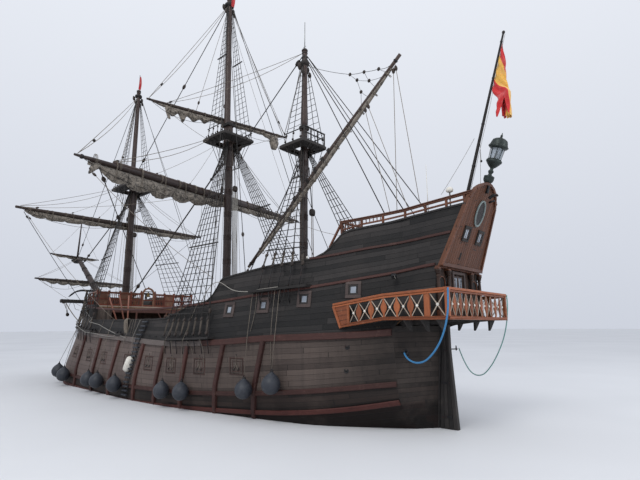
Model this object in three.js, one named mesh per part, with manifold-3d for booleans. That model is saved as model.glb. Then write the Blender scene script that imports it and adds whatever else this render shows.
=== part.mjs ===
// A three-masted galleon-type tall ship, as a 1:2 scale model.
// Every size below is the real ship's, in metres: x forward, y to port, z up from the waterline, x = 0 amidships.
// The last step turns metres of the real ship into millimetres of the model.
import * as THREE from "three";
import { mergeVertices } from "three/addons/utils/BufferGeometryUtils.js";
import Module from "manifold-3d";

const wasm = await Module();
wasm.setup();

const SCALE = 1000 / 2; // model millimetres per real metre
const GAP = 0.0008; // between pieces that rest on each other: 0.4 mm on the model
const PORT = 1, STARBOARD = -1;

// ---------------------------------------------------------------- small tools
const lerp = (a, b, t) => a + (b - a) * t;
const rad = THREE.MathUtils.degToRad;

// Straight-line reading of a table of [x, value] rows with x rising.
function line(rows, x) {
  if (x <= rows[0][0]) return rows[0][1];
  for (let i = 1; i < rows.length; i++) {
    if (x <= rows[i][0]) return lerp(rows[i - 1][1], rows[i][1], (x - rows[i - 1][0]) / (rows[i][0] - rows[i - 1][0]));
  }
  return rows[rows.length - 1][1];
}

// Smooth reading of the same kind of table (cubic through the rows, slopes from the neighbours).
function curve(rows, x) {
  const n = rows.length;
  if (x <= rows[0][0]) return rows[0][1];
  if (x >= rows[n - 1][0]) return rows[n - 1][1];
  let i = 1;
  while (x > rows[i][0]) i++;
  const slope = (k) => {
    if (k === 0) return (rows[1][1] - rows[0][1]) / (rows[1][0] - rows[0][0]);
    if (k === n - 1) return (rows[k][1] - rows[k - 1][1]) / (rows[k][0] - rows[k - 1][0]);
    return (rows[k + 1][1] - rows[k - 1][1]) / (rows[k + 1][0] - rows[k - 1][0]);
  };
  const h = rows[i][0] - rows[i - 1][0], t = (x - rows[i - 1][0]) / h;
  const a = rows[i - 1][1], b = rows[i][1], m0 = slope(i - 1) * h, m1 = slope(i) * h;
  return a * (2 * t ** 3 - 3 * t * t + 1) + m0 * (t ** 3 - 2 * t * t + t) + b * (3 * t * t - 2 * t ** 3) + m1 * (t ** 3 - t * t);
}

// A closed solid from rings of points, each ring with the same number of points.
// cap(ring) gives the triangles that close the first and the last ring.
function fanCap(n) {
  const t = [];
  for (let i = 1; i < n - 1; i++) t.push([0, i, i + 1]);
  return t;
}
// Across-the-ship cap for a ring that lists port points, then starboard points in reverse order.
function stripCap(n) {
  const t = [];
  for (let a = 0, b = n - 1; a + 1 < b; a++, b--) {
    t.push([a, a + 1, b]);
    if (a + 1 < b - 1) t.push([a + 1, b - 1, b]);
  }
  return t;
}
function loft(rings, cap = fanCap) {
  const n = rings[0].length, pos = [], idx = [];
  for (const r of rings) for (const p of r) pos.push(...p);
  for (let k = 0; k + 1 < rings.length; k++) {
    for (let i = 0; i < n; i++) {
      const j = (i + 1) % n, a = k * n + i, b = k * n + j, c = a + n, d = b + n;
      idx.push(a, b, d, a, d, c);
    }
  }
  const last = (rings.length - 1) * n;
  for (const [a, b, c] of cap(n)) idx.push(a, c, b, last + a, last + b, last + c);
  const g = new THREE.BufferGeometry();
  g.setAttribute("position", new THREE.Float32BufferAttribute(pos, 3));
  g.setIndex(idx);
  return outward(g);
}
function clean(g) {
  const c = g.clone();
  for (const name of Object.keys(c.attributes)) if (name !== "position") c.deleteAttribute(name);
  return mergeVertices(c, 1e-5);
}
function outward(g) {
  const c = clean(g), p = c.attributes.position, ix = c.index.array;
  const a = new THREE.Vector3(), b = new THREE.Vector3(), d = new THREE.Vector3();
  let vol = 0;
  for (let i = 0; i < ix.length; i += 3) {
    a.fromBufferAttribute(p, ix[i]); b.fromBufferAttribute(p, ix[i + 1]); d.fromBufferAttribute(p, ix[i + 2]);
    vol += a.dot(b.cross(d));
  }
  if (vol < 0) for (let i = 0; i < ix.length; i += 3) { const t = ix[i]; ix[i] = ix[i + 1]; ix[i + 1] = t; }
  return c;
}
function toManifold(g) {
  const c = outward(g);
  return new wasm.Manifold(new wasm.Mesh({
    numProp: 3,
    vertProperties: new Float32Array(c.attributes.position.array),
    triVerts: new Uint32Array(c.index.array),
  }));
}
function fromManifold(m) {
  const mesh = m.getMesh(), g = new THREE.BufferGeometry();
  g.setAttribute("position", new THREE.BufferAttribute(new Float32Array(mesh.vertProperties), 3));
  g.setIndex(new THREE.BufferAttribute(new Uint32Array(mesh.triVerts), 1));
  return g;
}
const join = (...parts) => fromManifold(parts.flat().map(toManifold).reduce((a, b) => a.add(b)));
const cut = (body, ...cutters) => fromManifold(cutters.flat().map(toManifold).reduce((a, b) => a.subtract(b), toManifold(body)));

const box = (x0, x1, y0, y1, z0, z1) =>
  new THREE.BoxGeometry(x1 - x0, y1 - y0, z1 - z0).translate((x0 + x1) / 2, (y0 + y1) / 2, (z0 + z1) / 2);
const V = (p) => new THREE.Vector3(...p);
// A squared timber from a to b: w across, h along the "up" side.
function beam(a, b, w, h, up = [0, 0, 1]) {
  const A = V(a), B = V(b), d = B.clone().sub(A), len = d.length();
  d.normalize();
  let side = new THREE.Vector3().crossVectors(V(up), d);
  if (side.length() < 1e-6) side = new THREE.Vector3(0, 1, 0);
  side.normalize();
  const top = new THREE.Vector3().crossVectors(d, side);
  return new THREE.BoxGeometry(len, w, h)
    .applyMatrix4(new THREE.Matrix4().makeBasis(d, side, top).setPosition(A.add(B).multiplyScalar(0.5)));
}
// A turned spar from a to b; rows of the table: [share of the length, radius].
function spar(a, b, rows, sides = 10) {
  const A = V(a), B = V(b), d = B.clone().sub(A), len = d.length();
  const profile = [new THREE.Vector2(0, rows[0][0] * len), ...rows.map(([s, r]) => new THREE.Vector2(r, s * len)),
    new THREE.Vector2(0, rows[rows.length - 1][0] * len)];
  const g = new THREE.LatheGeometry(profile, sides);
  const q = new THREE.Quaternion().setFromUnitVectors(new THREE.Vector3(0, 1, 0), d.normalize());
  return outward(g.applyQuaternion(q).translate(...a));
}
const rod = (a, b, r0, r1 = r0, sides = 8) => spar(a, b, [[0, r0], [1, r1]], sides);
// An upright turned piece; rows: [radius, z].
function turned(rows, at, sides = 12) {
  const g = new THREE.LatheGeometry(rows.map(([r, z]) => new THREE.Vector2(r, z)), sides);
  return outward(g.rotateX(Math.PI / 2).translate(...at));
}
// A plate from an outline in the x-z plane, y0 to y1.
function plateXZ(outline, y0, y1) {
  const s = new THREE.Shape(outline.map(([x, z]) => new THREE.Vector2(x, z)));
  const g = new THREE.ExtrudeGeometry(s, { depth: y1 - y0, bevelEnabled: false });
  return outward(g.applyMatrix4(new THREE.Matrix4().set(1, 0, 0, 0, 0, 0, 1, y0, 0, 1, 0, 0, 0, 0, 0, 1)));
}
// A plate from an outline in the y-z plane, x0 to x1.
function plateYZ(outline, x0, x1) {
  const s = new THREE.Shape(outline.map(([y, z]) => new THREE.Vector2(y, z)));
  const g = new THREE.ExtrudeGeometry(s, { depth: x1 - x0, bevelEnabled: false });
  return outward(g.applyMatrix4(new THREE.Matrix4().set(0, 0, 1, x0, 1, 0, 0, 0, 0, 1, 0, 0, 0, 0, 0, 1)));
}

// ---------------------------------------------------------------- materials
const TAR = { color: 0x2b2724, roughness: 0.8, metalness: 0 };
const OLD_OAK = { color: 0x4a4039, roughness: 0.85, metalness: 0 };
const MAST = { color: 0x3a2c26, roughness: 0.7, metalness: 0 };
const VARNISH = { color: 0xa4552a, roughness: 0.45, metalness: 0 };
const PANEL = { color: 0x5f3a24, roughness: 0.6, metalness: 0 };
const DECK = { color: 0x8d7a63, roughness: 0.85, metalness: 0 };
const CANVAS = { color: 0xa79d8b, roughness: 0.9, metalness: 0 };
const IRON = { color: 0x1d1d1f, roughness: 0.6, metalness: 0.7 };
const BRONZE = { color: 0x7a5b2c, roughness: 0.4, metalness: 0.9 };
const GREEN_METAL = { color: 0x26332e, roughness: 0.5, metalness: 0.6 };
const ROPE = { color: 0x5b5146, roughness: 0.9, metalness: 0 };
const BLUE_ROPE = { color: 0x1f4f7a, roughness: 0.9, metalness: 0 };
const GREEN_ROPE = { color: 0x4d8f86, roughness: 0.9, metalness: 0 };
const ENSIGN = { color: 0xc23a2a, roughness: 0.9, metalness: 0 };

const group = new THREE.Group();
function piece(name, geometry, look) {
  const g = outward(geometry);
  g.scale(SCALE, SCALE, SCALE);
  g.computeVertexNormals();
  const mesh = new THREE.Mesh(g, new THREE.MeshStandardMaterial(look));
  mesh.name = name;
  group.add(mesh);
  return mesh;
}

// ---------------------------------------------------------------- hull form
// Main wale's height: [x, z].
const WALE_Z = [[-20.8, 4.14], [-18.7, 4.09], [-17.4, 3.98], [-15, 3.87], [-12.7, 3.78], [-9.8, 3.57], [-5, 3.42], [0, 3.62], [6, 3.84], [11, 4.15], [14, 4.4], [17.4, 4.7]];
const STATIONS = [-18.7, -17, -15, -13, -10, -5, 0, 5, 8, 10.2, 12, 14, 15.5];
// Half breadths at those stations: [level z, stem x, sternpost x, ...half breadths].
const LEVELS = [
  [-3.0, 14.8, -19.05, 0.18, 0.2, 0.25, 0.4, 0.8, 1.5, 1.8, 1.6, 1.1, 0.7, 0.4, 0.22, 0.19],
  [-2.4, 15.9, -19.1, 0.2, 0.35, 0.7, 1.2, 2.0, 3.0, 3.4, 3.2, 2.7, 2.1, 1.4, 0.6, 0.25],
  [-1.4, 16.3, -19.2, 0.3, 0.75, 1.6, 2.4, 3.3, 4.3, 4.65, 4.5, 4.1, 3.6, 2.8, 1.6, 0.7],
  [0, 16.7, -19.3, 0.88, 2.05, 3.2, 3.75, 4.3, 5.05, 5.3, 5.12, 5.05, 4.97, 4.32, 3.0, 1.6],
  [0.75, 16.85, -19.35, 1.75, 2.6, 3.5, 4.0, 4.55, 5.17, 5.37, 5.2, 5.1, 5.0, 4.36, 3.05, 1.65],
  [1.5, 17.0, -19.4, 2.25, 3.0, 3.8, 4.25, 4.75, 5.25, 5.4, 5.25, 5.12, 5.0, 4.4, 3.1, 1.7],
];
const AT_WALE = [17.4, -19.6, 2.56, 3.2, 3.9, 4.4, 4.85, 5.15, 5.2, 5.05, 4.7, 4.2, 3.65, 2.7, 1.55]; // stem x, post x, half breadths
const POST_HALF = 0.17; // half thickness of keel, stem and sternpost
const KEEL_BOTTOM = -3.35;
const TUMBLEHOME = 0.2; // inward per metre of height above the main wale
const DECK_ABOVE_WALE = 0.25;

const waleZ = (x) => curve(WALE_Z, x);
const levelTable = (L) => STATIONS.map((x, i) => [x, L[3 + i]]);
const waleTable = STATIONS.map((x, i) => [x, AT_WALE[2 + i]]);
// Half breadth of the lower hull at (x, z).
function hullY(x, z) {
  const rows = LEVELS.map((L) => [L[0], curve(levelTable(L), x)]);
  rows.push([waleZ(x), curve(waleTable, x)]);
  return z <= waleZ(x) ? line(rows, z) : line(rows, waleZ(x)) - TUMBLEHOME * (z - waleZ(x));
}
// Half breadth of the topsides' outer face, above the main wale: [x, half breadth at the wale].
const TOPSIDE_Y = [[-22.2, 2.44], [-20.8, 2.47], [-18.7, 2.56], [-17, 3.2], [-15, 3.9], [-13, 4.4], [-10, 4.85], [-5, 5.15], [0, 5.2], [5, 5.05], [8, 4.7], [10.2, 4.2], [12, 3.65], [14, 2.75], [15.3, 2.0]];
const topY = (x, z) => curve(TOPSIDE_Y, x) - TUMBLEHOME * (z - waleZ(x));
const WALL = 0.25;

// One ring of the hull at a level: port side from aft to bow, stem, starboard back, sternpost.
const HULL_X = [];
for (let x = -18.7; x < -4; x += 1.4) HULL_X.push(x);
for (let x = -3.3; x < 8; x += 1.9) HULL_X.push(x);
for (let x = 8.1; x < 15.6; x += 1.05) HULL_X.push(x);
HULL_X.push(15.5);
// The waist deck is the hull's top: straight from station to station.
const DECK_LINE = HULL_X.map((x) => [x, waleZ(x) + DECK_ABOVE_WALE]);
const deckZ = (x) => line(DECK_LINE, x);
const hullRing = (halfAt, stemX, postX, zAt) => {
  // Low down the stem lies aft of the last stations, so the stations forward of x = 10 close up behind it.
  const squeeze = Math.min(1, (stemX - 0.4 - 10) / 5.5), place = (x) => (x > 10 ? 10 + (x - 10) * squeeze : x);
  const nose = [lerp(place(15.5), stemX, 0.62), halfAt(15.5) * 0.62];
  const port = [[postX, Math.min(POST_HALF, halfAt(-18.7))], ...HULL_X.map((x) => [place(x), Math.max(halfAt(x), POST_HALF)]), [nose[0], Math.max(nose[1], POST_HALF)], [stemX, POST_HALF]];
  const rows = port.map(([x, y]) => [x, y, zAt(x)]);
  return [...rows, ...rows.slice().reverse().map(([x, y, z]) => [x, -y, z])];
};
function hullBody() {
  const rings = [];
  const keel = LEVELS[0];
  rings.push(hullRing(() => POST_HALF, 14.2, -19.0, () => KEEL_BOTTOM));
  rings.push(hullRing(() => POST_HALF + 0.005, 14.6, -19.03, () => keel[0] - 0.03));
  for (let i = 0; i < LEVELS.length; i++) {
    const L = LEVELS[i], table = levelTable(L);
    rings.push(hullRing((x) => curve(table, x), L[1], L[2], () => L[0]));
    if (i + 1 < LEVELS.length && i > 0 && i < 3) { // one ring half way, rounded
      const N = LEVELS[i + 1], tn = levelTable(N);
      rings.push(hullRing((x) => lerp(curve(table, x), curve(tn, x), 0.56), lerp(L[1], N[1], 0.5), lerp(L[2], N[2], 0.5), () => lerp(L[0], N[0], 0.5)));
    }
  }
  const above = (t) => (x) => lerp(LEVELS[5][0], waleZ(x), t);
  rings.push(hullRing((x) => hullY(x, above(0.5)(x)), 17.2, -19.5, above(0.5)));
  rings.push(hullRing((x) => curve(waleTable, x), AT_WALE[0], AT_WALE[1], waleZ));
  rings.push(hullRing((x) => curve(waleTable, x) - TUMBLEHOME * DECK_ABOVE_WALE, 17.45, AT_WALE[1] + 0.05, deckZ));
  return loft(rings, stripCap);
}
// A strake that stands proud of the hull: heights as [x, z], from x0 to x1.
function strake(side, heights, x0, x1, high, proud, steps) {
  const rings = [];
  for (let i = 0; i <= steps; i++) {
    const x = lerp(x0, x1, i / steps), z = curve(heights, x);
    rings.push([[x, side * (hullY(x, z) - 0.15), z - high / 2], [x, side * (hullY(x, z - high / 2) + proud), z - high / 2],
      [x, side * (hullY(x, z + high / 2) + proud), z + high / 2], [x, side * (hullY(x, z) - 0.15), z + high / 2]]);
  }
  return loft(rings);
}
const WALE_2 = [[-18.7, 1.97], [-14.6, 1.47], [-10.9, 1.13], [-7, 0.9], [-1.8, 0.8], [4.5, 0.68], [10, 0.85], [15.6, 1.3]];
const WALE_1 = [[-18.7, 1.22], [-16.6, 0.82], [-14.3, 0.52], [-11.6, 0.3], [-6.4, 0.06], [0, -0.1], [6, -0.05], [15.6, 0.35]];
// Riders (ribs outside the planking): [x at the main wale, x at the foot, z of the foot].
const RIDERS = [[-12.7, -11.6, 0.2], [-10.1, -8.9, -0.2], [-7.2, -6.3, -0.3], [-4.9, -3.9, -0.3], [-2.6, -1.6, -0.3], [0.7, 1.9, -0.3], [3.8, 4.9, -0.2], [7.2, 8.1, 0]];
const RIDER_WIDE = 0.26, RIDER_PROUD = 0.13;
function rider(side, [xt, xf, zf]) {
  const rings = [];
  for (let i = 0; i <= 3; i++) {
    const t = i / 3, x = lerp(xf, xt, t), z = lerp(zf, waleZ(xt) + 0.05, t), y = hullY(x, z);
    rings.push([[x - RIDER_WIDE / 2, side * (y - 0.2), z], [x + RIDER_WIDE / 2, side * (y - 0.2), z],
      [x + RIDER_WIDE / 2, side * (y + RIDER_PROUD), z], [x - RIDER_WIDE / 2, side * (y + RIDER_PROUD), z]]);
  }
  return loft(rings);
}
// Gunports: [x, z] of the middle of each opening.
const PORTS = [[9.0, 2.5], [5.7, 2.38], [2.9, 2.3], [-0.7, 2.26], [-3.35, 2.24], [-5.7, 2.22], [-8.2, 2.3], [-10.95, 2.43]];
const PORT_WIDE = 0.8, PORT_HIGH = 0.72, LID_PLAY = 0.022, LID_THICK = 0.1;
function portFrame(side, [x, z]) {
  const y = hullY(x, z), dx = (hullY(x + 0.3, z) - hullY(x - 0.3, z)) / 0.6, dz = (hullY(x, z + 0.3) - hullY(x, z - 0.3)) / 0.6;
  const fore = new THREE.Vector3(1, side * dx, 0).normalize();
  const out = new THREE.Vector3(-dx, side, -side * side * dz).normalize();
  out.addScaledVector(fore, -out.dot(fore)).normalize();
  const up = new THREE.Vector3().crossVectors(out, fore);
  if (up.z < 0) up.negate();
  return { at: new THREE.Vector3(x, side * y, z), fore, out, up };
}
function portBox(side, port, wide, high, inner, outer) {
  const f = portFrame(side, port), e = [[-1, -1], [1, -1], [1, 1], [-1, 1]];
  const ring = (d) => e.map(([a, b]) => f.at.clone().addScaledVector(f.fore, a * wide / 2).addScaledVector(f.up, b * high / 2).addScaledVector(f.out, d).toArray());
  return loft([ring(inner), ring(outer)]);
}
// Channels on the hull: [x aft, x fore, width outboard].
const CHANNELS = [[-9.3, -5.0, 0.42], [5.2, 10.9, 0.42]];
function channel(side, [x0, x1, wide], thick = 0.12, zAt = (x) => waleZ(x) + 0.16, yAt = topY) {
  const rings = [];
  for (let i = 0; i <= 5; i++) {
    const x = lerp(x0, x1, i / 5), z = zAt(x), y = yAt(x, z);
    rings.push([[x, side * (y - 0.18), z - thick / 2], [x, side * (y + wide), z - thick / 2], [x, side * (y + wide), z + thick / 2], [x, side * (y - 0.18), z + thick / 2]]);
  }
  return loft(rings);
}
const HATCH = { x0: 0.2, x1: 3.2, half: 1.1, high: 0.35 };
function hull() {
  const extra = [];
  for (const side of [PORT, STARBOARD]) {
    extra.push(strake(side, WALE_Z, -18.6, 15.4, 0.3, 0.1, 18), strake(side, WALE_2, -18.6, 15.4, 0.22, 0.09, 16), strake(side, WALE_1, -18.6, 15.4, 0.22, 0.09, 16));
    for (const r of RIDERS) extra.push(rider(side, r));
    for (const c of CHANNELS) extra.push(channel(side, c));
  }
  extra.push(box(HATCH.x0, HATCH.x1, -HATCH.half, HATCH.half, 3.4, waleZ(1.6) + DECK_ABOVE_WALE + HATCH.high));
  const cutters = [];
  for (const side of [PORT, STARBOARD]) for (const p of PORTS) cutters.push(portBox(side, p, PORT_WIDE, PORT_HIGH, -LID_THICK - 0.04, 0.5));
  return cut(join(hullBody(), ...extra), ...cutters);
}
piece("hull", hull(), TAR);

// Lids, numbered from the bow; hinged along the top edge, flush with the planking.
for (const [side, word] of [[PORT, "port"], [STARBOARD, "starboard"]]) {
  PORTS.forEach((p, i) => piece(`gunport_lid_${word}_${i + 1}`, portBox(side, p, PORT_WIDE - 2 * LID_PLAY, PORT_HIGH - 2 * LID_PLAY, -LID_THICK, 0.0), OLD_OAK));
}

// ---------------------------------------------------------------- decks and topsides
// Top of the side walls: [x, z].
const RAIL_Z = [[-22.3, 9.42], [-21.98, 9.35], [-19.3, 9.17], [-17.93, 8.98], [-16.5, 8.8], [-16.1, 8.66], [-15.84, 8.33], [-15.57, 7.98], [-15.3, 7.75], [-14.8, 7.52], [-14, 7.44], [-12.25, 7.33], [-10.7, 7.13], [-9.5, 6.98], [-9.0, 6.9], [-8.85, 6.75], [-8.7, 6.42], [-8.45, 6.05], [-8.0, 5.7], [-6.7, 5.56], [-5.6, 5.2], [-4.4, 4.84], [-2.6, 4.78], [0.2, 4.81], [3.4, 4.83], [6.9, 4.87], [7.25, 4.9], [7.35, 6.05], [9.5, 6.1], [12.6, 6.2], [13.2, 6.6], [13.8, 7.1], [15.3, 7.25]];
const PANEL_LEAN = 0.4; // the upper transom leans aft, per metre of height
const panelFore = (z) => -20.62 - PANEL_LEAN * (z - 6.77);
const GALLERY_TOP = 4.7, STERN_WALL_X = -20.55, TUCK_X = -18.7;
function topside(side) {
  const rings = [], xs = [];
  for (const [x] of RAIL_Z) if (x > TUCK_X + 0.1 && x <= 15.3) xs.push(x);
  for (const x of HULL_X) if (x > TUCK_X + 0.1 && x < 15.2 && !xs.some((o) => Math.abs(o - x) < 0.04)) xs.push(x);
  xs.push(TUCK_X);
  xs.sort((a, b) => a - b);
  const section = (xb, xt, zb, zt, yb = null) => [[xb, side * topY(xb, zb), zb], [xt, side * topY(xt, zt), zt], [xt, side * (topY(xt, zt) - WALL), zt], [xb, side * (topY(xb, zb) - WALL), zb]];
  const fore = xs.map((x) => section(x, x, deckZ(x) + GAP, line(RAIL_Z, x)));
  // Aft of the tuck the wall stands on the gallery's floor, and its after edge leans with the panel.
  const lowZ = GALLERY_TOP + GAP, endLow = STERN_WALL_X, mid = 6.72;
  const aftXs = [[endLow, panelFore(9.7) + 0.003], [-19.9, -20.8], [-19.2, -19.7], [TUCK_X - 0.01, TUCK_X - 0.01]];
  const aft = aftXs.map(([xb, xt]) => section(xb, xt, lowZ, line(RAIL_Z, xt)));
  const wall = loft([...fore]);
  const quarter = loft(aft);
  // The leaning edge above the stern wall: trim what passes the panel's fore face, and what passes the stern wall below it.
  const trimPanel = plateXZ([[panelFore(6.77) + 0.001, 6.77], [panelFore(11) + 0.001, 11], [-26, 11], [-26, 6.77]], -6, 6);
  const trimLow = box(-26, STERN_WALL_X + 0.0, -6, 6, 4.5, 6.7705);
  const bridge = loft([aft[3], fore[0]].map((r) => r)); // closes the small step at the tuck
  return cut(join(wall, quarter, bridge), trimPanel, trimLow);
}
const mizzenChannel = (side) => channel(side, [-14.9, -11.6, 0.4], 0.11, (x) => line([[-15, 6.16], [-11.6, 5.98]], x), topY);
const MAIN_LOW = 4.2;
const wallPort = topside(PORT), wallStarboard = topside(STARBOARD);
piece("topside_port", join(wallPort, mizzenChannel(PORT)), TAR);
piece("topside_starboard", join(wallStarboard, mizzenChannel(STARBOARD)), TAR);
// Pieces between the walls are made too wide and cut back, with the gap; d moves the walls inward.
const wallCutters = (d) => [wallPort.clone().translate(0, -d, 0), wallStarboard.clone().translate(0, d, 0)];
const between = (...parts) => cut(join(...parts), ...wallCutters(GAP));

// A deck between the walls: heights [x, z] of its top, from x0 to x1.
function deck(heights, x0, x1, thick, steps, slack = -0.1) {
  const rings = [];
  for (let i = 0; i <= steps; i++) {
    const x = lerp(x0, x1, i / steps), z = line(heights, x);
    const y1 = topY(x, z) - WALL - slack, y0 = topY(x, z - thick) - WALL - slack;
    rings.push([[x, -y0, z - thick], [x, y0, z - thick], [x, y1, z], [x, -y1, z]]);
  }
  return loft(rings);
}
// A bulkhead across the ship, as wide as the space between the walls, with a doorway.
function bulkhead(x0, x1, zLow, zHigh, door = null) {
  const xm = (x0 + x1) / 2;
  const narrow = (z) => Math.max(topY(x0, z), topY(x1, z)) - WALL + 0.08;
  const rows = [[-narrow(zLow), zLow], [narrow(zLow), zLow], [narrow(zHigh), zHigh], [-narrow(zHigh), zHigh]];
  const wall = plateYZ(rows, x0, x1);
  return door ? cut(wall, box(xm - 1, xm + 1, door.y - door.wide / 2, door.y + door.wide / 2, door.z0, door.z0 + door.high)) : wall;
}
const MAST_HOLE = 0.42;
const FORECASTLE = [[7.35, 5.98], [15.0, 6.14]];
const BOWSPRIT_LOW = [14.3, 0, 5.3], BOWSPRIT_HIGH = [24.05, 0, 11.9];
const FORE_X = 11.8, MAIN_X = -3.5, MIZZEN_X = -11.0;
const forecastleParts = [
  deck(FORECASTLE, 7.4, 15.19, 0.14, 8),
  bulkhead(15.05, 15.19, deckZ(15.12) + 0.02, 7.2),
  box(7.45, 7.65, -3.7, 3.7, 5.72, 5.95),
];
for (const y of [-3.4, -1.6, 1.6, 3.4]) forecastleParts.push(box(7.46, 7.64, y - 0.1, y + 0.1, deckZ(7.64) + 0.005, 5.9));
piece("forecastle", cut(between(...forecastleParts), spar([BOWSPRIT_LOW[0] - 1.2, 0, BOWSPRIT_LOW[2] - 0.81], BOWSPRIT_HIGH, [[0, 0.45], [1, 0.45]], 12), rod([FORE_X, 0, 4], [FORE_X, 0, 8], MAST_HOLE, MAST_HOLE, 12)), DECK);

const QUARTERDECK = [[-20.45, 6.66], [-15, 6.35], [-8.75, 6.05]];
const qRail = [];
for (const y of [-3.9, -2.6, -1.3, 0, 1.3, 2.6, 3.9]) qRail.push(box(-8.86, -8.76, y - 0.05, y + 0.05, 5.98, 6.95));
qRail.push(box(-8.88, -8.74, -3.98, 3.98, 6.9, 6.99), box(-8.85, -8.77, -3.98, 3.98, 6.5, 6.57));
piece("quarterdeck", cut(between(deck(QUARTERDECK, -20.4, -8.72, 0.14, 12), bulkhead(-8.87, -8.74, deckZ(-8.8) + 0.01, 6.0, { y: 1.6, wide: 0.9, z0: deckZ(-8.8) - 0.2, high: 2.0 }), ...qRail), rod([MIZZEN_X, 0, 5], [MIZZEN_X, 0, 8], 0.34, 0.34, 12)), DECK);

const POOP = [[-21.6, 8.9], [-15.95, 8.3]];
piece("poop", between(deck(POOP, -21.38, -15.85, 0.13, 6), bulkhead(-15.98, -15.86, 6.43, 8.25, { y: 0, wide: 0.85, z0: 6.2, high: 1.85 })), DECK);

// ---------------------------------------------------------------- stern
const PANEL_THICK = 0.16, PANEL_LOW = 6.775;
function transom() {
  const half = (z) => lerp(1.98, 1.36, (z - 6.77) / 3.0);
  const outline = [[-half(6.78), PANEL_LOW], [half(6.78), PANEL_LOW], [half(9.55), 9.55], [1.22, 9.75], [1.02, 10.05], [0.66, 10.28], [0.25, 10.4], [-0.25, 10.4], [-0.66, 10.28], [-1.02, 10.05], [-1.22, 9.75], [-half(9.55), 9.55]];
  const panel = plateYZ(outline, -PANEL_THICK, 0);
  const p = panel.attributes.position;
  for (let i = 0; i < p.count; i++) p.setX(i, p.getX(i) + panelFore(p.getZ(i)));
  const w = (z) => topY(STERN_WALL_X, z) - WALL + 0.08;
  const wall = cut(plateYZ([[-w(4.71), GALLERY_TOP + GAP], [w(4.71), GALLERY_TOP + GAP], [w(6.8), 6.8], [-w(6.8), 6.8]], STERN_WALL_X, STERN_WALL_X + 0.12),
    box(-21.5, -20, -DOOR_OPEN / 2, DOOR_OPEN / 2, 4.6, GALLERY_TOP + 0.04 + DOOR_HIGH));
  const shelf = box(panelFore(6.77) - PANEL_THICK + 0.02, STERN_WALL_X + 0.1, -1.6, 1.6, 6.775, 6.86);
  return cut(join(panel, wall, shelf), ...wallCutters(GAP));
}
const DOOR_OPEN = 0.94, DOOR_HIGH = 1.78, DOOR_PLAY = 0.012, DOOR_THICK = 0.06;
piece("transom", transom(), PANEL);
// Two glazed leaves, hinged on the sides of the doorway, flush with the wall's after face.
for (const [side, word] of [[PORT, "port"], [STARBOARD, "starboard"]]) {
  const y0 = side * DOOR_PLAY / 2, y1 = side * (DOOR_OPEN / 2 - DOOR_PLAY);
  const zl = GALLERY_TOP + 0.03, zh = GALLERY_TOP + 0.03 + DOOR_HIGH - DOOR_PLAY;
  const leaf = box(STERN_WALL_X, STERN_WALL_X + DOOR_THICK, Math.min(y0, y1), Math.max(y0, y1), zl, zh);
  piece(`gallery_door_${word}`, leaf, PANEL);
}

// Gallery: floor and balustrade round the stern.
const GALLERY = { aft: -21.48, half: 2.93, fore: -16.4, floorThick: 0.26, railHigh: 1.03 };
const galleryFloorZ = (x) => line([[-21.5, GALLERY_TOP], [-18.7, GALLERY_TOP], [-16.3, 4.36]], x);
const galleryY = (x) => line([[-21.48, 2.93], [-16.4, 3.45]], x);
function gallery() {
  const parts = [box(GALLERY.aft, TUCK_X - 0.03, -2.35, 2.35, GALLERY_TOP - GALLERY.floorThick, GALLERY_TOP)];
  for (const side of [PORT, STARBOARD]) {
    // walkway outside the wall, tapering to nothing forward
    const rings = [], xs = [GALLERY.aft, -20.3, TUCK_X, -18.0, -17.2, GALLERY.fore];
    for (const x of xs) {
      const z = galleryFloorZ(x), yo = galleryY(x), inner = x < TUCK_X - 0.01 ? 2.2 : Math.min(topY(x, z - GALLERY.floorThick) + 0.012, yo - 0.03);
      rings.push([[x, side * inner, z - GALLERY.floorThick], [x, side * yo, z - GALLERY.floorThick], [x, side * yo, z], [x, side * inner, z]]);
    }
    parts.push(loft(rings));
    // rails
    const A = (x, dz) => [x, side * (galleryY(x) - 0.06), galleryFloorZ(x) + dz];
    const corner = GALLERY.aft + 0.06, fore = GALLERY.fore - 0.05;
    parts.push(beam([corner, side * 2.87, GALLERY_TOP + 1.02], [TUCK_X, side * (galleryY(TUCK_X) - 0.06), GALLERY_TOP + 0.9], 0.13, 0.1));
    parts.push(beam([TUCK_X - 0.05, side * (galleryY(TUCK_X) - 0.06), GALLERY_TOP + 0.905], [fore, side * (galleryY(fore) - 0.06), 5.25], 0.13, 0.1));
    for (const x of [corner, -20.75, -20.03, -19.3, -18.58, -17.85, -17.1, fore - 0.02]) {
      const top = x < TUCK_X ? lerp(GALLERY_TOP + 1.02, GALLERY_TOP + 0.9, (x - corner) / (TUCK_X - corner)) : lerp(GALLERY_TOP + 0.9, 5.25, (x - TUCK_X) / (fore - TUCK_X));
      parts.push(beam([x, side * (galleryY(x) - 0.06), galleryFloorZ(x) - 0.1], [x, side * (galleryY(x) - 0.06), top], 0.12, 0.12, [1, 0, 0]));
    }
  }
  parts.push(beam([GALLERY.aft + 0.06, -2.87, GALLERY_TOP + 1.02], [GALLERY.aft + 0.06, 2.87, GALLERY_TOP + 1.02], 0.13, 0.1));
  const bays = 11;
  for (let i = 1; i < bays; i++) {
    const y = lerp(-2.87, 2.87, i / bays);
    parts.push(box(GALLERY.aft + 0.02, GALLERY.aft + 0.1, y - 0.05, y + 0.05, GALLERY_TOP - 0.05, GALLERY_TOP + 1.0));
  }
  return cut(join(...parts), ...wallCutters(-GAP));
}
piece("stern_gallery", gallery(), VARNISH);

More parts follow.
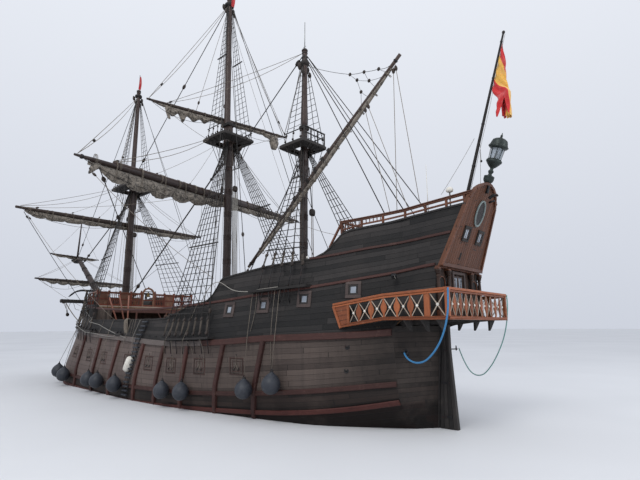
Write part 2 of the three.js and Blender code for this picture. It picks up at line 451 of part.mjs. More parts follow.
// Rudder: [z, fore x, aft x]; it hangs on the raked sternpost.
const RUDDER = [[-3.3, -19.06, -20.3], [0, -19.36, -20.2], [1.6, -19.46, -20.1], [3.3, -19.63, -20.0], [4.36, -19.68, -20.0]];
const RUDDER_HALF = 0.13;
{
  const rings = RUDDER.map(([z, xf, xa]) => [[xf, 0, z], [xf - 0.12, RUDDER_HALF, z], [xa, RUDDER_HALF * 0.8, z], [xa, -RUDDER_HALF * 0.8, z], [xf - 0.12, -RUDDER_HALF, z]]);
  piece("rudder", loft(rings), OLD_OAK);
}

// ---------------------------------------------------------------- rails, belfry, bell
const BELFRY = { x: 7.52, half: 0.55, thick: 0.12, spring: 7.1 };
function forecastleRail() {
  const parts = [], top = 7.12, foot = 6.09;
  for (const y of [-4.2, -3.3, -2.4, -1.5, 1.5, 2.4, 3.3, 4.2]) parts.push(box(7.47, 7.57, y - 0.06, y + 0.06, foot, top));
  parts.push(box(7.45, 7.59, -4.27, -0.5, top - 0.05, top + 0.05), box(7.45, 7.59, 0.5, 4.27, top - 0.05, top + 0.05), box(7.48, 7.56, -4.25, 4.25, 6.55, 6.63));
  // arch over the bell
  const arch = new THREE.Shape();
  arch.absarc(0, BELFRY.spring, BELFRY.half, 0, Math.PI, false);
  arch.lineTo(-BELFRY.half, foot);
  arch.lineTo(-BELFRY.half + 0.13, foot);
  arch.lineTo(-BELFRY.half + 0.13, BELFRY.spring);
  arch.absarc(0, BELFRY.spring, BELFRY.half - 0.13, Math.PI, 0, true);
  arch.lineTo(BELFRY.half - 0.13, foot);
  arch.lineTo(BELFRY.half, foot);
  const g = new THREE.ExtrudeGeometry(arch, { depth: 0.14, bevelEnabled: false, curveSegments: 8 });
  parts.push(outward(g.applyMatrix4(new THREE.Matrix4().set(0, 0, 1, 7.45, 1, 0, 0, 0, 0, 1, 0, 0, 0, 0, 0, 1))));
  // side rails along the wall tops
  for (const side of [PORT, STARBOARD]) {
    const at = (x, z) => [x, side * (topY(x, 6.15) - WALL / 2), z];
    const rows = [7.52, 8.9, 10.3, 11.6, 12.7], runs = [[7.52, 10.3], [10.3, 12.7]];
    parts.push(beam([7.52, side * 4.2, top], at(7.6, top), 0.1, 0.1));
    for (const [a, b] of runs) parts.push(beam(at(a - 0.03, top), at(b + 0.03, top), 0.14, 0.1), beam(at(a - 0.03, 6.6), at(b + 0.03, 6.6), 0.1, 0.07));
    for (const x of rows) parts.push(beam(at(x, line(RAIL_Z, x) + 0.012 + (x > 12.6 ? 0.05 : 0)), at(x, top), 0.1, 0.1, [1, 0, 0]));
  }
  return join(...parts);
}
piece("forecastle_rail", forecastleRail(), VARNISH);
const BELL_AXIS_Z = 7.32;
piece("bell", join(turned([[0, 0.26], [0.06, 0.255], [0.085, 0.22], [0.105, 0.12], [0.14, 0.05], [0.175, 0], [0.2, 0], [0.17, 0.06], [0.13, 0.14], [0.11, 0.26], [0.07, 0.32], [0, 0.33]], [7.52, 0, 6.88], 12), box(7.49, 7.55, -0.05, 0.05, 7.18, 7.3), rod([7.52, -0.325, BELL_AXIS_Z], [7.52, 0.325, BELL_AXIS_Z], 0.035, 0.035, 8)), BRONZE);

// Poop rail: [x, z of the top rail].
const POOP_RAIL = [[-22.2, 9.86], [-21.9, 9.82], [-19.7, 9.66], [-17.9, 9.46], [-16.0, 9.24]];
function poopRail() {
  const parts = [], xs = [-21.5, -20.85, -19.85, -18.85, -17.85, -16.9, -16.0];
  const mid = (x, z, side) => [x, side * (topY(x, line(RAIL_Z, x)) - WALL / 2), z];
  for (const side of [PORT, STARBOARD]) {
    for (const x of xs) parts.push(beam(mid(x, line(RAIL_Z, x) + (x > -16.05 ? 0.13 : 0.035), side), mid(x, line(POOP_RAIL, x), side), 0.09, 0.09, [1, 0, 0]));
    const low = (x) => line(RAIL_Z, x) + 0.24;
    for (const [a, b] of [[-21.55, -18.85], [-18.9, -15.97]]) {
      parts.push(beam(mid(a, line(POOP_RAIL, a), side), mid(b, line(POOP_RAIL, b), side), 0.16, 0.09));
      parts.push(beam(mid(a, low(a), side), mid(b, low(b), side), 0.08, 0.07));
    }
    // slanting stanchion at the fore end
    parts.push(beam([-15.52, side * (topY(-15.5, 8.0) - WALL / 2), 8.07], mid(-16.0, line(POOP_RAIL, -16), side), 0.1, 0.1, [1, 0, 0]));
  }
  const y = topY(-16, 9) - WALL / 2;
  parts.push(box(-16.07, -15.95, -y, y, 9.19, 9.28), box(-16.05, -15.97, -y, y, 8.8, 8.86));
  for (const f of [-0.66, -0.33, 0, 0.33, 0.66]) parts.push(box(-16.055, -15.965, f * y - 0.045, f * y + 0.045, 8.33, 9.2));
  return join(...parts);
}
piece("poop_rail", poopRail(), VARNISH);

// ---------------------------------------------------------------- beakhead with the cathead beam
function beakhead() {
  const knee = plateXZ([[16.9, 0.9], [17.06, 1.5], [17.28, 3.1], [17.46, 4.7], [17.49, 4.97], [17.2, 5.02], [17.2, 5.3], [20.9, 5.75], [21.5, 6.15], [21.75, 6.05], [21.6, 5.6], [20.6, 5.05], [19.2, 4.2], [18.2, 2.9], [17.5, 1.4]], -0.14, 0.14);
  const parts = [knee];
  const floor = (x) => line([[15.35, 5.05], [20.8, 5.7]], x);
  const half = (x) => line([[15.35, 1.6], [17.5, 1.05], [20.8, 0.22]], x);
  const rings = [15.35, 16.4, 17.5, 19, 20.8].map((x) => [[x, -half(x), floor(x) - 0.12], [x, half(x), floor(x) - 0.12], [x, half(x), floor(x)], [x, -half(x), floor(x)]]);
  parts.push(loft(rings));
  for (const side of [PORT, STARBOARD]) {
    const at = (x, z) => [x, side * (half(x) - 0.03), z];
    parts.push(beam(at(15.35, 6.02), at(17.6, 6.05), 0.1, 0.1), beam(at(17.5, 6.05), at(20.75, 6.35), 0.1, 0.1));
    for (const x of [15.42, 16.6, 17.6, 18.7, 19.8, 20.6]) parts.push(beam(at(x, floor(x) - 0.02), at(x, line([[15.35, 6.02], [17.6, 6.05], [20.75, 6.35]], x)), 0.09, 0.09, [1, 0, 0]));
    // the beam rests on posts that stand on the platform
    parts.push(box(15.44, 15.72, side * 1.35 - 0.12, side * 1.35 + 0.12, floor(15.6) - 0.05, 6.6));
  }
  parts.push(box(15.42, 15.74, -4.2, 4.2, 6.56, 6.88));
  return cut(join(...parts), spar([BOWSPRIT_LOW[0] - 1.2, 0, BOWSPRIT_LOW[2] - 0.81], BOWSPRIT_HIGH, [[0, 0.4], [1, 0.4]], 12), box(13, 15.3, -4, 4, 3, 8));
}
piece("beakhead", beakhead(), TAR);

// ---------------------------------------------------------------- masts, tops, bowsprit
const mastX = (x0, rakeDeg, z) => x0 - Math.tan(rad(rakeDeg)) * (z - 8);
// [name, x at z = 8, rake aft in degrees, foot z, top of the pole z, radius at the foot, at the top platform, platform z, radii of the upper spar]
const MASTS = [
  ["fore_mast", FORE_X, -0.38, deckZ(FORE_X) + 0.04, 27.8, 0.33, 0.25, 17.34, [0.225, 0.2, 0.17]],
  ["main_mast", MAIN_X, -1.26, deckZ(MAIN_X) + 0.04, 30.6, 0.29, 0.26, 17.95, [0.25, 0.22, 0.19]],
  ["mizzen_mast", MIZZEN_X, 0.26, deckZ(MIZZEN_X) + 0.04, 23.9, 0.25, 0.2, 15.27, [0.19, 0.175, 0.16]],
];
for (const [name, x0, rake, foot, head, r0, r1, top, [u0, u1, u2]] of MASTS) {
  const at = (z, dx = 0) => [mastX(x0, rake, z) + dx, 0, z];
  const lower = spar(at(foot), at(top + 1.4), [[0, r0], [0.5, r0 * 0.97], [0.93, r1], [1, r1 * 0.92]], 12);
  // the fore and main topmasts stand ahead of the lower mastheads; the mizzen is in line, with a thin pole on top
  const inLine = name === "mizzen_mast";
  const ahead = inLine ? 0 : r1 + 0.06;
  const upper = spar(at(inLine ? top + 1.2 : top - 0.8, ahead), at(inLine ? 21.9 : head, ahead), [[0, u0], [0.6, u1], [0.985, u2], [0.99, u2 * 1.2], [1, u2]], 12);
  const caps = beam([at(top + 1.2)[0] - r1, 0, top + 1.2], [at(top + 1.2)[0] + ahead + u0 * 1.15, 0, top + 1.2], 2 * r1 + 0.12, 0.2);
  const parts = [lower, upper, caps];
  if (inLine) parts.push(rod(at(21.8), at(head), 0.035, 0.02, 8));
  piece(name, join(...parts), MAST);
}
// Tops, square with the corners just taken off: [name, mast row, half length, half width, platform z, depth under the middle]
const TOPS = [["fore_top", 0, 1.48, 1.48, 17.34, 0.32], ["main_top", 1, 1.4, 1.4, 17.95, 0.32], ["mizzen_top", 2, 1.09, 1.09, 15.27, 0.28]];
for (const [name, row, hx, hy, z, deep] of TOPS) {
  const [, x0, rake, , , , r1, , [u0]] = MASTS[row];
  const rm = r1 * 1.9 + 0.1;
  const cx = mastX(x0, rake, z) + 0.12;
  const square = (f, h) => [[1, 0.9], [0.9, 1], [-0.9, 1], [-1, 0.9], [-1, -0.9], [-0.9, -1], [0.9, -1], [1, -0.9]].map(([a, b]) => [cx + hx * f * a, hy * f * b, z + h]);
  const parts = [loft([square(0.55, -deep), square(0.97, -0.17), square(1, -0.13), square(1, 0)])];
  parts.push(box(cx - hx * 0.8, cx + hx * 0.78, -rm - 0.16, -rm, z - 0.26, z - 0.06), box(cx - hx * 0.8, cx + hx * 0.78, rm, rm + 0.16, z - 0.26, z - 0.06));
  if (row === 2) {
    for (const y of [-0.9, -0.3, 0.3, 0.9]) parts.push(box(cx - 1.02, cx - 0.94, y - 0.035, y + 0.035, z - 0.05, z + 0.85));
    parts.push(box(cx - 1.02, cx - 0.94, -0.95, 0.95, z + 0.8, z + 0.87), box(cx - 1.01, cx - 0.95, -0.92, 0.92, z + 0.42, z + 0.48));
  }
  const hole = join(rod([cx - 0.12, 0, z - 3], [cx - 0.12, 0, z + 1.2], r1 * 1.28, r1 * 1.28, 12), rod([cx - 0.06 + r1, 0, z - 3], [cx - 0.06 + r1, 0, z + 1.2], Math.max(r1 * 0.95, u0 + 0.05), Math.max(r1 * 0.95, u0 + 0.05), 12));
  piece(name, cut(join(...parts), hole), TAR);
}
piece("bowsprit", spar(BOWSPRIT_LOW, BOWSPRIT_HIGH, [[0, 0.34], [0.5, 0.31], [1, 0.2]], 12), MAST);
{
  const base = [24.42, 0, 11.62], head = [24.1, 0, 15.9];
  const platform = turned([[0, -0.35], [0.25, -0.35], [0.58, -0.07], [0.58, 0], [0, 0]], [24.42, 0, 11.75], 12);
  const mast = rod([base[0], 0, base[2]], head, 0.11, 0.05, 8);
  piece("sprit_topmast", cut(join(platform, mast), spar(BOWSPRIT_LOW, [24.25, 0, 12.035], [[0, 0.36], [0.5, 0.33], [1, 0.22]], 12)), MAST);
}

// ---------------------------------------------------------------- yards and furled sails
// [name, sail, mast row or x of the pivot, z, half length, brace degrees (port arm forward +), tilt degrees (port arm up +), distance ahead of the pivot, radius middle, radius end, sail's radius]
const YARDS = [
  ["fore_yard", "fore_sail", 0, 13.9, 9.93, -13.62, -2.84, 0.56, 0.2, 0.1, 0.24],
  ["main_yard", "main_sail", 1, 13.54, 11.57, -15.85, -3.28, 0.62, 0.24, 0.11, 0.27],
  ["main_topsail_yard", "main_topsail", 1, 19.87, 5.9, 7.44, -2.08, 0.85, 0.14, 0.07, 0.24],
  ["spritsail_yard", "spritsail", [20.75, 9.05], 9.05, 6.2, -23.96, -1.64, 0, 0.13, 0.07, 0.16],
  ["sprit_topsail_yard", "sprit_topsail", [24.4, 12.15], 12.15, 2.97, -16.25, -0.12, 0.3, 0.08, 0.05, 0.1],
];
for (const [name, sail, row, z, L, brace, tilt, ahead, rm, re, rs] of YARDS) {
  const px = Array.isArray(row) ? row[0] : mastX(MASTS[row][1], MASTS[row][2], z);
  const b = rad(brace), t = rad(tilt);
  const mid = [px + ahead * Math.cos(b), -ahead * Math.sin(b), z];
  const arm = (s, drop = 0, fwd = 0) => [mid[0] + s * Math.sin(b) * Math.cos(t) + fwd * Math.cos(b), mid[1] + s * Math.cos(b) * Math.cos(t) - fwd * Math.sin(b), mid[2] + s * Math.sin(t) - drop];
  piece(name, spar(arm(-L), arm(L), [[0, re], [0.25, rm * 0.86], [0.5, rm], [0.75, rm * 0.86], [1, re]], 8), MAST);
  const drop = rm + rs + 0.02, fwd = 0.08;
  piece(sail, spar(arm(-L * 0.9, drop, fwd), arm(L * 0.9, drop, fwd), [[0, rs * 0.45], [0.12, rs * 0.8], [0.5, rs], [0.88, rs * 0.8], [1, rs * 0.45]], 8), CANVAS);
}
// Lateen yard: two overlapping spars to port of the mizzen mast, with the sail furled under it.
const LATEEN = { low: [-6.5, 0.47, 8.14], peak: [-18.4, 0.47, 18.1] };
{
  const at = (s, up = 0, out = 0) => [lerp(LATEEN.low[0], LATEEN.peak[0], s) + up * 0.64, LATEEN.low[1] + out, lerp(LATEEN.low[2], LATEEN.peak[2], s) + up * 0.77];
  piece("mizzen_yard", join(spar(at(0), at(0.6), [[0, 0.09], [0.5, 0.16], [1, 0.12]], 8), spar(at(0.34, 0.13), at(1, 0.02), [[0, 0.1], [0.3, 0.13], [1, 0.07]], 8)), MAST);
  piece("mizzen_sail", spar(at(0.1, -0.42, 0.05), at(0.94, -0.32, 0.05), [[0, 0.07], [0.15, 0.15], [0.5, 0.18], [0.85, 0.14], [1, 0.06]], 8), CANVAS);
}

// ---------------------------------------------------------------- main stays
const STAYS = [["mainstay", [-2.55, 0, 16.35], [11.1, 0, 6.75], 0.055], ["forestay", [12.7, 0, 16.1], [22.6, 0, 11.25], 0.05]];
for (const [name, a, b, r] of STAYS) piece(name, rod(a, b, r, r, 6), ROPE);

// ---------------------------------------------------------------- anchors
// each anchor is stowed with its shank upright outside the wall and its crown above the rail, so that one arm reaches outboard
const ANCHOR_ARM = [[0, 0, 0], [0.02, 0.55, 0.0], [0.05, 1.08, -0.2], [0.1, 1.5, -0.6]];
function anchor(side) {
  const crown = [13.4, side * 2.76, 7.58], ring = [13.5, side * 3.16, 4.72];
  const parts = [rod(crown, ring, 0.1, 0.075, 8)];
  for (const s of [1, -1]) {
    for (let i = 0; i < 3; i++) {
      const at = ([x, y, z]) => [crown[0] + x, crown[1] + side * s * y, crown[2] + z];
      parts.push(rod(at(ANCHOR_ARM[i]), at(ANCHOR_ARM[i + 1]), 0.095 - 0.018 * i, 0.077 - 0.018 * i, 8));
    }
  }
  // wooden stock, square to the arms, along the wall
  parts.push(beam([12.75, side * 3.46, 5.0], [14.15, side * 2.87, 5.0], 0.16, 0.18));
  return join(...parts);
}
piece("anchor_port", anchor(PORT), IRON);
piece("anchor_starboard", anchor(STARBOARD), IRON);

// ---------------------------------------------------------------- stern lantern, staff, ensign
{
  const lean = 0.24, foot = [-22.19, 0, 10.52];
  const body = turned([[0, 0], [0.1, 0], [0.1, 0.12], [0.2, 0.24], [0.37, 1.05], [0.4, 1.1], [0.3, 1.32], [0.14, 1.5], [0.06, 1.6], [0.08, 1.7], [0, 1.78]], [0, 0, 0], 8);
  body.applyMatrix4(new THREE.Matrix4().makeRotationY(-lean)).translate(foot[0] - 0.15, 0, foot[2] + 0.14);
  const arm = beam([foot[0] + 0.02, 0, foot[2] + 0.0], [foot[0] - 0.17, 0, foot[2] + 0.22], 0.14, 0.14);
  piece("stern_lantern", join(body, arm), GREEN_METAL);
}
const STAFF = { foot: [-20.856, 0, 8.866], top: [-23.42, 0, 17.2] };
piece("ensign_staff", spar(STAFF.foot, STAFF.top, [[0, 0.09], [0.5, 0.075], [0.98, 0.045], [0.985, 0.08], [1, 0.05]], 8), MAST);
piece("ensign", loft([[-23.22, 16.62, 0.05, 0.12], [-23.3, 16.0, 0.12, 0.42], [-23.32, 15.0, 0.13, 0.6], [-23.32, 14.2, 0.13, 0.62], [-23.28, 13.45, 0.11, 0.4], [-23.22, 13.15, 0.06, 0.16]]
  .map(([x, z, t, w]) => [[x + 0.0, -t, z], [x + 0.0, t, z], [x - w, t, z], [x - w, -t, z]]).map((r) => r.map(([x, y, z]) => [x - 0.12, y, z]))), ENSIGN);

// ---------------------------------------------------------------- slack warps at the stern
// [name, radius, look, points along the rope]
const WARP_PORT = [[-19.2, 2.5, 3.25], [-19.35, 2.66, 3.15], [-19.6, 2.78, 3.0], [-19.95, 2.86, 2.92], [-20.35, 2.92, 3.0], [-20.75, 2.98, 3.3], [-21.1, 3.02, 3.75], [-21.35, 3.04, 4.3], [-21.5, 3.05, 4.9], [-21.53, 3.02, 5.5], [-21.52, 2.98, 5.76]];
const WARP_STARBOARD = [[-19.2, -2.5, 3.25], [-19.25, -2.62, 2.95], [-19.4, -2.72, 2.5], [-19.6, -2.8, 2.15], [-19.85, -2.86, 2.0], [-20.15, -2.92, 2.05], [-20.5, -2.97, 2.4], [-20.85, -3.0, 2.95], [-21.2, -3.02, 3.7], [-21.42, -3.03, 4.5], [-21.52, -3.02, 5.3], [-21.53, -2.98, 5.76]];
for (const [name, r, look, points] of [["slack_warp_port", 0.036, BLUE_ROPE, WARP_PORT], ["slack_warp_starboard", 0.026, GREEN_ROPE, WARP_STARBOARD]]) {
  const path = new THREE.CatmullRomCurve3(points.map(V), false, "centripetal");
  const section = new THREE.Shape();
  section.absarc(0, 0, r, 0, 2 * Math.PI, false);
  const g = new THREE.ExtrudeGeometry(section, { steps: 28, extrudePath: path, bevelEnabled: false, curveSegments: 4 });
  piece(name, g, look);
}

export default group;
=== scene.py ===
import math
import random

import bmesh
import bpy
from mathutils import Matrix, Vector, noise


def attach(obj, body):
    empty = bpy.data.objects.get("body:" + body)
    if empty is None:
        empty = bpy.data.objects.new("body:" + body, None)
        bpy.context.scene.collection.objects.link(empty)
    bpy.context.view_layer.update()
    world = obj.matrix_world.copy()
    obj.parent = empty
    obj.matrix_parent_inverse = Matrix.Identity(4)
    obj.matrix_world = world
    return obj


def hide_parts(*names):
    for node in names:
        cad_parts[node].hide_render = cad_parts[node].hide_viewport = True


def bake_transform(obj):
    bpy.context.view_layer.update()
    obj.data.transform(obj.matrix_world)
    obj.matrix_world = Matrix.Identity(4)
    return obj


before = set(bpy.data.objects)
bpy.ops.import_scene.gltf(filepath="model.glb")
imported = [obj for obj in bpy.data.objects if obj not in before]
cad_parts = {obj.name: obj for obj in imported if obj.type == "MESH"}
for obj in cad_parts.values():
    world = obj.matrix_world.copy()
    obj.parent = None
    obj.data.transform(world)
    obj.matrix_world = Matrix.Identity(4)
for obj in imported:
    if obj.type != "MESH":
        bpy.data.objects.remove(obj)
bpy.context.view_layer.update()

# Sizes below are the real ship's, in metres: x forward, y to port, z up from the waterline.
# The model is half size, so every vertex is halved when a mesh is made.
S = 0.5
PORT, STARBOARD = 1, -1
RNG = random.Random(1601)


# =====================================================================================
# Small geometry tools
# =====================================================================================
def lerp(a, b, t):
    return a + (b - a) * t


def clamp(v, a, b):
    return max(a, min(b, v))


def smooth(t):
    t = clamp(t, 0.0, 1.0)
    return t * t * (3 - 2 * t)


def line(rows, x):
    if x <= rows[0][0]:
        return rows[0][1]
    for i in range(1, len(rows)):
        if x <= rows[i][0]:
            return lerp(rows[i - 1][1], rows[i][1], (x - rows[i - 1][0]) / (rows[i][0] - rows[i - 1][0]))
    return rows[-1][1]


def curve(rows, x):
    n = len(rows)
    if x <= rows[0][0]:
        return rows[0][1]
    if x >= rows[-1][0]:
        return rows[-1][1]
    i = 1
    while x > rows[i][0]:
        i += 1

    def slope(k):
        if k == 0:
            return (rows[1][1] - rows[0][1]) / (rows[1][0] - rows[0][0])
        if k == n - 1:
            return (rows[k][1] - rows[k - 1][1]) / (rows[k][0] - rows[k - 1][0])
        return (rows[k + 1][1] - rows[k - 1][1]) / (rows[k + 1][0] - rows[k - 1][0])

    h = rows[i][0] - rows[i - 1][0]
    t = (x - rows[i - 1][0]) / h
    a, b, m0, m1 = rows[i - 1][1], rows[i][1], slope(i - 1) * h, slope(i) * h
    return a * (2 * t**3 - 3 * t * t + 1) + m0 * (t**3 - 2 * t * t + t) + b * (3 * t * t - 2 * t**3) + m1 * (t**3 - t * t)


ELEMENT = 16.0  # each element of a piece takes its own band of v, so that a material can tell them apart


class Kit:
    """Collects faces with their uv and material, then becomes one mesh object. u runs along a timber or rope, v around it."""

    def __init__(self, name):
        self.name = name
        self.v, self.f, self.uv, self.mi, self.sm = [], [], [], [], []
        self.mats = []
        self.count = 0

    def mat(self, m):
        if m not in self.mats:
            self.mats.append(m)
        return self.mats.index(m)

    def grid(self, rings, mat, U=None, V=None, closed=True, caps=True, smooth_=True, offset=None):
        """rings: lists of points, all the same length. closed joins the last point of a ring to its first."""
        n, k = len(rings[0]), len(rings)
        mi = self.mat(mat)
        base = len(self.v)
        if offset is None:
            self.count += 1
            offset = self.count * ELEMENT
        if U is None:
            U, d = [0.0], 0.0
            for a, b in zip(rings, rings[1:]):
                d += math.dist(a[0], b[0])
                U.append(d)
        if V is None:
            V, d = [0.0], 0.0
            r = rings[k // 2]
            for i in range(1, n + 1):
                d += math.dist(r[i - 1], r[i % n])
                V.append(d)
        V = [clamp(v, 0, ELEMENT - 0.5) + offset if offset else v for v in V]
        for r in rings:
            self.v.extend(tuple(p) for p in r)
        m = n if closed else n - 1
        for a in range(k - 1):
            for i in range(m):
                j = (i + 1) % n
                self.f.append((base + a * n + i, base + a * n + j, base + (a + 1) * n + j, base + (a + 1) * n + i))
                self.uv.append(((U[a], V[i]), (U[a], V[i + 1]), (U[a + 1], V[i + 1]), (U[a + 1], V[i])))
                self.mi.append(mi)
                self.sm.append(smooth_)
        if caps and closed:
            for row, flip, uu in ((0, True, U[0]), (k - 1, False, U[-1])):
                ids = [base + row * n + i for i in range(n)]
                uvs = [(uu, V[i]) for i in range(n)]
                if flip:
                    ids, uvs = ids[::-1], uvs[::-1]
                self.f.append(tuple(ids))
                self.uv.append(tuple(uvs))
                self.mi.append(mi)
                self.sm.append(False)

    def tube(self, pts, r, mat, sides=6, caps=True, smooth_=True):
        """A round rope or spar along points; r is one radius or one for each point."""
        P = [Vector(p) for p in pts]
        n = len(P)
        R = [r] * n if isinstance(r, (int, float)) else list(r)
        T = []
        for i in range(n):
            d = P[min(i + 1, n - 1)] - P[max(i - 1, 0)]
            T.append(d.normalized() if d.length > 1e-9 else Vector((0, 0, 1)))
        ref = Vector((0, 0, 1)) if abs(T[0].z) < 0.9 else Vector((1, 0, 0))
        a = T[0].cross(ref).normalized()
        rings = []
        for i in range(n):
            if i:
                a = (a - T[i] * a.dot(T[i])).normalized()
            b = T[i].cross(a)
            rings.append([tuple(P[i] + (a * math.cos(2 * math.pi * k / sides) + b * math.sin(2 * math.pi * k / sides)) * R[i]) for k in range(sides)])
        self.grid(rings, mat, caps=caps, smooth_=smooth_)

    def lathe(self, rows, at, mat, axis=(0, 0, 1), sides=12, smooth_=True):
        """rows: [radius, height along the axis]."""
        ax = Vector(axis).normalized()
        ref = Vector((1, 0, 0)) if abs(ax.x) < 0.9 else Vector((0, 1, 0))
        a = ax.cross(ref).normalized()
        b = ax.cross(a)
        O = Vector(at)
        rings = [[tuple(O + ax * h + (a * math.cos(2 * math.pi * k / sides) + b * math.sin(2 * math.pi * k / sides)) * max(r, 1e-4)) for k in range(sides)] for r, h in rows]
        self.grid(rings, mat, smooth_=smooth_)

    def prism(self, ring, vec, mat, smooth_=False):
        """A flat outline pushed along vec."""
        w = Vector(vec)
        self.grid([ring, [tuple(Vector(p) + w) for p in ring]], mat, smooth_=smooth_)

    def beam(self, a, b, w, h, mat, up=(0, 0, 1), chamfer=0.12, taper=1.0):
        """A squared timber with its edges taken off: w across, h along the up side."""
        A, B = Vector(a), Vector(b)
        d = (B - A).normalized()
        side = Vector(up).cross(d)
        if side.length < 1e-6:
            side = Vector((0, 1, 0))
        side.normalize()
        top = d.cross(side)
        c = min(w, h) * chamfer
        base = [(-w / 2 + c, -h / 2), (w / 2 - c, -h / 2), (w / 2, -h / 2 + c), (w / 2, h / 2 - c), (w / 2 - c, h / 2), (-w / 2 + c, h / 2), (-w / 2, h / 2 - c), (-w / 2, -h / 2 + c)]
        rings = []
        L = (B - A).length
        cc = min(c, L * 0.2)
        for s, k in ((0, 1 - 2 * c / max(w, h)), (cc, 1), (L - cc, taper), (L, taper * (1 - 2 * c / max(w, h)))):
            rings.append([tuple(A + d * s + side * (x * k) + top * (y * k)) for x, y in base])
        self.grid(rings, mat, smooth_=False)

    def strip(self, pts, section, mat, up=None, closed=True, smooth_=False):
        """A moulding: section [(across, up)] carried along points; across is square to the path and to up."""
        P = [Vector(p) for p in pts]
        n = len(P)
        rings = []
        for i in range(n):
            t = (P[min(i + 1, n - 1)] - P[max(i - 1, 0)]).normalized()
            u = Vector(up[i] if up and not isinstance(up[0], (int, float)) else (up or (0, 0, 1)))
            s = u.cross(t).normalized()
            u2 = t.cross(s)
            rings.append([tuple(P[i] + s * x + u2 * y) for x, y in section])
        self.grid(rings, mat, closed=closed, smooth_=smooth_)

    def ball(self, at, r, mat, sides=12, rings=8, stretch=(1, 1, 1)):
        rows = []
        for k in range(rings + 1):
            t = math.pi * k / rings
            rows.append((math.sin(t), -math.cos(t)))
        O = Vector(at)
        R = [[(O.x + math.cos(2 * math.pi * i / sides) * q * r * stretch[0], O.y + math.sin(2 * math.pi * i / sides) * q * r * stretch[1], O.z + h * r * stretch[2]) for i in range(sides)] for q, h in [(max(q, 1e-3), h) for q, h in rows]]
        self.grid(R, mat)

    def make(self, body="root", slot=None, replaces=(), blend=None):
        me = bpy.data.meshes.new(self.name)
        me.from_pydata([(x * S, y * S, z * S) for x, y, z in self.v], [], self.f)
        for m in self.mats:
            me.materials.append(m)
        lay = me.uv_layers.new(name="UVMap")
        flat = [c for face in self.uv for uv in face for c in uv]
        lay.data.foreach_set("uv", flat)
        me.polygons.foreach_set("material_index", self.mi)
        me.polygons.foreach_set("use_smooth", self.sm)
        bm = bmesh.new()
        bm.from_mesh(me)
        bmesh.ops.recalc_face_normals(bm, faces=bm.faces)
        bm.to_mesh(me)
        bm.free()
        me.update()
        ob = bpy.data.objects.new(self.name, me)
        bpy.context.scene.collection.objects.link(ob)
        if replaces:
            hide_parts(*replaces)
        if blend:
            a, b, s, e = blend
            tuple(c * S for c in s)
            tuple(c * S for c in e)
            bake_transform(ob)
        else:
            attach(ob, body)
        return ob


def spline(points, per=6):
    """Points of a smooth curve through the given ones (Catmull-Rom)."""
    P = [Vector(p) for p in points]
    out = []
    for i in range(len(P) - 1):
        p0, p1, p2, p3 = P[max(i - 1, 0)], P[i], P[i + 1], P[min(i + 2, len(P) - 1)]
        for k in range(per):
            t = k / per
            out.append(0.5 * ((2 * p1) + (p2 - p0) * t + (2 * p0 - 5 * p1 + 4 * p2 - p3) * t * t + (3 * p1 - p0 - 3 * p2 + p3) * t**3))
    out.append(P[-1])
    return [tuple(p) for p in out]


def sag(a, b, drop, n=8):
    """A rope between two points that hangs by drop at its middle."""
    A, B = Vector(a), Vector(b)
    return [tuple(A.lerp(B, i / n) - Vector((0, 0, drop * 4 * (i / n) * (1 - i / n)))) for i in range(n + 1)]


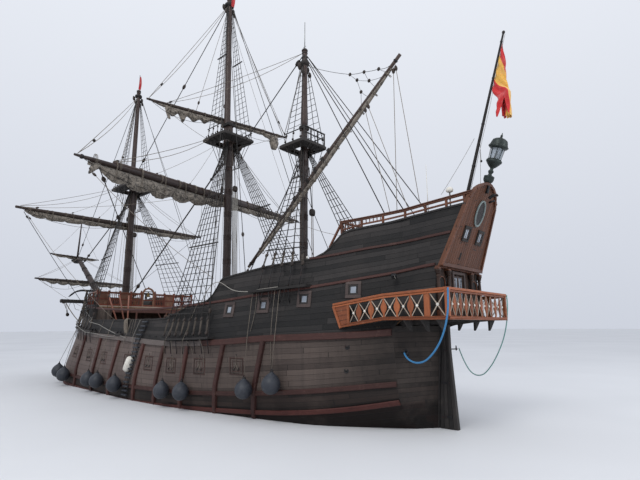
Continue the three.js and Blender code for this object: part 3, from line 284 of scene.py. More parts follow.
# =====================================================================================
# Materials: all from nodes
# =====================================================================================
class Look:
    def __init__(self, name):
        self.m = bpy.data.materials.new(name)
        self.m.use_nodes = True
        self.t = self.m.node_tree
        self.t.nodes.clear()

    def node(self, kind, ins=None, out=0, **props):
        nd = self.t.nodes.new(kind)
        for k, v in props.items():
            setattr(nd, k, v)
        for k, v in (ins or {}).items():
            s = nd.inputs[k]
            if isinstance(v, bpy.types.NodeSocket):
                self.t.links.new(v, s)
            else:
                s.default_value = v
        return nd.outputs[out]

    def math(self, op, a, b=0.0, c=0.0, clamp_=False):
        return self.node("ShaderNodeMath", {0: a, 1: b, 2: c}, operation=op, use_clamp=clamp_)

    def vec(self, x, y, z=0.0):
        return self.node("ShaderNodeCombineXYZ", {0: x, 1: y, 2: z})

    def uv(self):
        sep = self.t.nodes.new("ShaderNodeSeparateXYZ")
        tc = self.t.nodes.new("ShaderNodeUVMap")
        tc.uv_map = "UVMap"
        self.t.links.new(tc.outputs[0], sep.inputs[0])
        return sep.outputs[0], sep.outputs[1]

    def obj(self):
        tc = self.t.nodes.new("ShaderNodeTexCoord")
        sep = self.t.nodes.new("ShaderNodeSeparateXYZ")
        self.t.links.new(tc.outputs["Object"], sep.inputs[0])
        return tc.outputs["Object"], sep.outputs[0], sep.outputs[1], sep.outputs[2]

    def normal(self):
        g = self.t.nodes.new("ShaderNodeNewGeometry")
        sep = self.t.nodes.new("ShaderNodeSeparateXYZ")
        self.t.links.new(g.outputs["Normal"], sep.inputs[0])
        return sep.outputs[0], sep.outputs[1], sep.outputs[2]

    def noise(self, vec, scale, detail=4.0, rough=0.55, dist=0.0):
        return self.node("ShaderNodeTexNoise", {"Vector": vec, "Scale": scale, "Detail": detail, "Roughness": rough, "Distortion": dist})

    def white(self, a, b=0.0):
        return self.node("ShaderNodeTexWhiteNoise", {"Vector": self.vec(a, b)}, noise_dimensions="2D")

    def ramp(self, fac, stops, mode="LINEAR"):
        nd = self.t.nodes.new("ShaderNodeValToRGB")
        nd.color_ramp.interpolation = mode
        el = nd.color_ramp.elements
        while len(el) < len(stops):
            el.new(0.5)
        for e, (p, c) in zip(el, stops):
            e.position = p
            e.color = (*c, 1) if len(c) == 3 else c
        if isinstance(fac, bpy.types.NodeSocket):
            self.t.links.new(fac, nd.inputs[0])
        return nd.outputs[0]

    def mix(self, fac, a, b, blend="MIX"):
        nd = self.t.nodes.new("ShaderNodeMix")
        nd.data_type = "RGBA"
        nd.blend_type = blend
        for s, v in ((nd.inputs[0], fac), (nd.inputs[6], a), (nd.inputs[7], b)):
            if isinstance(v, bpy.types.NodeSocket):
                self.t.links.new(v, s)
            else:
                s.default_value = (*v, 1) if isinstance(v, tuple) and len(v) == 3 else v
        return nd.outputs[2]

    def remap(self, v, a, b, c=0.0, d=1.0):
        return self.node("ShaderNodeMapRange", {0: v, 1: a, 2: b, 3: c, 4: d})

    def bump(self, height, strength=0.5, distance=0.01, normal=None):
        ins = {"Strength": strength, "Distance": distance, "Height": height}
        if normal is not None:
            ins["Normal"] = normal
        return self.node("ShaderNodeBump", ins)

    def finish(self, color, rough=0.6, metal=0.0, normal=None, **kw):
        p = self.t.nodes.new("ShaderNodeBsdfPrincipled")
        o = self.t.nodes.new("ShaderNodeOutputMaterial")
        for k, v in (("Base Color", color), ("Roughness", rough), ("Metallic", metal), *kw.items()):
            if isinstance(v, bpy.types.NodeSocket):
                self.t.links.new(v, p.inputs[k])
            else:
                p.inputs[k].default_value = (*v, 1) if isinstance(v, tuple) and len(v) == 3 else v
        if normal is not None:
            self.t.links.new(normal, p.inputs["Normal"])
        self.t.links.new(p.outputs[0], o.inputs[0])
        return self.m


def srgb(r, g, b):
    f = lambda c: (c / 255) / 12.92 if c <= 10 else ((c / 255 + 0.055) / 1.055) ** 2.4
    return (f(r), f(g), f(b))


def shade(c, k):
    return tuple(v * k for v in c)


def timber(name, dark, light, rough=0.55, grain=1.0, wear=0.25, worn_and_lit=None, bump=0.35, dirt_and_shade=0.3, coat=0.0):
    """Wood in single timbers: grain along u, a tone of its own for each element, darker dirt and paler worn patches."""
    L = Look(name)
    u, v = L.uv()
    el = L.math("FLOOR", L.math("DIVIDE", v, ELEMENT))
    tone = L.white(el, 3.7)
    along = L.vec(L.math("MULTIPLY", u, 1.6 * grain), L.math("MULTIPLY", v, 26.0 * grain), el)
    g1 = L.noise(along, 1.0, 6.0, 0.6, 0.4)
    fine = L.noise(L.vec(L.math("MULTIPLY", u, 9.0), L.math("MULTIPLY", v, 120.0), el), 1.0, 3.0, 0.6)
    f = L.math("ADD", L.math("MULTIPLY", g1, 0.6), L.math("ADD", L.math("MULTIPLY", tone, 0.3), L.math("MULTIPLY", fine, 0.25)))
    col = L.ramp(f, [(0.3, dark), (0.85, light)])
    ov, ox, oy, oz = L.obj()
    patches = L.noise(ov, 2.3, 5.0, 0.65)
    col = L.mix(L.remap(patches, 0.52, 0.75, 0.0, dirt_and_shade), col, shade(dark, 0.45))
    if worn_and_lit:
        w = L.noise(ov, 7.0, 6.0, 0.7)
        col = L.mix(L.math("MULTIPLY", L.remap(w, 0.56, 0.72), wear), col, worn_and_lit)
    h = L.math("ADD", L.math("MULTIPLY", fine, 0.6), L.math("MULTIPLY", g1, 0.8))
    r = L.remap(L.math("ADD", L.math("MULTIPLY", patches, 0.6), L.math("MULTIPLY", fine, 0.4)), 0.2, 0.8, clamp(rough - 0.12, 0, 1), clamp(rough + 0.15, 0, 1))
    kw = {"Specular IOR Level": 0.32}
    if coat:
        kw.update({"Coat Weight": coat, "Coat Roughness": 0.25})
    return L.finish(col, r, 0.0, L.bump(h, bump, 0.006), **kw)


def board(name, stops, plank_len=5.2, rough=0.75, seam=0.55, streaks=0.35, scuff=(0.2, 0.18, 0.16), scuff_amount=0.2, bump=0.4, bands=None, tone_amount=0.5):
    """Planked surfaces: u in metres along the planks, v counts planks. stops are the colours from dark to light."""
    L = Look(name)
    u, v = L.uv()
    row = L.math("FLOOR", v)
    fv = L.math("SUBTRACT", v, row)
    shift = L.math("MULTIPLY", L.white(row, 1.3), plank_len)
    uu = L.math("DIVIDE", L.math("ADD", u, shift), plank_len)
    colm = L.math("FLOOR", uu)
    fu = L.math("SUBTRACT", uu, colm)
    tone = L.white(row, colm)
    ov, ox, oy, oz = L.obj()
    gr = L.noise(L.vec(L.math("MULTIPLY", u, 0.9), L.math("MULTIPLY", v, 7.0), L.math("MULTIPLY", tone, 40.0)), 1.0, 6.0, 0.65, 0.3)
    fine = L.noise(L.vec(L.math("MULTIPLY", u, 5.0), L.math("MULTIPLY", v, 34.0), L.math("MULTIPLY", tone, 40.0)), 1.0, 4.0, 0.65)
    f = L.math("ADD", L.math("MULTIPLY", tone, tone_amount), L.math("ADD", L.math("MULTIPLY", gr, 0.55), L.math("MULTIPLY", fine, 0.3)))
    col = L.ramp(f, [(0.25 + 0.75 * i / (len(stops) - 1) * 0.9, c) for i, c in enumerate(stops)])
    if bands is not None:
        col = bands(L, col, v, f, ov, ox, oz)
    # rain streaks that run down the side, and large weathered patches
    st = L.noise(L.vec(L.math("MULTIPLY", ox, 9.0), L.math("MULTIPLY", oy, 9.0), L.math("MULTIPLY", oz, 0.8)), 1.0, 5.0, 0.6)
    col = L.mix(L.remap(st, 0.5, 0.8, 0.0, streaks), col, (0.012, 0.011, 0.011))
    big = L.noise(ov, 1.1, 5.0, 0.65)
    col = L.mix(L.math("MULTIPLY", L.remap(big, 0.48, 0.72), scuff_amount), col, scuff)
    sc = L.noise(L.vec(L.math("MULTIPLY", u, 0.8), L.math("MULTIPLY", v, 3.5), 5.0), 2.2, 7.0, 0.75)
    col = L.mix(L.math("MULTIPLY", L.remap(sc, 0.6, 0.72), scuff_amount), col, shade(scuff, 1.25))
    # caulked seams and butts
    e1 = L.math("MINIMUM", fv, L.math("SUBTRACT", 1.0, fv))
    s1 = L.remap(e1, 0.01, 0.05, 1.0, 0.0)
    e2 = L.math("MULTIPLY", L.math("MINIMUM", fu, L.math("SUBTRACT", 1.0, fu)), plank_len)
    s2 = L.remap(e2, 0.008, 0.03, 1.0, 0.0)
    seams = L.math("MAXIMUM", s1, s2)
    col = L.mix(L.math("MULTIPLY", seams, seam), col, (0.006, 0.006, 0.006))
    h = L.math("SUBTRACT", L.math("ADD", L.math("MULTIPLY", gr, 0.5), L.math("MULTIPLY", fine, 0.5)), L.math("MULTIPLY", seams, 0.9))
    r = L.remap(L.math("ADD", L.math("MULTIPLY", big, 0.5), L.math("MULTIPLY", fine, 0.5)), 0.25, 0.75, clamp(rough - 0.12, 0, 1), clamp(rough + 0.12, 0, 1))
    return L.finish(col, r, 0.0, L.bump(h, bump, 0.01), **{"Specular IOR Level": 0.26})


def rope_look(name, dark, light, lay=60.0, rough=0.85, bump=0.6, fleck=None):
    """Laid rope: slanting strands from u and v."""
    L = Look(name)
    u, v = L.uv()
    el = L.math("FLOOR", L.math("DIVIDE", v, ELEMENT))
    tone = L.white(el, 9.1)
    ph = L.math("ADD", L.math("MULTIPLY", u, lay), L.math("MULTIPLY", v, lay * 2.2))
    wave = L.math("ABSOLUTE", L.math("SINE", ph))
    ov, ox, oy, oz = L.obj()
    dirt_and_shade = L.noise(ov, 6.0, 4.0, 0.6)
    f = L.math("ADD", L.math("MULTIPLY", wave, 0.35), L.math("ADD", L.math("MULTIPLY", tone, 0.35), L.math("MULTIPLY", dirt_and_shade, 0.45)))
    col = L.ramp(f, [(0.2, dark), (0.9, light)])
    if fleck:
        fl = L.noise(L.vec(L.math("MULTIPLY", u, 40.0), L.math("MULTIPLY", v, 60.0)), 1.0, 2.0, 0.5)
        col = L.mix(L.remap(fl, 0.62, 0.68), col, fleck)
    return L.finish(col, rough, 0.0, L.bump(wave, bump, 0.004))


def canvas_look(name, dark, light):
    L = Look(name)
    u, v = L.uv()
    ov, ox, oy, oz = L.obj()
    weave = L.math("MULTIPLY", L.math("SINE", L.math("MULTIPLY", u, 420.0)), L.math("SINE", L.math("MULTIPLY", v, 420.0)))
    big = L.noise(ov, 1.6, 6.0, 0.65)
    mid = L.noise(ov, 6.5, 6.0, 0.7, 0.6)
    # painted shade and light: the colour follows the same noise as the bump, so the cloth is dark in its hollows and
    # pale on its crowns
    f = L.math("ADD", L.math("MULTIPLY", big, 0.6), L.math("MULTIPLY", mid, 0.5))
    col = L.ramp(f, [(0.3, dark), (0.55, light), (0.8, shade(light, 1.25))])
    # seams of the cloths, about 0.6 m apart
    s = L.math("PINGPONG", L.math("MULTIPLY", u, 1.0), 0.3)
    col = L.mix(L.math("MULTIPLY", L.remap(s, 0.0, 0.02, 1.0, 0.0), 0.35), col, shade(dark, 0.5))
    stain = L.noise(ov, 3.2, 5.0, 0.7)
    col = L.mix(L.remap(stain, 0.55, 0.78, 0.0, 0.55), col, srgb(96, 84, 66))
    # creases, as painted shade and light: thin dark lines that wander stand in for the shadow in the creases, and pale
    # ridges beside them stand in for highlights
    crease_shade = L.math("ABSOLUTE", L.math("SUBTRACT", L.noise(ov, 5.0, 3.0, 0.55, 0.5), 0.5))
    col = L.mix(L.remap(crease_shade, 0.0, 0.05, 0.9, 0.0), col, shade(dark, 0.45))
    ridge_light = L.math("ABSOLUTE", L.math("SUBTRACT", L.noise(ov, 3.7, 3.0, 0.55, 0.9), 0.52))
    col = L.mix(L.remap(ridge_light, 0.0, 0.035, 0.65, 0.0), col, shade(light, 1.6))
    h = L.math("ADD", L.math("MULTIPLY", mid, 1.0), L.math("MULTIPLY", weave, 0.08))
    return L.finish(col, 0.9, 0.0, L.bump(h, 0.7, 0.02), **{"Sheen Weight": 0.15})


def metal_look(name, base, metal=0.7, rough=0.5, rust=None, rust_amount=0.0, bump=0.25, scale=9.0):
    L = Look(name)
    ov, ox, oy, oz = L.obj()
    a = L.noise(ov, scale, 6.0, 0.65)
    b = L.noise(ov, scale * 5, 4.0, 0.6)
    col = L.ramp(L.math("ADD", L.math("MULTIPLY", a, 0.7), L.math("MULTIPLY", b, 0.3)), [(0.25, shade(base, 0.65)), (0.75, shade(base, 1.3))])
    if rust:
        k = L.remap(L.noise(ov, scale * 0.8, 7.0, 0.7, 0.3), 0.52, 0.68, 0.0, rust_amount)
        col = L.mix(k, col, rust)
    r = L.remap(a, 0.3, 0.7, clamp(rough - 0.12, 0, 1), clamp(rough + 0.15, 0, 1))
    return L.finish(col, r, metal, L.bump(b, bump, 0.004))


# ---- the ship's colours
TAR_DARK, TAR_MID, TAR_LIGHT = srgb(26, 23, 22), srgb(42, 39, 37), srgb(62, 57, 54)
BROWN_DARK, BROWN_MID, BROWN_LIGHT = srgb(45, 39, 36), srgb(67, 58, 54), srgb(91, 80, 74)
RED_DARK, RED_MID = srgb(52, 27, 23), srgb(92, 44, 37)

# ---- materials used on the ship
def hull_bands(L, col, v, f, ov, ox, oz):
    """Colours of the hull by strake: tarred above the main wale (v = 0), bare grey-brown below it, dark red-brown low down."""
    tar = L.ramp(f, [(0.25, TAR_DARK), (0.6, TAR_MID), (0.95, TAR_LIGHT)])
    bare = L.ramp(f, [(0.2, BROWN_DARK), (0.55, BROWN_MID), (0.95, BROWN_LIGHT)])
    # the forward part of the bare planking is paler than the after part
    fore = L.remap(ox, -5.5, -1.0)
    bare = L.mix(L.math("MULTIPLY", fore, 0.5), bare, srgb(116, 102, 97), "MIX")
    # painted shade: aft of about x = -15 on the real ship the bare planking is darkened nearly to black, for the
    # quarter where the hull curves under to the tuck
    bare = L.mix(L.remap(ox, -7.6, -9.0, 0.0, 0.72), bare, srgb(20, 18, 17))
    low = L.ramp(f, [(0.2, srgb(20, 17, 16)), (0.6, srgb(33, 28, 26)), (0.95, srgb(52, 42, 38))])
    boot = L.ramp(f, [(0.2, srgb(8, 4, 3)), (0.6, srgb(14, 8, 6)), (0.95, srgb(24, 13, 10))])
    edge = L.math("ADD", v, L.math("MULTIPLY", L.math("SUBTRACT", L.noise(ov, 3.0), 0.5), 0.5))
    col = L.mix(L.remap(v, -0.02, 0.0, 0.0, 1.0), bare, tar)
    below2 = L.remap(edge, -9.9, -10.15, 0.0, 1.0)
    col = L.mix(below2, col, low)
    below1 = L.remap(edge, -14.0, -14.5, 0.0, 1.0)
    col = L.mix(below1, col, boot)
    return col


M_HULL = board("planks_hull", [TAR_DARK, TAR_MID, TAR_LIGHT], 5.6, 0.75, 0.6, 0.45, srgb(98, 87, 80), 0.25, 0.24, hull_bands)
M_TOP = board("planks_topside", [srgb(19, 19, 19), srgb(33, 32, 32), srgb(52, 49, 48)], 4.8, 0.72, 0.6, 0.4, srgb(76, 70, 66), 0.2, 0.36)
M_INNER = board("planks_inner", [srgb(70, 52, 40), srgb(104, 78, 58), srgb(132, 102, 78)], 4.2, 0.7, 0.7, 0.2, srgb(120, 100, 82), 0.2, 0.35)
M_DECK = board("planks_deck", [srgb(116, 98, 78), srgb(150, 130, 104), srgb(176, 156, 128)], 4.6, 0.75, 0.9, 0.12, srgb(150, 140, 122), 0.25, 0.3, tone_amount=0.35)
M_PANEL = board("planks_panel", [srgb(72, 43, 29), srgb(84, 51, 35), srgb(96, 60, 42)], 2.6, 0.5, 0.75, 0.25, srgb(112, 74, 52), 0.3, 0.35)
M_PANEL_DARK = timber("dark_panelling", srgb(34, 24, 20), srgb(70, 50, 40), 0.55, 1.0, 0.3, srgb(96, 70, 54), 0.4, 0.3)
M_OVAL = metal_look("oval_ring", srgb(128, 140, 138), 0.1, 0.55, srgb(70, 80, 78), 0.5)
M_OVAL_DARK = timber("oval_board", srgb(40, 38, 40), srgb(74, 70, 70), 0.6, 1.0, 0.3, srgb(120, 130, 130), 0.3, 0.2)
M_GALLERY = timber("gallery_varnish", srgb(98, 50, 27), srgb(172, 98, 58), 0.45, 1.0, 0.35, srgb(190, 136, 98), 0.28, 0.35, 0.12)
M_VARNISH = timber("varnished_oak", srgb(66, 39, 28), srgb(122, 82, 60), 0.48, 1.0, 0.35, srgb(172, 136, 112), 0.3, 0.35, 0.12)
M_VARNISH_RED = timber("varnished_red", srgb(68, 39, 27), srgb(114, 70, 48), 0.48, 1.0, 0.3, srgb(160, 112, 90), 0.35, 0.35, 0.1)
M_RED = timber("red_oxide", srgb(46, 27, 24), srgb(82, 49, 43), 0.62, 1.0, 0.3, srgb(114, 86, 76), 0.45, 0.4)
M_WALE_GREY = timber("grey_wale", srgb(58, 51, 49), srgb(106, 97, 93), 0.7, 1.0, 0.35, srgb(128, 116, 110), 0.4, 0.35)
M_RED_BAND = timber("red_band", srgb(66, 42, 38), srgb(112, 76, 68), 0.6, 1.0, 0.3, srgb(130, 100, 88), 0.35, 0.3)
M_WEATHERED = timber("weathered_boards", srgb(54, 47, 44), srgb(98, 88, 82), 0.75, 1.0, 0.35, srgb(118, 106, 98), 0.4, 0.35)
M_RED_DARK = timber("red_oxide_dark", srgb(40, 20, 18), srgb(84, 42, 36), 0.6, 1.0, 0.25, srgb(104, 74, 64), 0.55, 0.4)
M_TAR = timber("tarred_oak", srgb(22, 21, 21), srgb(58, 54, 52), 0.7, 1.0, 0.25, srgb(92, 84, 78), 0.4, 0.4)
M_OAK = timber("weathered_oak", srgb(64, 50, 44), srgb(112, 94, 84), 0.7, 1.0, 0.3, srgb(140, 122, 108), 0.4, 0.4)
M_MAST = timber("mast_pine", srgb(30, 23, 22), srgb(66, 50, 45), 0.5, 0.7, 0.35, srgb(98, 84, 76), 0.3, 0.35, 0.15)
M_YARD = timber("yard_pine", srgb(34, 28, 26), srgb(76, 62, 56), 0.6, 0.8, 0.4, srgb(112, 98, 88), 0.35, 0.35)
M_PALE_WOOD = timber("pale_pine", srgb(128, 112, 88), srgb(184, 168, 140), 0.7, 0.8, 0.3, srgb(196, 184, 160), 0.25, 0.3)
M_CREAM = timber("cream_paint", srgb(128, 112, 98), srgb(190, 176, 160), 0.5, 1.0, 0.2, srgb(120, 92, 70), 0.2, 0.2)
M_RED_OCHRE = timber("red_ochre", srgb(72, 34, 25), srgb(124, 62, 44), 0.55, 1.0, 0.3, srgb(170, 104, 80), 0.35, 0.3)
M_SALMON = timber("salmon_paint", srgb(116, 74, 62), srgb(166, 116, 100), 0.6, 1.0, 0.3, srgb(206, 170, 156), 0.25, 0.3)
M_CANVAS = canvas_look("furled_canvas", srgb(42, 38, 34), srgb(124, 116, 106))
M_TARRED_ROPE = rope_look("tarred_rope", srgb(20, 19, 19), srgb(52, 48, 46))
M_ROPE = rope_look("hemp_rope", srgb(66, 60, 54), srgb(128, 118, 106))
M_LANYARD = rope_look("lanyard_rope", srgb(50, 45, 40), srgb(98, 89, 80))
M_HALYARD = rope_look("halyard_rope", srgb(96, 93, 88), srgb(150, 147, 141))
M_PALE_ROPE = rope_look("pale_rope", srgb(104, 99, 92), srgb(158, 153, 145))
M_BLUE_ROPE = rope_look("blue_rope", srgb(24, 66, 104), srgb(52, 122, 172), 46.0, 0.7, 0.6, srgb(110, 170, 206))
M_GREEN_ROPE = rope_look("green_rope", srgb(58, 116, 112), srgb(128, 178, 170), 60.0, 0.7, 0.6, srgb(168, 204, 196))
M_BLOCK = timber("block_wood", srgb(24, 21, 20), srgb(58, 48, 42), 0.6, 2.0, 0.3, srgb(92, 78, 66), 0.3, 0.3)
M_IRON = metal_look("black_iron", srgb(42, 42, 44), 0.6, 0.55, srgb(88, 50, 34), 0.5)
M_BRONZE = metal_look("old_bronze", srgb(98, 78, 48), 0.9, 0.38, srgb(62, 78, 66), 0.4)
M_LANTERN = metal_look("green_lantern", srgb(44, 51, 49), 0.5, 0.45, srgb(78, 96, 88), 0.35)
M_STEEL = metal_look("galvanised", srgb(150, 152, 150), 0.8, 0.45, srgb(120, 100, 84), 0.25)
M_RUBBER = metal_look("fender_rubber", srgb(40, 44, 52), 0.0, 0.55, srgb(74, 76, 80), 0.4, 0.4, 6.0)
M_WHITE = metal_look("white_plastic", srgb(214, 210, 200), 0.0, 0.5, srgb(160, 148, 130), 0.4, 0.2, 5.0)
M_DARK = metal_look("dark_inside", srgb(16, 14, 13), 0.0, 0.8)


def glass_look():
    L = Look("window_glass")
    ov, ox, oy, oz = L.obj()
    # painted reflection: the pane is given a pale sky grey-blue that varies in broad patches, standing in for the sky
    # it reflects
    col = L.ramp(L.noise(ov, 1.4, 2.0), [(0.35, srgb(92, 100, 110)), (0.7, srgb(176, 184, 194))])
    return L.finish(col, 0.12, 0.0, L.bump(L.noise(ov, 3.0), 0.08, 0.01), **{"Specular IOR Level": 0.8})


def lantern_glass():
    L = Look("lantern_glass")
    ov, ox, oy, oz = L.obj()
    col = L.ramp(L.noise(ov, 4.0, 2.0), [(0.3, srgb(150, 160, 168)), (0.7, srgb(214, 222, 230))])
    return L.finish(col, 0.1, 0.0, L.bump(L.noise(ov, 9.0), 0.1, 0.01), **{"Transmission Weight": 0.55, "IOR": 1.45})


def floor_look():
    L = Look("floor")
    ov, ox, oy, oz = L.obj()
    col = L.ramp(L.noise(ov, 0.12, 3.0), [(0.3, (0.62, 0.63, 0.65)), (0.7, (0.68, 0.69, 0.71))])
    return L.finish(col, 0.7)


M_GLASS = glass_look()
M_LANTERN_GLASS = lantern_glass()
M_FLOOR = floor_look()

# =====================================================================================
# Stage, light and camera
# =====================================================================================
scene = bpy.context.scene
scene.view_settings.view_transform = "Standard"
scene.view_settings.look = "None"

world = bpy.data.worlds.new("studio")
scene.world = world
world.use_nodes = True
wt = world.node_tree
wt.nodes.clear()
bg = wt.nodes.new("ShaderNodeBackground")
wo = wt.nodes.new("ShaderNodeOutputWorld")
tc = wt.nodes.new("ShaderNodeTexCoord")
sep = wt.nodes.new("ShaderNodeSeparateXYZ")
rp = wt.nodes.new("ShaderNodeValToRGB")
rp.color_ramp.elements[0].position = 0.0
rp.color_ramp.elements[0].color = (*srgb(206, 211, 222), 1)
rp.color_ramp.elements[1].position = 0.7
rp.color_ramp.elements[1].color = (*srgb(236, 240, 248), 1)
wt.links.new(tc.outputs["Generated"], sep.inputs[0])
wt.links.new(sep.outputs[2], rp.inputs[0])
wt.links.new(rp.outputs[0], bg.inputs[0])
bg.inputs[1].default_value = 1.0
wt.links.new(bg.outputs[0], wo.inputs[0])


def area(name, at, look, size, power, colour=(1, 1, 1)):
    d = bpy.data.lights.new(name, "AREA")
    d.shape = "DISK"
    d.size = size
    d.energy = power
    d.color = colour
    o = bpy.data.objects.new(name, d)
    scene.collection.objects.link(o)
    o.location = at
    o.rotation_euler = (Vector(look) - Vector(at)).to_track_quat("-Z", "Y").to_euler()
    return o


area("key", (-14, 26, 30), (-2, 0, 4), 16, 5200, (1.0, 0.985, 0.96))
area("fill", (-34, -6, 16), (-6, 0, 3), 18, 2200, (0.95, 0.97, 1.0))

bpy.ops.mesh.primitive_plane_add(size=600, location=(0, 0, 0))
floor = bpy.context.object
floor.name = "floor"
floor.data.materials.append(M_FLOOR)

cam_data = bpy.data.cameras.new("camera")
cam_data.sensor_width = 36.0
cam_data.lens = 452.3 / 640 * 36.0
cam_data.clip_start = 0.1
cam_data.clip_end = 800
cam = bpy.data.objects.new("camera", cam_data)
scene.collection.objects.link(cam)
scene.camera = cam
YAW, PITCH, ROLL = math.radians(47.86), math.radians(10.83), math.radians(-0.28)
cam.location = (-29.45 * S, 18.94 * S, 4.33 * S)
F = Vector((math.cos(YAW) * math.cos(PITCH), -math.sin(YAW) * math.cos(PITCH), math.sin(PITCH)))
SIDE = F.cross(Vector((0, 0, 1))).normalized()
UP = SIDE.cross(F)
RIGHT = SIDE * math.cos(ROLL) + UP * math.sin(ROLL)
UP = UP * math.cos(ROLL) - SIDE * math.sin(ROLL)
cam.rotation_euler = Matrix((RIGHT, UP, -F)).transposed().to_euler()

# =====================================================================================
# The hull's form, from the same tables as the solid model
# =====================================================================================
WALE_Z = [[-20.8, 4.14], [-18.7, 4.09], [-17.4, 3.98], [-15, 3.87], [-12.7, 3.78], [-9.8, 3.57], [-5, 3.42], [0, 3.62], [6, 3.84], [11, 4.15], [14, 4.4], [17.4, 4.7]]
STATIONS = [-18.7, -17, -15, -13, -10, -5, 0, 5, 8, 10.2, 12, 14, 15.5]
LEVELS = [  # level z, stem x, sternpost x, half breadths at the stations
    [-3.0, 14.8, -19.05, 0.18, 0.2, 0.25, 0.4, 0.8, 1.5, 1.8, 1.6, 1.1, 0.7, 0.4, 0.22, 0.19],
    [-2.4, 15.9, -19.1, 0.2, 0.35, 0.7, 1.2, 2.0, 3.0, 3.4, 3.2, 2.7, 2.1, 1.4, 0.6, 0.25],
    [-1.4, 16.3, -19.2, 0.3, 0.75, 1.6, 2.4, 3.3, 4.3, 4.65, 4.5, 4.1, 3.6, 2.8, 1.6, 0.7],
    [0, 16.7, -19.3, 0.88, 2.05, 3.2, 3.75, 4.3, 5.05, 5.3, 5.12, 5.05, 4.97, 4.32, 3.0, 1.6],
    [0.75, 16.85, -19.35, 1.75, 2.6, 3.5, 4.0, 4.55, 5.17, 5.37, 5.2, 5.1, 5.0, 4.36, 3.05, 1.65],
    [1.5, 17.0, -19.4, 2.25, 3.0, 3.8, 4.25, 4.75, 5.25, 5.4, 5.25, 5.12, 5.0, 4.4, 3.1, 1.7],
]
AT_WALE = [17.4, -19.6, 2.56, 3.2, 3.9, 4.4, 4.85, 5.15, 5.2, 5.05, 4.7, 4.2, 3.65, 2.7, 1.55]
POST_HALF, KEEL_BOTTOM, TUMBLEHOME, DECK_ABOVE_WALE, WALL = 0.17, -3.35, 0.2, 0.25, 0.25
TOPSIDE_Y = [[-22.2, 2.44], [-20.8, 2.47], [-18.7, 2.56], [-17, 3.2], [-15, 3.9], [-13, 4.4], [-10, 4.85], [-5, 5.15], [0, 5.2], [5, 5.05], [8, 4.7], [10.2, 4.2], [12, 3.65], [14, 2.75], [15.3, 2.0]]
LEVEL_ROWS = [[[x, L[3 + i]] for i, x in enumerate(STATIONS)] for L in LEVELS]
WALE_ROW = [[x, AT_WALE[2 + i]] for i, x in enumerate(STATIONS)]
RAIL_Z = [[-22.3, 9.42], [-21.98, 9.35], [-19.3, 9.17], [-17.93, 8.98], [-16.5, 8.8], [-16.1, 8.66], [-15.84, 8.33], [-15.57, 7.98], [-15.3, 7.75], [-14.8, 7.52], [-14, 7.44], [-12.25, 7.33], [-10.7, 7.13], [-9.5, 6.98], [-9.0, 6.9], [-8.85, 6.75], [-8.7, 6.42], [-8.45, 6.05], [-8.0, 5.7], [-6.7, 5.56], [-5.6, 5.2], [-4.4, 4.84], [-2.6, 4.78], [0.2, 4.81], [3.4, 4.83], [6.9, 4.87], [7.25, 4.9], [7.35, 6.05], [9.5, 6.1], [12.6, 6.2], [13.2, 6.6], [13.8, 7.1], [15.3, 7.25]]
PANEL_LEAN, GALLERY_TOP, STERN_WALL_X, TUCK_X = 0.4, 4.7, -20.55, -18.7
WALE_2 = [[-18.7, 1.97], [-14.6, 1.47], [-10.9, 1.13], [-7, 0.9], [-1.8, 0.8], [4.5, 0.68], [10, 0.85], [15.6, 1.3]]
WALE_1 = [[-18.7, 1.22], [-16.6, 0.82], [-14.3, 0.52], [-11.6, 0.3], [-6.4, 0.06], [0, -0.1], [6, -0.05], [15.6, 0.35]]
RAIL_4 = [[-20.9, 6.87], [-19.8, 6.79], [-14.9, 6.15], [-11.96, 5.91], [-8.2, 5.62], [-3, 5.45], [3, 5.6], [8, 5.9], [12, 6.3], [15.5, 6.7]]
RAIL_5 = [[-21.4, 8.19], [-19.7, 8.07], [-17.8, 7.9], [-15.6, 7.62], [-14.9, 7.56], [-8, 7.3], [8, 7.4], [15.5, 7.8]]
RIDERS = [[-12.7, -11.6, 0.2], [-10.1, -8.9, -0.2], [-7.2, -6.3, -0.3], [-4.9, -3.9, -0.3], [-2.6, -1.6, -0.3], [0.7, 1.9, -0.3], [3.8, 4.9, -0.2], [7.2, 8.1, 0]]
PORTS = [[9.0, 2.5], [5.7, 2.38], [2.9, 2.3], [-0.7, 2.26], [-3.35, 2.24], [-5.7, 2.22], [-8.2, 2.3], [-10.95, 2.43]]
PORT_WIDE, PORT_HIGH, LID_PLAY, LID_THICK = 0.8, 0.72, 0.022, 0.1
FORECASTLE = [[7.35, 5.98], [15.0, 6.14]]
QUARTERDECK = [[-20.45, 6.66], [-15, 6.35], [-8.75, 6.05]]
POOP = [[-21.6, 8.9], [-15.95, 8.3]]


def wale_z(x):
    return curve(WALE_Z, x)


def panel_fore(z):
    return -20.62 - PANEL_LEAN * (z - 6.77)


def hull_y(x, z):
    """Half breadth of the lower hull."""
    w = wale_z(x)
    rows = [[L[0], curve(LEVEL_ROWS[i], x)] for i, L in enumerate(LEVELS)]
    rows.append([w, curve(WALE_ROW, x)])
    if z > w:
        return rows[-1][1] - TUMBLEHOME * (z - w)
    if z >= 1.5:
        return line(rows, z)
    # rounded below the upper levels, straight lines blended with a smooth curve
    return lerp(line(rows, z), curve(rows, z), 0.8)


def top_y(x, z):
    return curve(TOPSIDE_Y, x) - TUMBLEHOME * (z - wale_z(x))


def deck_z(x):
    return wale_z(x) + DECK_ABOVE_WALE


STEM_ROWS = [[KEEL_BOTTOM, 14.2]] + [[L[0], L[1]] for L in LEVELS] + [[4.4, 17.4], [5.2, 17.5]]
POST_ROWS = [[KEEL_BOTTOM, -19.0]] + [[L[0], L[2]] for L in LEVELS] + [[4.1, -19.6], [4.5, -19.55]]


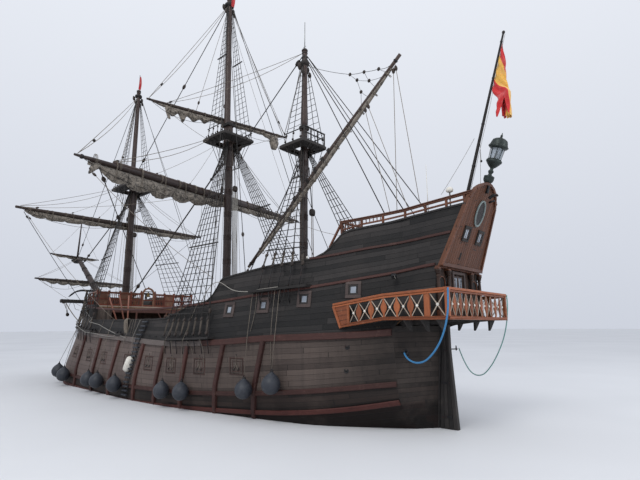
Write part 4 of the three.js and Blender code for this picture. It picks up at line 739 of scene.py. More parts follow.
def hull_point(side, X, z, out=0.0):
    """A point on the skin. X up to 15.5 is a station; beyond that it runs round the bow to the stem at 16.5."""
    stem = line(STEM_ROWS, z)
    squeeze = min(1.0, (stem - 0.4 - 10) / 5.5)
    place = lambda q: 10 + (q - 10) * squeeze if q > 10 else q
    if X <= 15.5:
        y = max(hull_y(X, z), POST_HALF)
        dx = (hull_y(X + 0.15, z) - hull_y(X - 0.15, z)) / 0.3
        k = 1 / math.sqrt(1 + dx * dx)
        return (place(X) - dx * k * out, side * (y + out * k), z)
    u = X - 15.5
    h = max(hull_y(15.5, z), POST_HALF)
    x0 = place(15.5)
    x = lerp(x0, stem, u)
    y = h + (POST_HALF - h) * u**1.7
    return (x + out * 0.7, side * (y + out * 0.7), z)


# Strakes are counted from the main wale: 0 there, upward positive. Between the wales the planks run with them.
def strake_z(x, t):
    w3, w2, w1 = wale_z(x), curve(WALE_2, x), curve(WALE_1, x)
    if t >= 0:
        r4, r5 = line(RAIL_4, x), line(RAIL_5, x)
        if t <= 9:
            return lerp(w3, r4, t / 9)
        if t <= 15:
            return lerp(r4, r5, (t - 9) / 6)
        return r5 + (t - 15) * 0.25
    if t >= -10:
        return lerp(w3, w2, -t / 10)
    if t >= -14:
        return lerp(w2, w1, (-t - 10) / 4)
    return lerp(w1, KEEL_BOTTOM, (-t - 14) / 14)


def strake_of(x, z):
    w3, w2, w1 = wale_z(x), curve(WALE_2, x), curve(WALE_1, x)
    if z >= w3:
        r4, r5 = line(RAIL_4, x), line(RAIL_5, x)
        if z <= r4:
            return 9 * (z - w3) / (r4 - w3)
        if z <= r5:
            return 9 + 6 * (z - r4) / (r5 - r4)
        return 15 + (z - r5) / 0.25
    if z >= w2:
        return -10 * (w3 - z) / (w3 - w2)
    if z >= w1:
        return -10 - 4 * (w2 - z) / (w2 - w1)
    return -14 - 14 * (w1 - z) / (w1 - KEEL_BOTTOM)


def plank_rows(t0, t1):
    """Strake numbers of the mesh's rows: each plank is flat with a fine groove at its edges; second value is how far in the row lies."""
    rows = []
    t = t0
    while t < t1 - 1e-6:
        rows += [(t, 1.0), (t + 0.07, 0.0), (t + 0.93, 0.0)]
        t += 1
    rows.append((t1, 1.0))
    return rows


GROOVE = 0.006


def hull_side(kit, side):
    xs = []
    x = -18.7
    while x < 15.45:
        xs.append(x)
        x += 0.34 if x < 9 else 0.22
    xs.append(15.5)
    xs += [15.5 + u for u in (0.12, 0.25, 0.38, 0.5, 0.62, 0.74, 0.86, 0.94, 1.0)]
    rows = plank_rows(-28, 0)[:-1] + [(0.5, 0.0)]
    rings = []
    for t, g in rows:
        ring = []
        for X in xs:
            xx = min(X, 15.5)
            z = strake_z(xx, t) if X < 15.3 or t < 0.4 else deck_z(xx)
            ring.append(hull_point(side, X, z, -GROOVE * g))
        rings.append(ring)
    U = [t for t, g in rows]
    # here u runs along the ship and v counts the strakes, so the two swap places when the uv is written
    base = len(kit.v)
    mi = kit.mat(M_HULL)
    n = len(xs)
    for r in rings:
        kit.v.extend(r)
    for a in range(len(rings) - 1):
        for i in range(n - 1):
            q = (base + a * n + i, base + a * n + i + 1, base + (a + 1) * n + i + 1, base + (a + 1) * n + i)
            uv = ((xs[i], U[a]), (xs[i + 1], U[a]), (xs[i + 1], U[a + 1]), (xs[i], U[a + 1]))
            if side == STARBOARD:
                q, uv = q[::-1], uv[::-1]
            kit.f.append(q[::-1])
            kit.uv.append(uv[::-1])
            kit.mi.append(mi)
            kit.sm.append(False)


def cut_ports(ob, side):
    """Opens the gunports in the skin and gives each a recess with a back wall."""
    bm = bmesh.new()
    bm.from_mesh(ob.data)
    for x, z in PORTS:
        at, fore, out, up = port_frame(side, x, z)
        centre = at * S
        hw, hh = PORT_WIDE / 2 * S, PORT_HIGH / 2 * S
        near = [f for f in bm.faces if (f.calc_center_median() - centre).length < 1.1 * S]
        for plane, half in ((fore, hw), (fore * -1, hw), (up, hh), (up * -1, hh)):
            geo = set(near)
            for f in near:
                geo.update(f.edges)
                geo.update(f.verts)
            bmesh.ops.bisect_plane(bm, geom=list(geo), dist=1e-6, plane_co=centre + plane * half, plane_no=plane)
            near = [f for f in bm.faces if (f.calc_center_median() - centre).length < 1.2 * S]
        inside = [f for f in near if abs((f.calc_center_median() - centre).dot(fore)) < hw and abs((f.calc_center_median() - centre).dot(up)) < hh]
        bmesh.ops.delete(bm, geom=inside, context="FACES")
        rim = [e for e in bm.edges if e.is_boundary and all(abs((v.co - centre).dot(fore)) < hw + 1e-4 and abs((v.co - centre).dot(up)) < hh + 1e-4 and (v.co - centre).length < 0.8 * S for v in e.verts)]
        ex = bmesh.ops.extrude_edge_only(bm, edges=rim)
        for v in (g for g in ex["geom"] if isinstance(g, bmesh.types.BMVert)):
            v.co -= out * (0.16 * S)
        back = [e for e in ex["geom"] if isinstance(e, bmesh.types.BMEdge) and e.is_boundary]
        bmesh.ops.contextual_create(bm, geom=back)
    bm.normal_update()
    bm.to_mesh(ob.data)
    bm.free()


def port_frame(side, x, z):
    y = hull_y(x, z)
    dx = (hull_y(x + 0.3, z) - hull_y(x - 0.3, z)) / 0.6
    dz = (hull_y(x, z + 0.3) - hull_y(x, z - 0.3)) / 0.6
    fore = Vector((1, side * dx, 0)).normalized()
    out = Vector((-dx, side, -dz)).normalized()
    out = (out - fore * out.dot(fore)).normalized()
    up = out.cross(fore)
    if up.z < 0:
        up.negate()
    return Vector((x, side * y, z)), fore, out, up


def moulding(kit, side, heights, x0, x1, high, proud, mat, half=hull_y, steps=None, sink=0.05):
    """A rail or wale along the side, with its edges taken off: heights as [x, z]."""
    n = steps or max(8, int((x1 - x0) / 0.4))
    rings = []
    for i in range(n + 1):
        x = lerp(x0, x1, i / n)
        z = curve(heights, x) if isinstance(heights, list) else heights(x)
        c = min(0.03, proud * 0.35, high * 0.2)
        dx = (half(x + 0.15, z) - half(x - 0.15, z)) / 0.3
        k = 1 / math.sqrt(1 + dx * dx)
        y = lambda zz: half(x, zz)
        sec = [(-sink, -high / 2), (proud - c, -high / 2), (proud, -high / 2 + c), (proud, high / 2 - c), (proud - c, high / 2), (-sink, high / 2)]
        rings.append([(x - dx * k * o, side * (y(z + h) + o * k), z + h) for o, h in sec])
    kit.grid(rings, mat, smooth_=False)


hull = Kit("hull_planking")
for s_ in (PORT, STARBOARD):
    hull_side(hull, s_)
# the flat tuck of the stern: from the quarter in to the sternpost
for s_ in (PORT, STARBOARD):
    rows = plank_rows(-28, 1)
    rings = []
    for t, g in rows:
        z = min(strake_z(-18.7, t), deck_z(-18.7))
        q = hull_point(s_, -18.7, z, -GROOVE * g)
        post = (line(POST_ROWS, z), s_ * POST_HALF, z)
        ring = [tuple(lerp(q[k], post[k], i / 5) + (GROOVE * g if k == 0 else 0) for k in range(3)) for i in range(6)]
        rings.append(ring)
    base, mi, n = len(hull.v), hull.mat(M_HULL), 6
    for r in rings:
        hull.v.extend(r)
    for a in range(len(rings) - 1):
        for i in range(n - 1):
            q = [base + a * n + i, base + a * n + i + 1, base + (a + 1) * n + i + 1, base + (a + 1) * n + i]
            uv = [(40 + i * 0.5, rows[a][0]), (40.5 + i * 0.5, rows[a][0]), (40.5 + i * 0.5, rows[a + 1][0]), (40 + i * 0.5, rows[a + 1][0])]
            if s_ == STARBOARD:
                q, uv = q[::-1], uv[::-1]
            hull.f.append(tuple(q))
            hull.uv.append(tuple(uv))
            hull.mi.append(mi)
            hull.sm.append(False)
# sternpost, stem and keel
post_pts = [(line(POST_ROWS, z), z) for z in (-3.35, -2.4, -1.4, 0, 0.75, 1.5, 3.0, 4.35)]
rings = [[(x + 0.08, -POST_HALF, z), (x - 0.02, -POST_HALF, z), (x - 0.05, -0.1, z), (x - 0.05, 0.1, z), (x - 0.02, POST_HALF, z), (x + 0.08, POST_HALF, z)] for x, z in post_pts]
hull.grid(rings, M_TAR, smooth_=False)
stem_pts = [(line(STEM_ROWS, z), z) for z in (-3.35, -3.0, -2.4, -1.9, -1.4, -0.7, 0, 0.75, 1.5, 2.5, 3.5, 4.4, 4.9)]
rings = [[(x - 0.1, -POST_HALF, z), (x - 0.1, POST_HALF, z), (x + 0.04, POST_HALF * 0.9, z), (x + 0.12, 0.09, z), (x + 0.12, -0.09, z), (x + 0.04, -POST_HALF * 0.9, z)] for x, z in stem_pts]
hull.grid(rings, M_TAR, smooth_=False)
hull.beam((-19.0, 0, KEEL_BOTTOM + 0.16), (14.3, 0, KEEL_BOTTOM + 0.16), 2 * POST_HALF, 0.31, M_TAR)


def deck_planks(kit, heights, half, x0, x1, mat, plank=0.2, skip=None, thick=0.0):
    """Planks fore and aft: heights(x) of the top, half(x) the half breadth."""
    xs = [lerp(x0, x1, i / max(2, int((x1 - x0) / 0.5))) for i in range(max(2, int((x1 - x0) / 0.5)) + 1)]
    widest = max(half(x) for x in xs)
    n = int(widest / plank) + 1
    base, mi = len(kit.v), kit.mat(mat)
    cols = []
    for k in range(-n, n):
        for t, g in ((0, 1), (0.06, 0), (0.94, 0)):
            cols.append((k + t, g))
    cols.append((n, 1))
    m = len(cols)
    for x in xs:
        h = half(x)
        z = heights(x)
        for t, g in cols:
            kit.v.append((x, clamp(t * plank, -h, h), z - 0.008 * g))
    for a in range(len(xs) - 1):
        for i in range(m - 1):
            y0, y1 = cols[i][0] * plank, cols[i + 1][0] * plank
            if min(abs(y0), abs(y1)) > max(half(xs[a]), half(xs[a + 1])):
                continue
            kit.f.append((base + a * m + i, base + (a + 1) * m + i, base + (a + 1) * m + i + 1, base + a * m + i + 1))
            kit.uv.append(((xs[a], cols[i][0] + 60), (xs[a + 1], cols[i][0] + 60), (xs[a + 1], cols[i + 1][0] + 60), (xs[a], cols[i + 1][0] + 60)))
            kit.mi.append(mi)
            kit.sm.append(False)


deck_planks(hull, deck_z, lambda x: max(min(hull_y(x, deck_z(x)), 9), 0.1) - 0.02, -18.68, 15.45, M_DECK)
# closing the top ahead of the last station
ring = [hull_point(PORT, 15.5 + u, deck_z(15.5) - 0.01) for u in (0, 0.25, 0.5, 0.74, 1.0)]
hull.prism([*ring, *[(x, -y, z) for x, y, z in ring[::-1]]], (0, 0, 0.01), M_DECK)
# main hatch with its coaming and grating
HX0, HX1, HH, HZ = 0.2, 3.2, 1.1, wale_z(1.6) + DECK_ABOVE_WALE
for s_ in (PORT, STARBOARD):
    hull.beam((HX0, s_ * (HH - 0.06), HZ + 0.15), (HX1, s_ * (HH - 0.06), HZ + 0.15), 0.12, 0.4, M_VARNISH_RED)
for x in (HX0 + 0.06, HX1 - 0.06):
    hull.beam((x, -HH + 0.12, HZ + 0.15), (x, HH - 0.12, HZ + 0.15), 0.12, 0.4, M_VARNISH_RED)
# painted shade: a dark board under the grating stands in for the unlit hold below
hull.prism([(HX0 + 0.1, -HH + 0.1, HZ + 0.2), (HX1 - 0.1, -HH + 0.1, HZ + 0.2), (HX1 - 0.1, HH - 0.1, HZ + 0.2), (HX0 + 0.1, HH - 0.1, HZ + 0.2)], (0, 0, 0.02), M_DARK)
for i in range(14):
    x = lerp(HX0 + 0.2, HX1 - 0.2, i / 13)
    hull.beam((x, -HH + 0.12, HZ + 0.3), (x, HH - 0.12, HZ + 0.3), 0.08, 0.06, M_OAK)
for i in range(10):
    y = lerp(-HH + 0.2, HH - 0.2, i / 9)
    hull.beam((HX0 + 0.12, y, HZ + 0.33), (HX1 - 0.12, y, HZ + 0.33), 0.07, 0.03, M_OAK)
hull_ob = hull.make("root", "tarred_wood", ["hull"])
cut_ports(hull_ob, PORT)
cut_ports(hull_ob, STARBOARD)

# wales, rails and riders
wales = Kit("wales_and_riders")
for s_ in (PORT, STARBOARD):
    moulding(wales, s_, WALE_Z, -18.66, -8.4, 0.3, 0.11, M_RED)
    moulding(wales, s_, WALE_Z, -8.4, 15.4, 0.3, 0.11, M_WALE_GREY)
    moulding(wales, s_, WALE_2, -18.66, 15.4, 0.22, 0.09, M_RED)
    moulding(wales, s_, WALE_1, -18.66, 15.4, 0.22, 0.09, M_RED_DARK)
    for heights, hz, pr, m in ((WALE_Z, 0.3, 0.11, M_WALE_GREY), (WALE_2, 0.22, 0.09, M_RED), (WALE_1, 0.22, 0.09, M_RED_DARK)):
        z = curve(heights, 15.5)
        rings = []
        for u in (-0.12, 0, 0.15, 0.3, 0.45, 0.6, 0.75, 0.9, 0.985):
            X = 15.5 + u
            rings.append([hull_point(s_, X, z - hz / 2, -0.04), hull_point(s_, X, z - hz / 2, pr), hull_point(s_, X, z + hz / 2, pr), hull_point(s_, X, z + hz / 2, -0.04)])
        wales.grid(rings, m, smooth_=False)
    for xt, xf, zf in RIDERS:
        rings = []
        for i in range(9):
            t = i / 8
            x, z = lerp(xf, xt, t), lerp(zf - 0.35, wale_z(xt) - 0.12, t)
            y = hull_y(x, z)
            c = 0.035
            sec = [(-0.13, -0.06), (-0.13, 0.14 - c), (-0.13 + c, 0.14), (0.13 - c, 0.14), (0.13, 0.14 - c), (0.13, -0.06)]
            rings.append([(x + a, s_ * (y + b), z) for a, b in sec])
        wales.grid(rings, M_RED, smooth_=False)
wales_ob = wales.make("root", "tarred_wood")

# =====================================================================================
# The two slack warps at the stern, each from its hole in the quarter up to the gallery's rail
# =====================================================================================
WARP_PORT = [[-19.2, 2.5, 3.25], [-19.35, 2.66, 3.15], [-19.6, 2.78, 3.0], [-19.95, 2.86, 2.92], [-20.35, 2.92, 3.0], [-20.75, 2.98, 3.3], [-21.1, 3.02, 3.75], [-21.35, 3.04, 4.3], [-21.5, 3.05, 4.9], [-21.53, 3.02, 5.5], [-21.52, 2.98, 5.76]]
WARP_STARBOARD = [[-19.2, -2.5, 3.25], [-19.25, -2.62, 2.95], [-19.4, -2.72, 2.5], [-19.6, -2.8, 2.15], [-19.85, -2.86, 2.0], [-20.15, -2.92, 2.05], [-20.5, -2.97, 2.4], [-20.85, -3.0, 2.95], [-21.2, -3.02, 3.7], [-21.42, -3.03, 4.5], [-21.52, -3.02, 5.3], [-21.53, -2.98, 5.76]]


def centripetal(points, per=6):
    """A smooth curve through the points that doesn't overshoot where they are unevenly spaced."""
    P = [Vector(p) for p in points]
    P = [P[0] * 2 - P[1], *P, P[-1] * 2 - P[-2]]
    out = []
    for i in range(1, len(P) - 2):
        p0, p1, p2, p3 = P[i - 1 : i + 3]
        a, b, c = ((q - p).length ** 0.5 for p, q in ((p0, p1), (p1, p2), (p2, p3)))
        m1 = (p2 - p1) + ((p1 - p0) / a - (p2 - p0) / (a + b)) * b
        m2 = (p2 - p1) + ((p3 - p2) / c - (p3 - p1) / (b + c)) * b
        for k in range(per):
            t = k / per
            out.append(p1 * (2 * t**3 - 3 * t * t + 1) + m1 * (t**3 - 2 * t * t + t) + p2 * (3 * t * t - 2 * t**3) + m2 * (t**3 - t * t))
    out.append(P[-2])
    return [tuple(p) for p in out]


for name_, pts_, r_, mat_, slot_ in (("warp_port", WARP_PORT, 0.036, M_BLUE_ROPE, "blue_rope"), ("warp_starboard", WARP_STARBOARD, 0.026, M_GREEN_ROPE, "green_rope")):
    kit = Kit(name_)
    way = centripetal(pts_)
    kit.tube(way, r_, mat_, 10)
    ob = kit.make("root", slot_, ["slack_" + name_])
    length_ = sum(math.dist(a, b) for a, b in zip(way, way[1:])) * S

# =====================================================================================
# Topsides: planked walls, rails along them, windows, decks
# =====================================================================================
def rail_z(x):
    return line(RAIL_Z, x)


def wall_columns():
    xs = [x for x, z in RAIL_Z if -18.6 < x <= 15.3]
    x = -18.7
    while x < 15.3:
        if all(abs(x - q) > 0.12 for q in xs):
            xs.append(x)
        x += 0.4
    return sorted(xs)


def wall_end(z):
    return panel_fore(z) + 0.003 if z > 6.77 else STERN_WALL_X


def wall_grid(kit, side, inward, mat, grooved=True):
    """The wall's outer or inner face, plank by plank, with the after edge leaning along the transom."""
    cols = [("x", x) for x in wall_columns()]
    aft = [("q", q) for q in (1.0, 0.8, 0.6, 0.4, 0.2)]
    rows = plank_rows(0, 24)
    rows[0] = (0.42, 1.0)
    pts, uv = [], []
    for t, g in rows:
        ring, cord = [], []
        for kind, q in aft + cols:
            if kind == "x":
                x, z = q, strake_z(q, t)
                low = deck_z(x) + 0.003 if inward else wale_z(x) + 0.1
            else:
                x = -20.5
                for _ in range(4):
                    z = strake_z(max(x, -22.2), t)
                    z = clamp(z, GALLERY_TOP + 0.003, rail_z(x))
                    x = lerp(TUCK_X - 0.01, wall_end(z), q)
                low = GALLERY_TOP + 0.003
            top = rail_z(x)
            zz = clamp(z, low, top)
            in_ = GROOVE * g if grooved and zz < top - 0.01 else 0
            ring.append((x, side * (top_y(x, zz) - inward - in_), zz))
            cord.append((x, t))
        pts.append(ring)
        uv.append(cord)
    base, mi, n = len(kit.v), kit.mat(mat), len(pts[0])
    for r in pts:
        kit.v.extend(r)
    for a in range(len(pts) - 1):
        for i in range(n - 1):
            z00, z01, z10, z11 = pts[a][i][2], pts[a][i + 1][2], pts[a + 1][i][2], pts[a + 1][i + 1][2]
            if z10 - z00 < 1e-5 and z11 - z01 < 1e-5:
                continue
            q = (base + a * n + i, base + a * n + i + 1, base + (a + 1) * n + i + 1, base + (a + 1) * n + i)
            c = (uv[a][i], uv[a][i + 1], uv[a + 1][i + 1], uv[a + 1][i])
            kit.f.append(q)
            kit.uv.append(c)
            kit.mi.append(mi)
            kit.sm.append(False)


def side_kit(side):
    word = "port" if side > 0 else "starboard"
    kit = Kit("topside_planks_" + word)
    wall_grid(kit, side, 0, M_TOP)
    wall_grid(kit, side, WALL, M_INNER, False)
    # cap along the top edge
    xs = [x for x in wall_columns() if x > -18.6]
    xs = [-21.72, -21.4, -20.6, -19.9, -19.3] + xs
    rings = []
    for x in xs:
        z = rail_z(x)
        yo, yi = top_y(x, z) + 0.045, top_y(x, z) - WALL - 0.045
        rings.append([(x, side * yo, z - 0.035), (x, side * yo, z + 0.035), (x, side * (yo - 0.02), z + 0.055), (x, side * (yi + 0.02), z + 0.055), (x, side * yi, z + 0.035), (x, side * yi, z - 0.035)])
    kit.grid(rings, M_TAR, smooth_=False)
    # after edge: boards that close the wall between its two faces
    for z0, z1 in ((4.705, 6.77), (6.77, 9.72)):
        rings = []
        for i in range(7):
            z = lerp(z0, z1, i / 6)
            x = wall_end(z + 1e-4) if i else wall_end(z0 + 2e-4)
            y = top_y(x, z)
            rings.append([(x, side * y, z), (x - 0.004, side * y, z), (x - 0.004, side * (y - WALL), z), (x, side * (y - WALL), z)])
        kit.grid(rings, M_TOP, smooth_=False)
    # fore edge by the forecastle's break and the foot
    for x0, z0, z1 in ((7.35, 4.9, 6.05),):
        y = top_y(x0, z0)
        kit.prism([(x0 - 0.02, side * y, z0 - 0.1), (x0 - 0.02, side * top_y(x0, z1), z1), (x0 - 0.02, side * (top_y(x0, z1) - WALL), z1), (x0 - 0.02, side * (y - WALL), z0 - 0.1)], (0.03, 0, 0), M_TOP)
    x = 15.3
    kit.prism([(x, side * top_y(x, 4.6), 4.6), (x, side * top_y(x, 7.25), 7.25), (x, side * (top_y(x, 7.25) - WALL), 7.25), (x, side * (top_y(x, 4.6) - WALL), 4.6)], (-0.02, 0, 0), M_TOP)
    for x0, x1, hs, hw, pr, m in ((-20.5, 15.25, RAIL_4, 0.13, 0.07, M_RED), (-21.15, -14.6, RAIL_5, 0.12, 0.06, M_RED)):
        moulding(kit, side, hs, x0, x1, hw, pr, m, top_y, 90)
    # windows: pale pinkish frames with a small pane set back in a dark inner frame
    for x, z in ((-10.06, 5.2), (-12.35, 5.37), (-14.62, 5.59), (-16.89, 5.94)):
        y = top_y(x, z)
        dx = (top_y(x + 0.3, z) - top_y(x - 0.3, z)) / 0.6
        fore = Vector((1, side * dx, 0)).normalized()
        out = Vector((-dx, side, TUMBLEHOME)).normalized()
        out = (out - fore * out.dot(fore)).normalized()
        up = Vector((0, 0, 1))
        up = (up - out * up.dot(out)).normalized()
        c = Vector((x, side * y, z))
        P = lambda a, b, d: tuple(c + fore * a + up * b + out * d)
        for w, h, t_, d0, d1, m in ((0.37, 0.39, 0.15, -0.03, 0.05, M_WINDOW), (0.22, 0.24, 0.09, -0.04, 0.03, M_TAR)):
            for a0, b0, a1, b1 in ((-w, h - t_ / 2, w, h - t_ / 2), (-w, -h + t_ / 2, w, -h + t_ / 2), (-w + t_ / 2, -h + t_, -w + t_ / 2, h - t_), (w - t_ / 2, -h + t_, w - t_ / 2, h - t_)):
                kit.beam(P(a0, b0, (d0 + d1) / 2), P(a1, b1, (d0 + d1) / 2), t_, d1 - d0, m, up=tuple(out))
        kit.prism([P(-0.13, -0.15, 0.006), P(0.13, -0.15, 0.006), P(0.13, 0.15, 0.006), P(-0.13, 0.15, 0.006)], tuple(out * 0.004), M_GLASS)
    # mizzen channel
    n = 10
    rings = []
    for i in range(n + 1):
        x = lerp(-14.9, -11.6, i / n)
        z = line([[-15, 6.16], [-11.6, 5.98]], x)
        y = top_y(x, z)
        rings.append([(x, side * (y - 0.05), z), (x, side * (y + 0.4), z), (x, side * (y + 0.4), z + 0.11), (x, side * (y - 0.05), z + 0.11)])
    kit.grid(rings, M_TAR, smooth_=False)
    kit.make("root", "tarred_wood", ["topside_" + word])


M_WINDOW = timber("window_frame", srgb(52, 43, 41), srgb(90, 77, 73), 0.6, 1.2, 0.3, srgb(112, 98, 92), 0.35, 0.3)
side_kit(PORT)
side_kit(STARBOARD)

# main and fore channels, on top of the main wale
chan = Kit("channels")
for s_ in (PORT, STARBOARD):
    for x0, x1, wide in ((-9.3, -5.0, 0.42), (5.2, 10.9, 0.42)):
        rings = []
        for i in range(13):
            x = lerp(x0, x1, i / 12)
            z = wale_z(x) + 0.16
            y = hull_y(x, z)
            rings.append([(x, s_ * (y - 0.04), z + 0.02), (x, s_ * (y + wide - 0.03), z + 0.02), (x, s_ * (y + wide), z + 0.05), (x, s_ * (y + wide), z + 0.1), (x, s_ * (y + wide - 0.03), z + 0.13), (x, s_ * (y - 0.04), z + 0.13)])
        chan.grid(rings, M_TAR, smooth_=False)
chan.make("root", "tarred_wood")


# ---- decks between the walls
def inner_half(heights, slack=0.0):
    return lambda x: max(0.3, top_y(max(x, -22.0), heights(x)) - WALL + slack)


decks = Kit("upper_decks")
fc, qd, pp = (lambda x: line(FORECASTLE, x)), (lambda x: line(QUARTERDECK, x)), (lambda x: line(POOP, x))
for heights, x0, x1 in ((fc, 7.4, 15.1), (qd, -20.4, -8.72), (pp, -21.42, -15.85)):
    half = inner_half(heights, 0.01)
    deck_planks(decks, heights, half, x0, x1, M_DECK)
    # underside and edges
    xs = [lerp(x0, x1, i / 10) for i in range(11)]
    rings = [[(x, -half(x), heights(x) - 0.02), (x, half(x), heights(x) - 0.02), (x, half(x), heights(x) - 0.13), (x, -half(x), heights(x) - 0.13)] for x in xs]
    decks.grid(rings, M_INNER, smooth_=False)
    x = x0 + 0.4
    while x < x1 - 0.2:
        h = half(x)
        decks.beam((x, -h + 0.02, heights(x) - 0.2), (x, h - 0.02, heights(x) - 0.2), 0.14, 0.16, M_INNER)
        x += 0.9
decks.make("root", "deck_wood", ["poop"])


def boards(kit, x, t_, y0, y1, z0, z1, mat, plank=0.2, openings=(), lean=None):
    """An athwartship wall of upright boards at x, thickness t_ going forward, leaving out the openings (y0, y1, z0, z1)."""
    n = max(1, round((y1 - y0) / plank))
    for i in range(n):
        a, b = lerp(y0, y1, i / n), lerp(y0, y1, (i + 1) / n)
        spans = [(z0, z1)]
        for oy0, oy1, oz0, oz1 in openings:
            if min(b, oy1) - max(a, oy0) > (b - a) * 0.5:
                spans = [q for s0, s1 in spans for q in ((s0, min(s1, oz0)), (max(s0, oz1), s1)) if q[1] - q[0] > 0.02]
        for s0, s1 in spans:
            kit.beam((x + t_ / 2, (a + b) / 2, s0), (x + t_ / 2, (a + b) / 2, s1), b - a - 0.006, t_, mat, up=(1, 0, 0), chamfer=0.08)


bulk = Kit("bulkheads")
# forecastle's fore bulkhead and the beam at its after end
w = top_y(15.1, 6.0) - WALL
boards(bulk, 15.05, 0.1, -w, w, deck_z(15.1) + 0.03, 7.2, M_TOP)
bulk.beam((7.55, -3.75, 5.84), (7.55, 3.75, 5.84), 0.2, 0.22, M_RED_OCHRE)

# quarterdeck's break: boards with a doorway to port
w = top_y(-8.8, 5.2) - WALL
boards(bulk, -8.85, 0.08, -w, w, deck_z(-8.8) + 0.01, 6.0, M_PANEL, 0.22, [(1.15, 2.05, 0, deck_z(-8.8) + 1.8)])
for y in (1.15, 2.05):
    bulk.beam((-8.8, y, deck_z(-8.8)), (-8.8, y, deck_z(-8.8) + 1.85), 0.09, 0.16, M_OAK, up=(1, 0, 0))
bulk.beam((-8.8, 1.1, deck_z(-8.8) + 1.86), (-8.8, 2.1, deck_z(-8.8) + 1.86), 0.16, 0.1, M_OAK)
# poop's break with its doorway
w = top_y(-15.9, 7.5) - WALL
boards(bulk, -15.96, 0.08, -w, w, 6.43, 8.22, M_PANEL, 0.2, [(-0.43, 0.43, 0, 8.05)])
for y in (-0.45, 0.45):
    bulk.beam((-15.92, y, 6.42), (-15.92, y, 8.1), 0.08, 0.15, M_OAK, up=(1, 0, 0))
bulk.beam((-15.92, -0.52, 8.12), (-15.92, 0.52, 8.12), 0.15, 0.1, M_OAK)
# rail at the quarterdeck's break
for y in (-3.9, -2.6, -1.3, 0, 1.3, 2.6, 3.9):
    bulk.beam((-8.81, y, 6.0), (-8.81, y, 6.95), 0.1, 0.1, M_VARNISH_RED, up=(1, 0, 0))
bulk.beam((-8.81, -3.98, 6.95), (-8.81, 3.98, 6.95), 0.16, 0.09, M_VARNISH_RED)
bulk.beam((-8.81, -3.98, 6.53), (-8.81, 3.98, 6.53), 0.08, 0.07, M_VARNISH_RED)
y = -3.9
while y < 3.9:
    y += 0.1857
    if abs((y + 3.9) / 1.3 - round((y + 3.9) / 1.3)) > 0.05 and y < 3.85:
        bulk.lathe([(0.022, 0), (0.035, 0.08), (0.02, 0.2), (0.03, 0.32), (0.022, 0.42)], (-8.81, y, 6.08), M_VARNISH_RED, sides=6)
# stairs from the waist to the quarterdeck and on to the poop, a flight to starboard each
for xa, za, xb, zb, yc in ((-7.3, deck_z(-7.3), -8.68, 6.02, -2.0), (-14.5, 6.34, -15.8, 8.28, -1.6)):
    n = 7
    for side in (-0.4, 0.4):
        bulk.beam((xa, yc + side, za + 0.05), (xb, yc + side, zb - 0.05), 0.05, 0.24, M_OAK)
    for i in range(1, n):
        x, z = lerp(xa, xb, i / n), lerp(za, zb, i / n)
        bulk.beam((x, yc - 0.38, z), (x, yc + 0.38, z), 0.24, 0.035, M_OAK)
bulk.make("root", "panel_wood", ["quarterdeck", "forecastle"])

# =====================================================================================
# Stern: gallery, leaning transom, wall with its doors, rudder
# =====================================================================================
GAL_AFT, GAL_HALF = -21.48, 2.93
PANEL_THICK, DOOR_OPEN, DOOR_HIGH = 0.16, 0.94, 1.78


def gal_z(x):
    return line([[-21.5, GALLERY_TOP], [-18.7, GALLERY_TOP], [-16.3, 4.36]], x)


def gal_y(x):
    return line([[-21.48, 2.93], [-16.4, 3.45]], x)


def gal_top(x):
    return line([[-21.5, 5.74], [-18.7, 5.6], [-16.2, 5.27]], x)


def lens(kit, foot, head, out, half, mat, thick=0.05):
    """A flat baluster, narrow at its ends and widest at the middle."""
    A, B = Vector(foot), Vector(head)
    o = Vector(out).normalized()
    d = (B - A).normalized()
    s = d.cross(o).normalized()
    L = (B - A).length
    rows = [(0, 0.35), (0.06, 0.4), (0.12, 0.22), (0.2, 0.3), (0.36, 0.8), (0.5, 1), (0.64, 0.8), (0.8, 0.3), (0.88, 0.22), (0.94, 0.4), (1, 0.4)]
    rings = []
    for t, w in rows:
        c = A + d * (L * t)
        hw = half * w
        rings.append([tuple(c - s * hw - o * (thick / 2)), tuple(c + s * hw - o * (thick / 2)), tuple(c + s * hw + o * (thick * 0.25)), tuple(c + s * hw * 0.5 + o * (thick / 2)), tuple(c - s * hw * 0.5 + o * (thick / 2)), tuple(c - s * hw + o * (thick * 0.25))])
    kit.grid(rings, mat, smooth_=False)


def cross_bay(kit, p00, p10, p01, p11, out, bar, mat, boss=0.035):
    """Two thin bars corner to corner with a pale boss where they cross: p00 p10 the feet, p01 p11 the heads."""
    o = Vector(out).normalized()
    A, B, C, D = (Vector(p) for p in (p00, p11, p10, p01))
    kit.beam(tuple(A), tuple(B), bar, bar * 0.8, mat, up=tuple(o))
    kit.beam(tuple(C + o * (bar * 0.4)), tuple(D + o * (bar * 0.4)), bar, bar * 0.8, mat, up=tuple(o))
    mid = (A + B + C + D) / 4
    kit.lathe([(boss * 0.9, 0), (boss, 0.012), (boss * 0.75, 0.035), (0.005, 0.045)], tuple(mid + o * (bar * 0.4)), M_WHITE, axis=tuple(o), sides=10)


gal = Kit("stern_gallery_work")
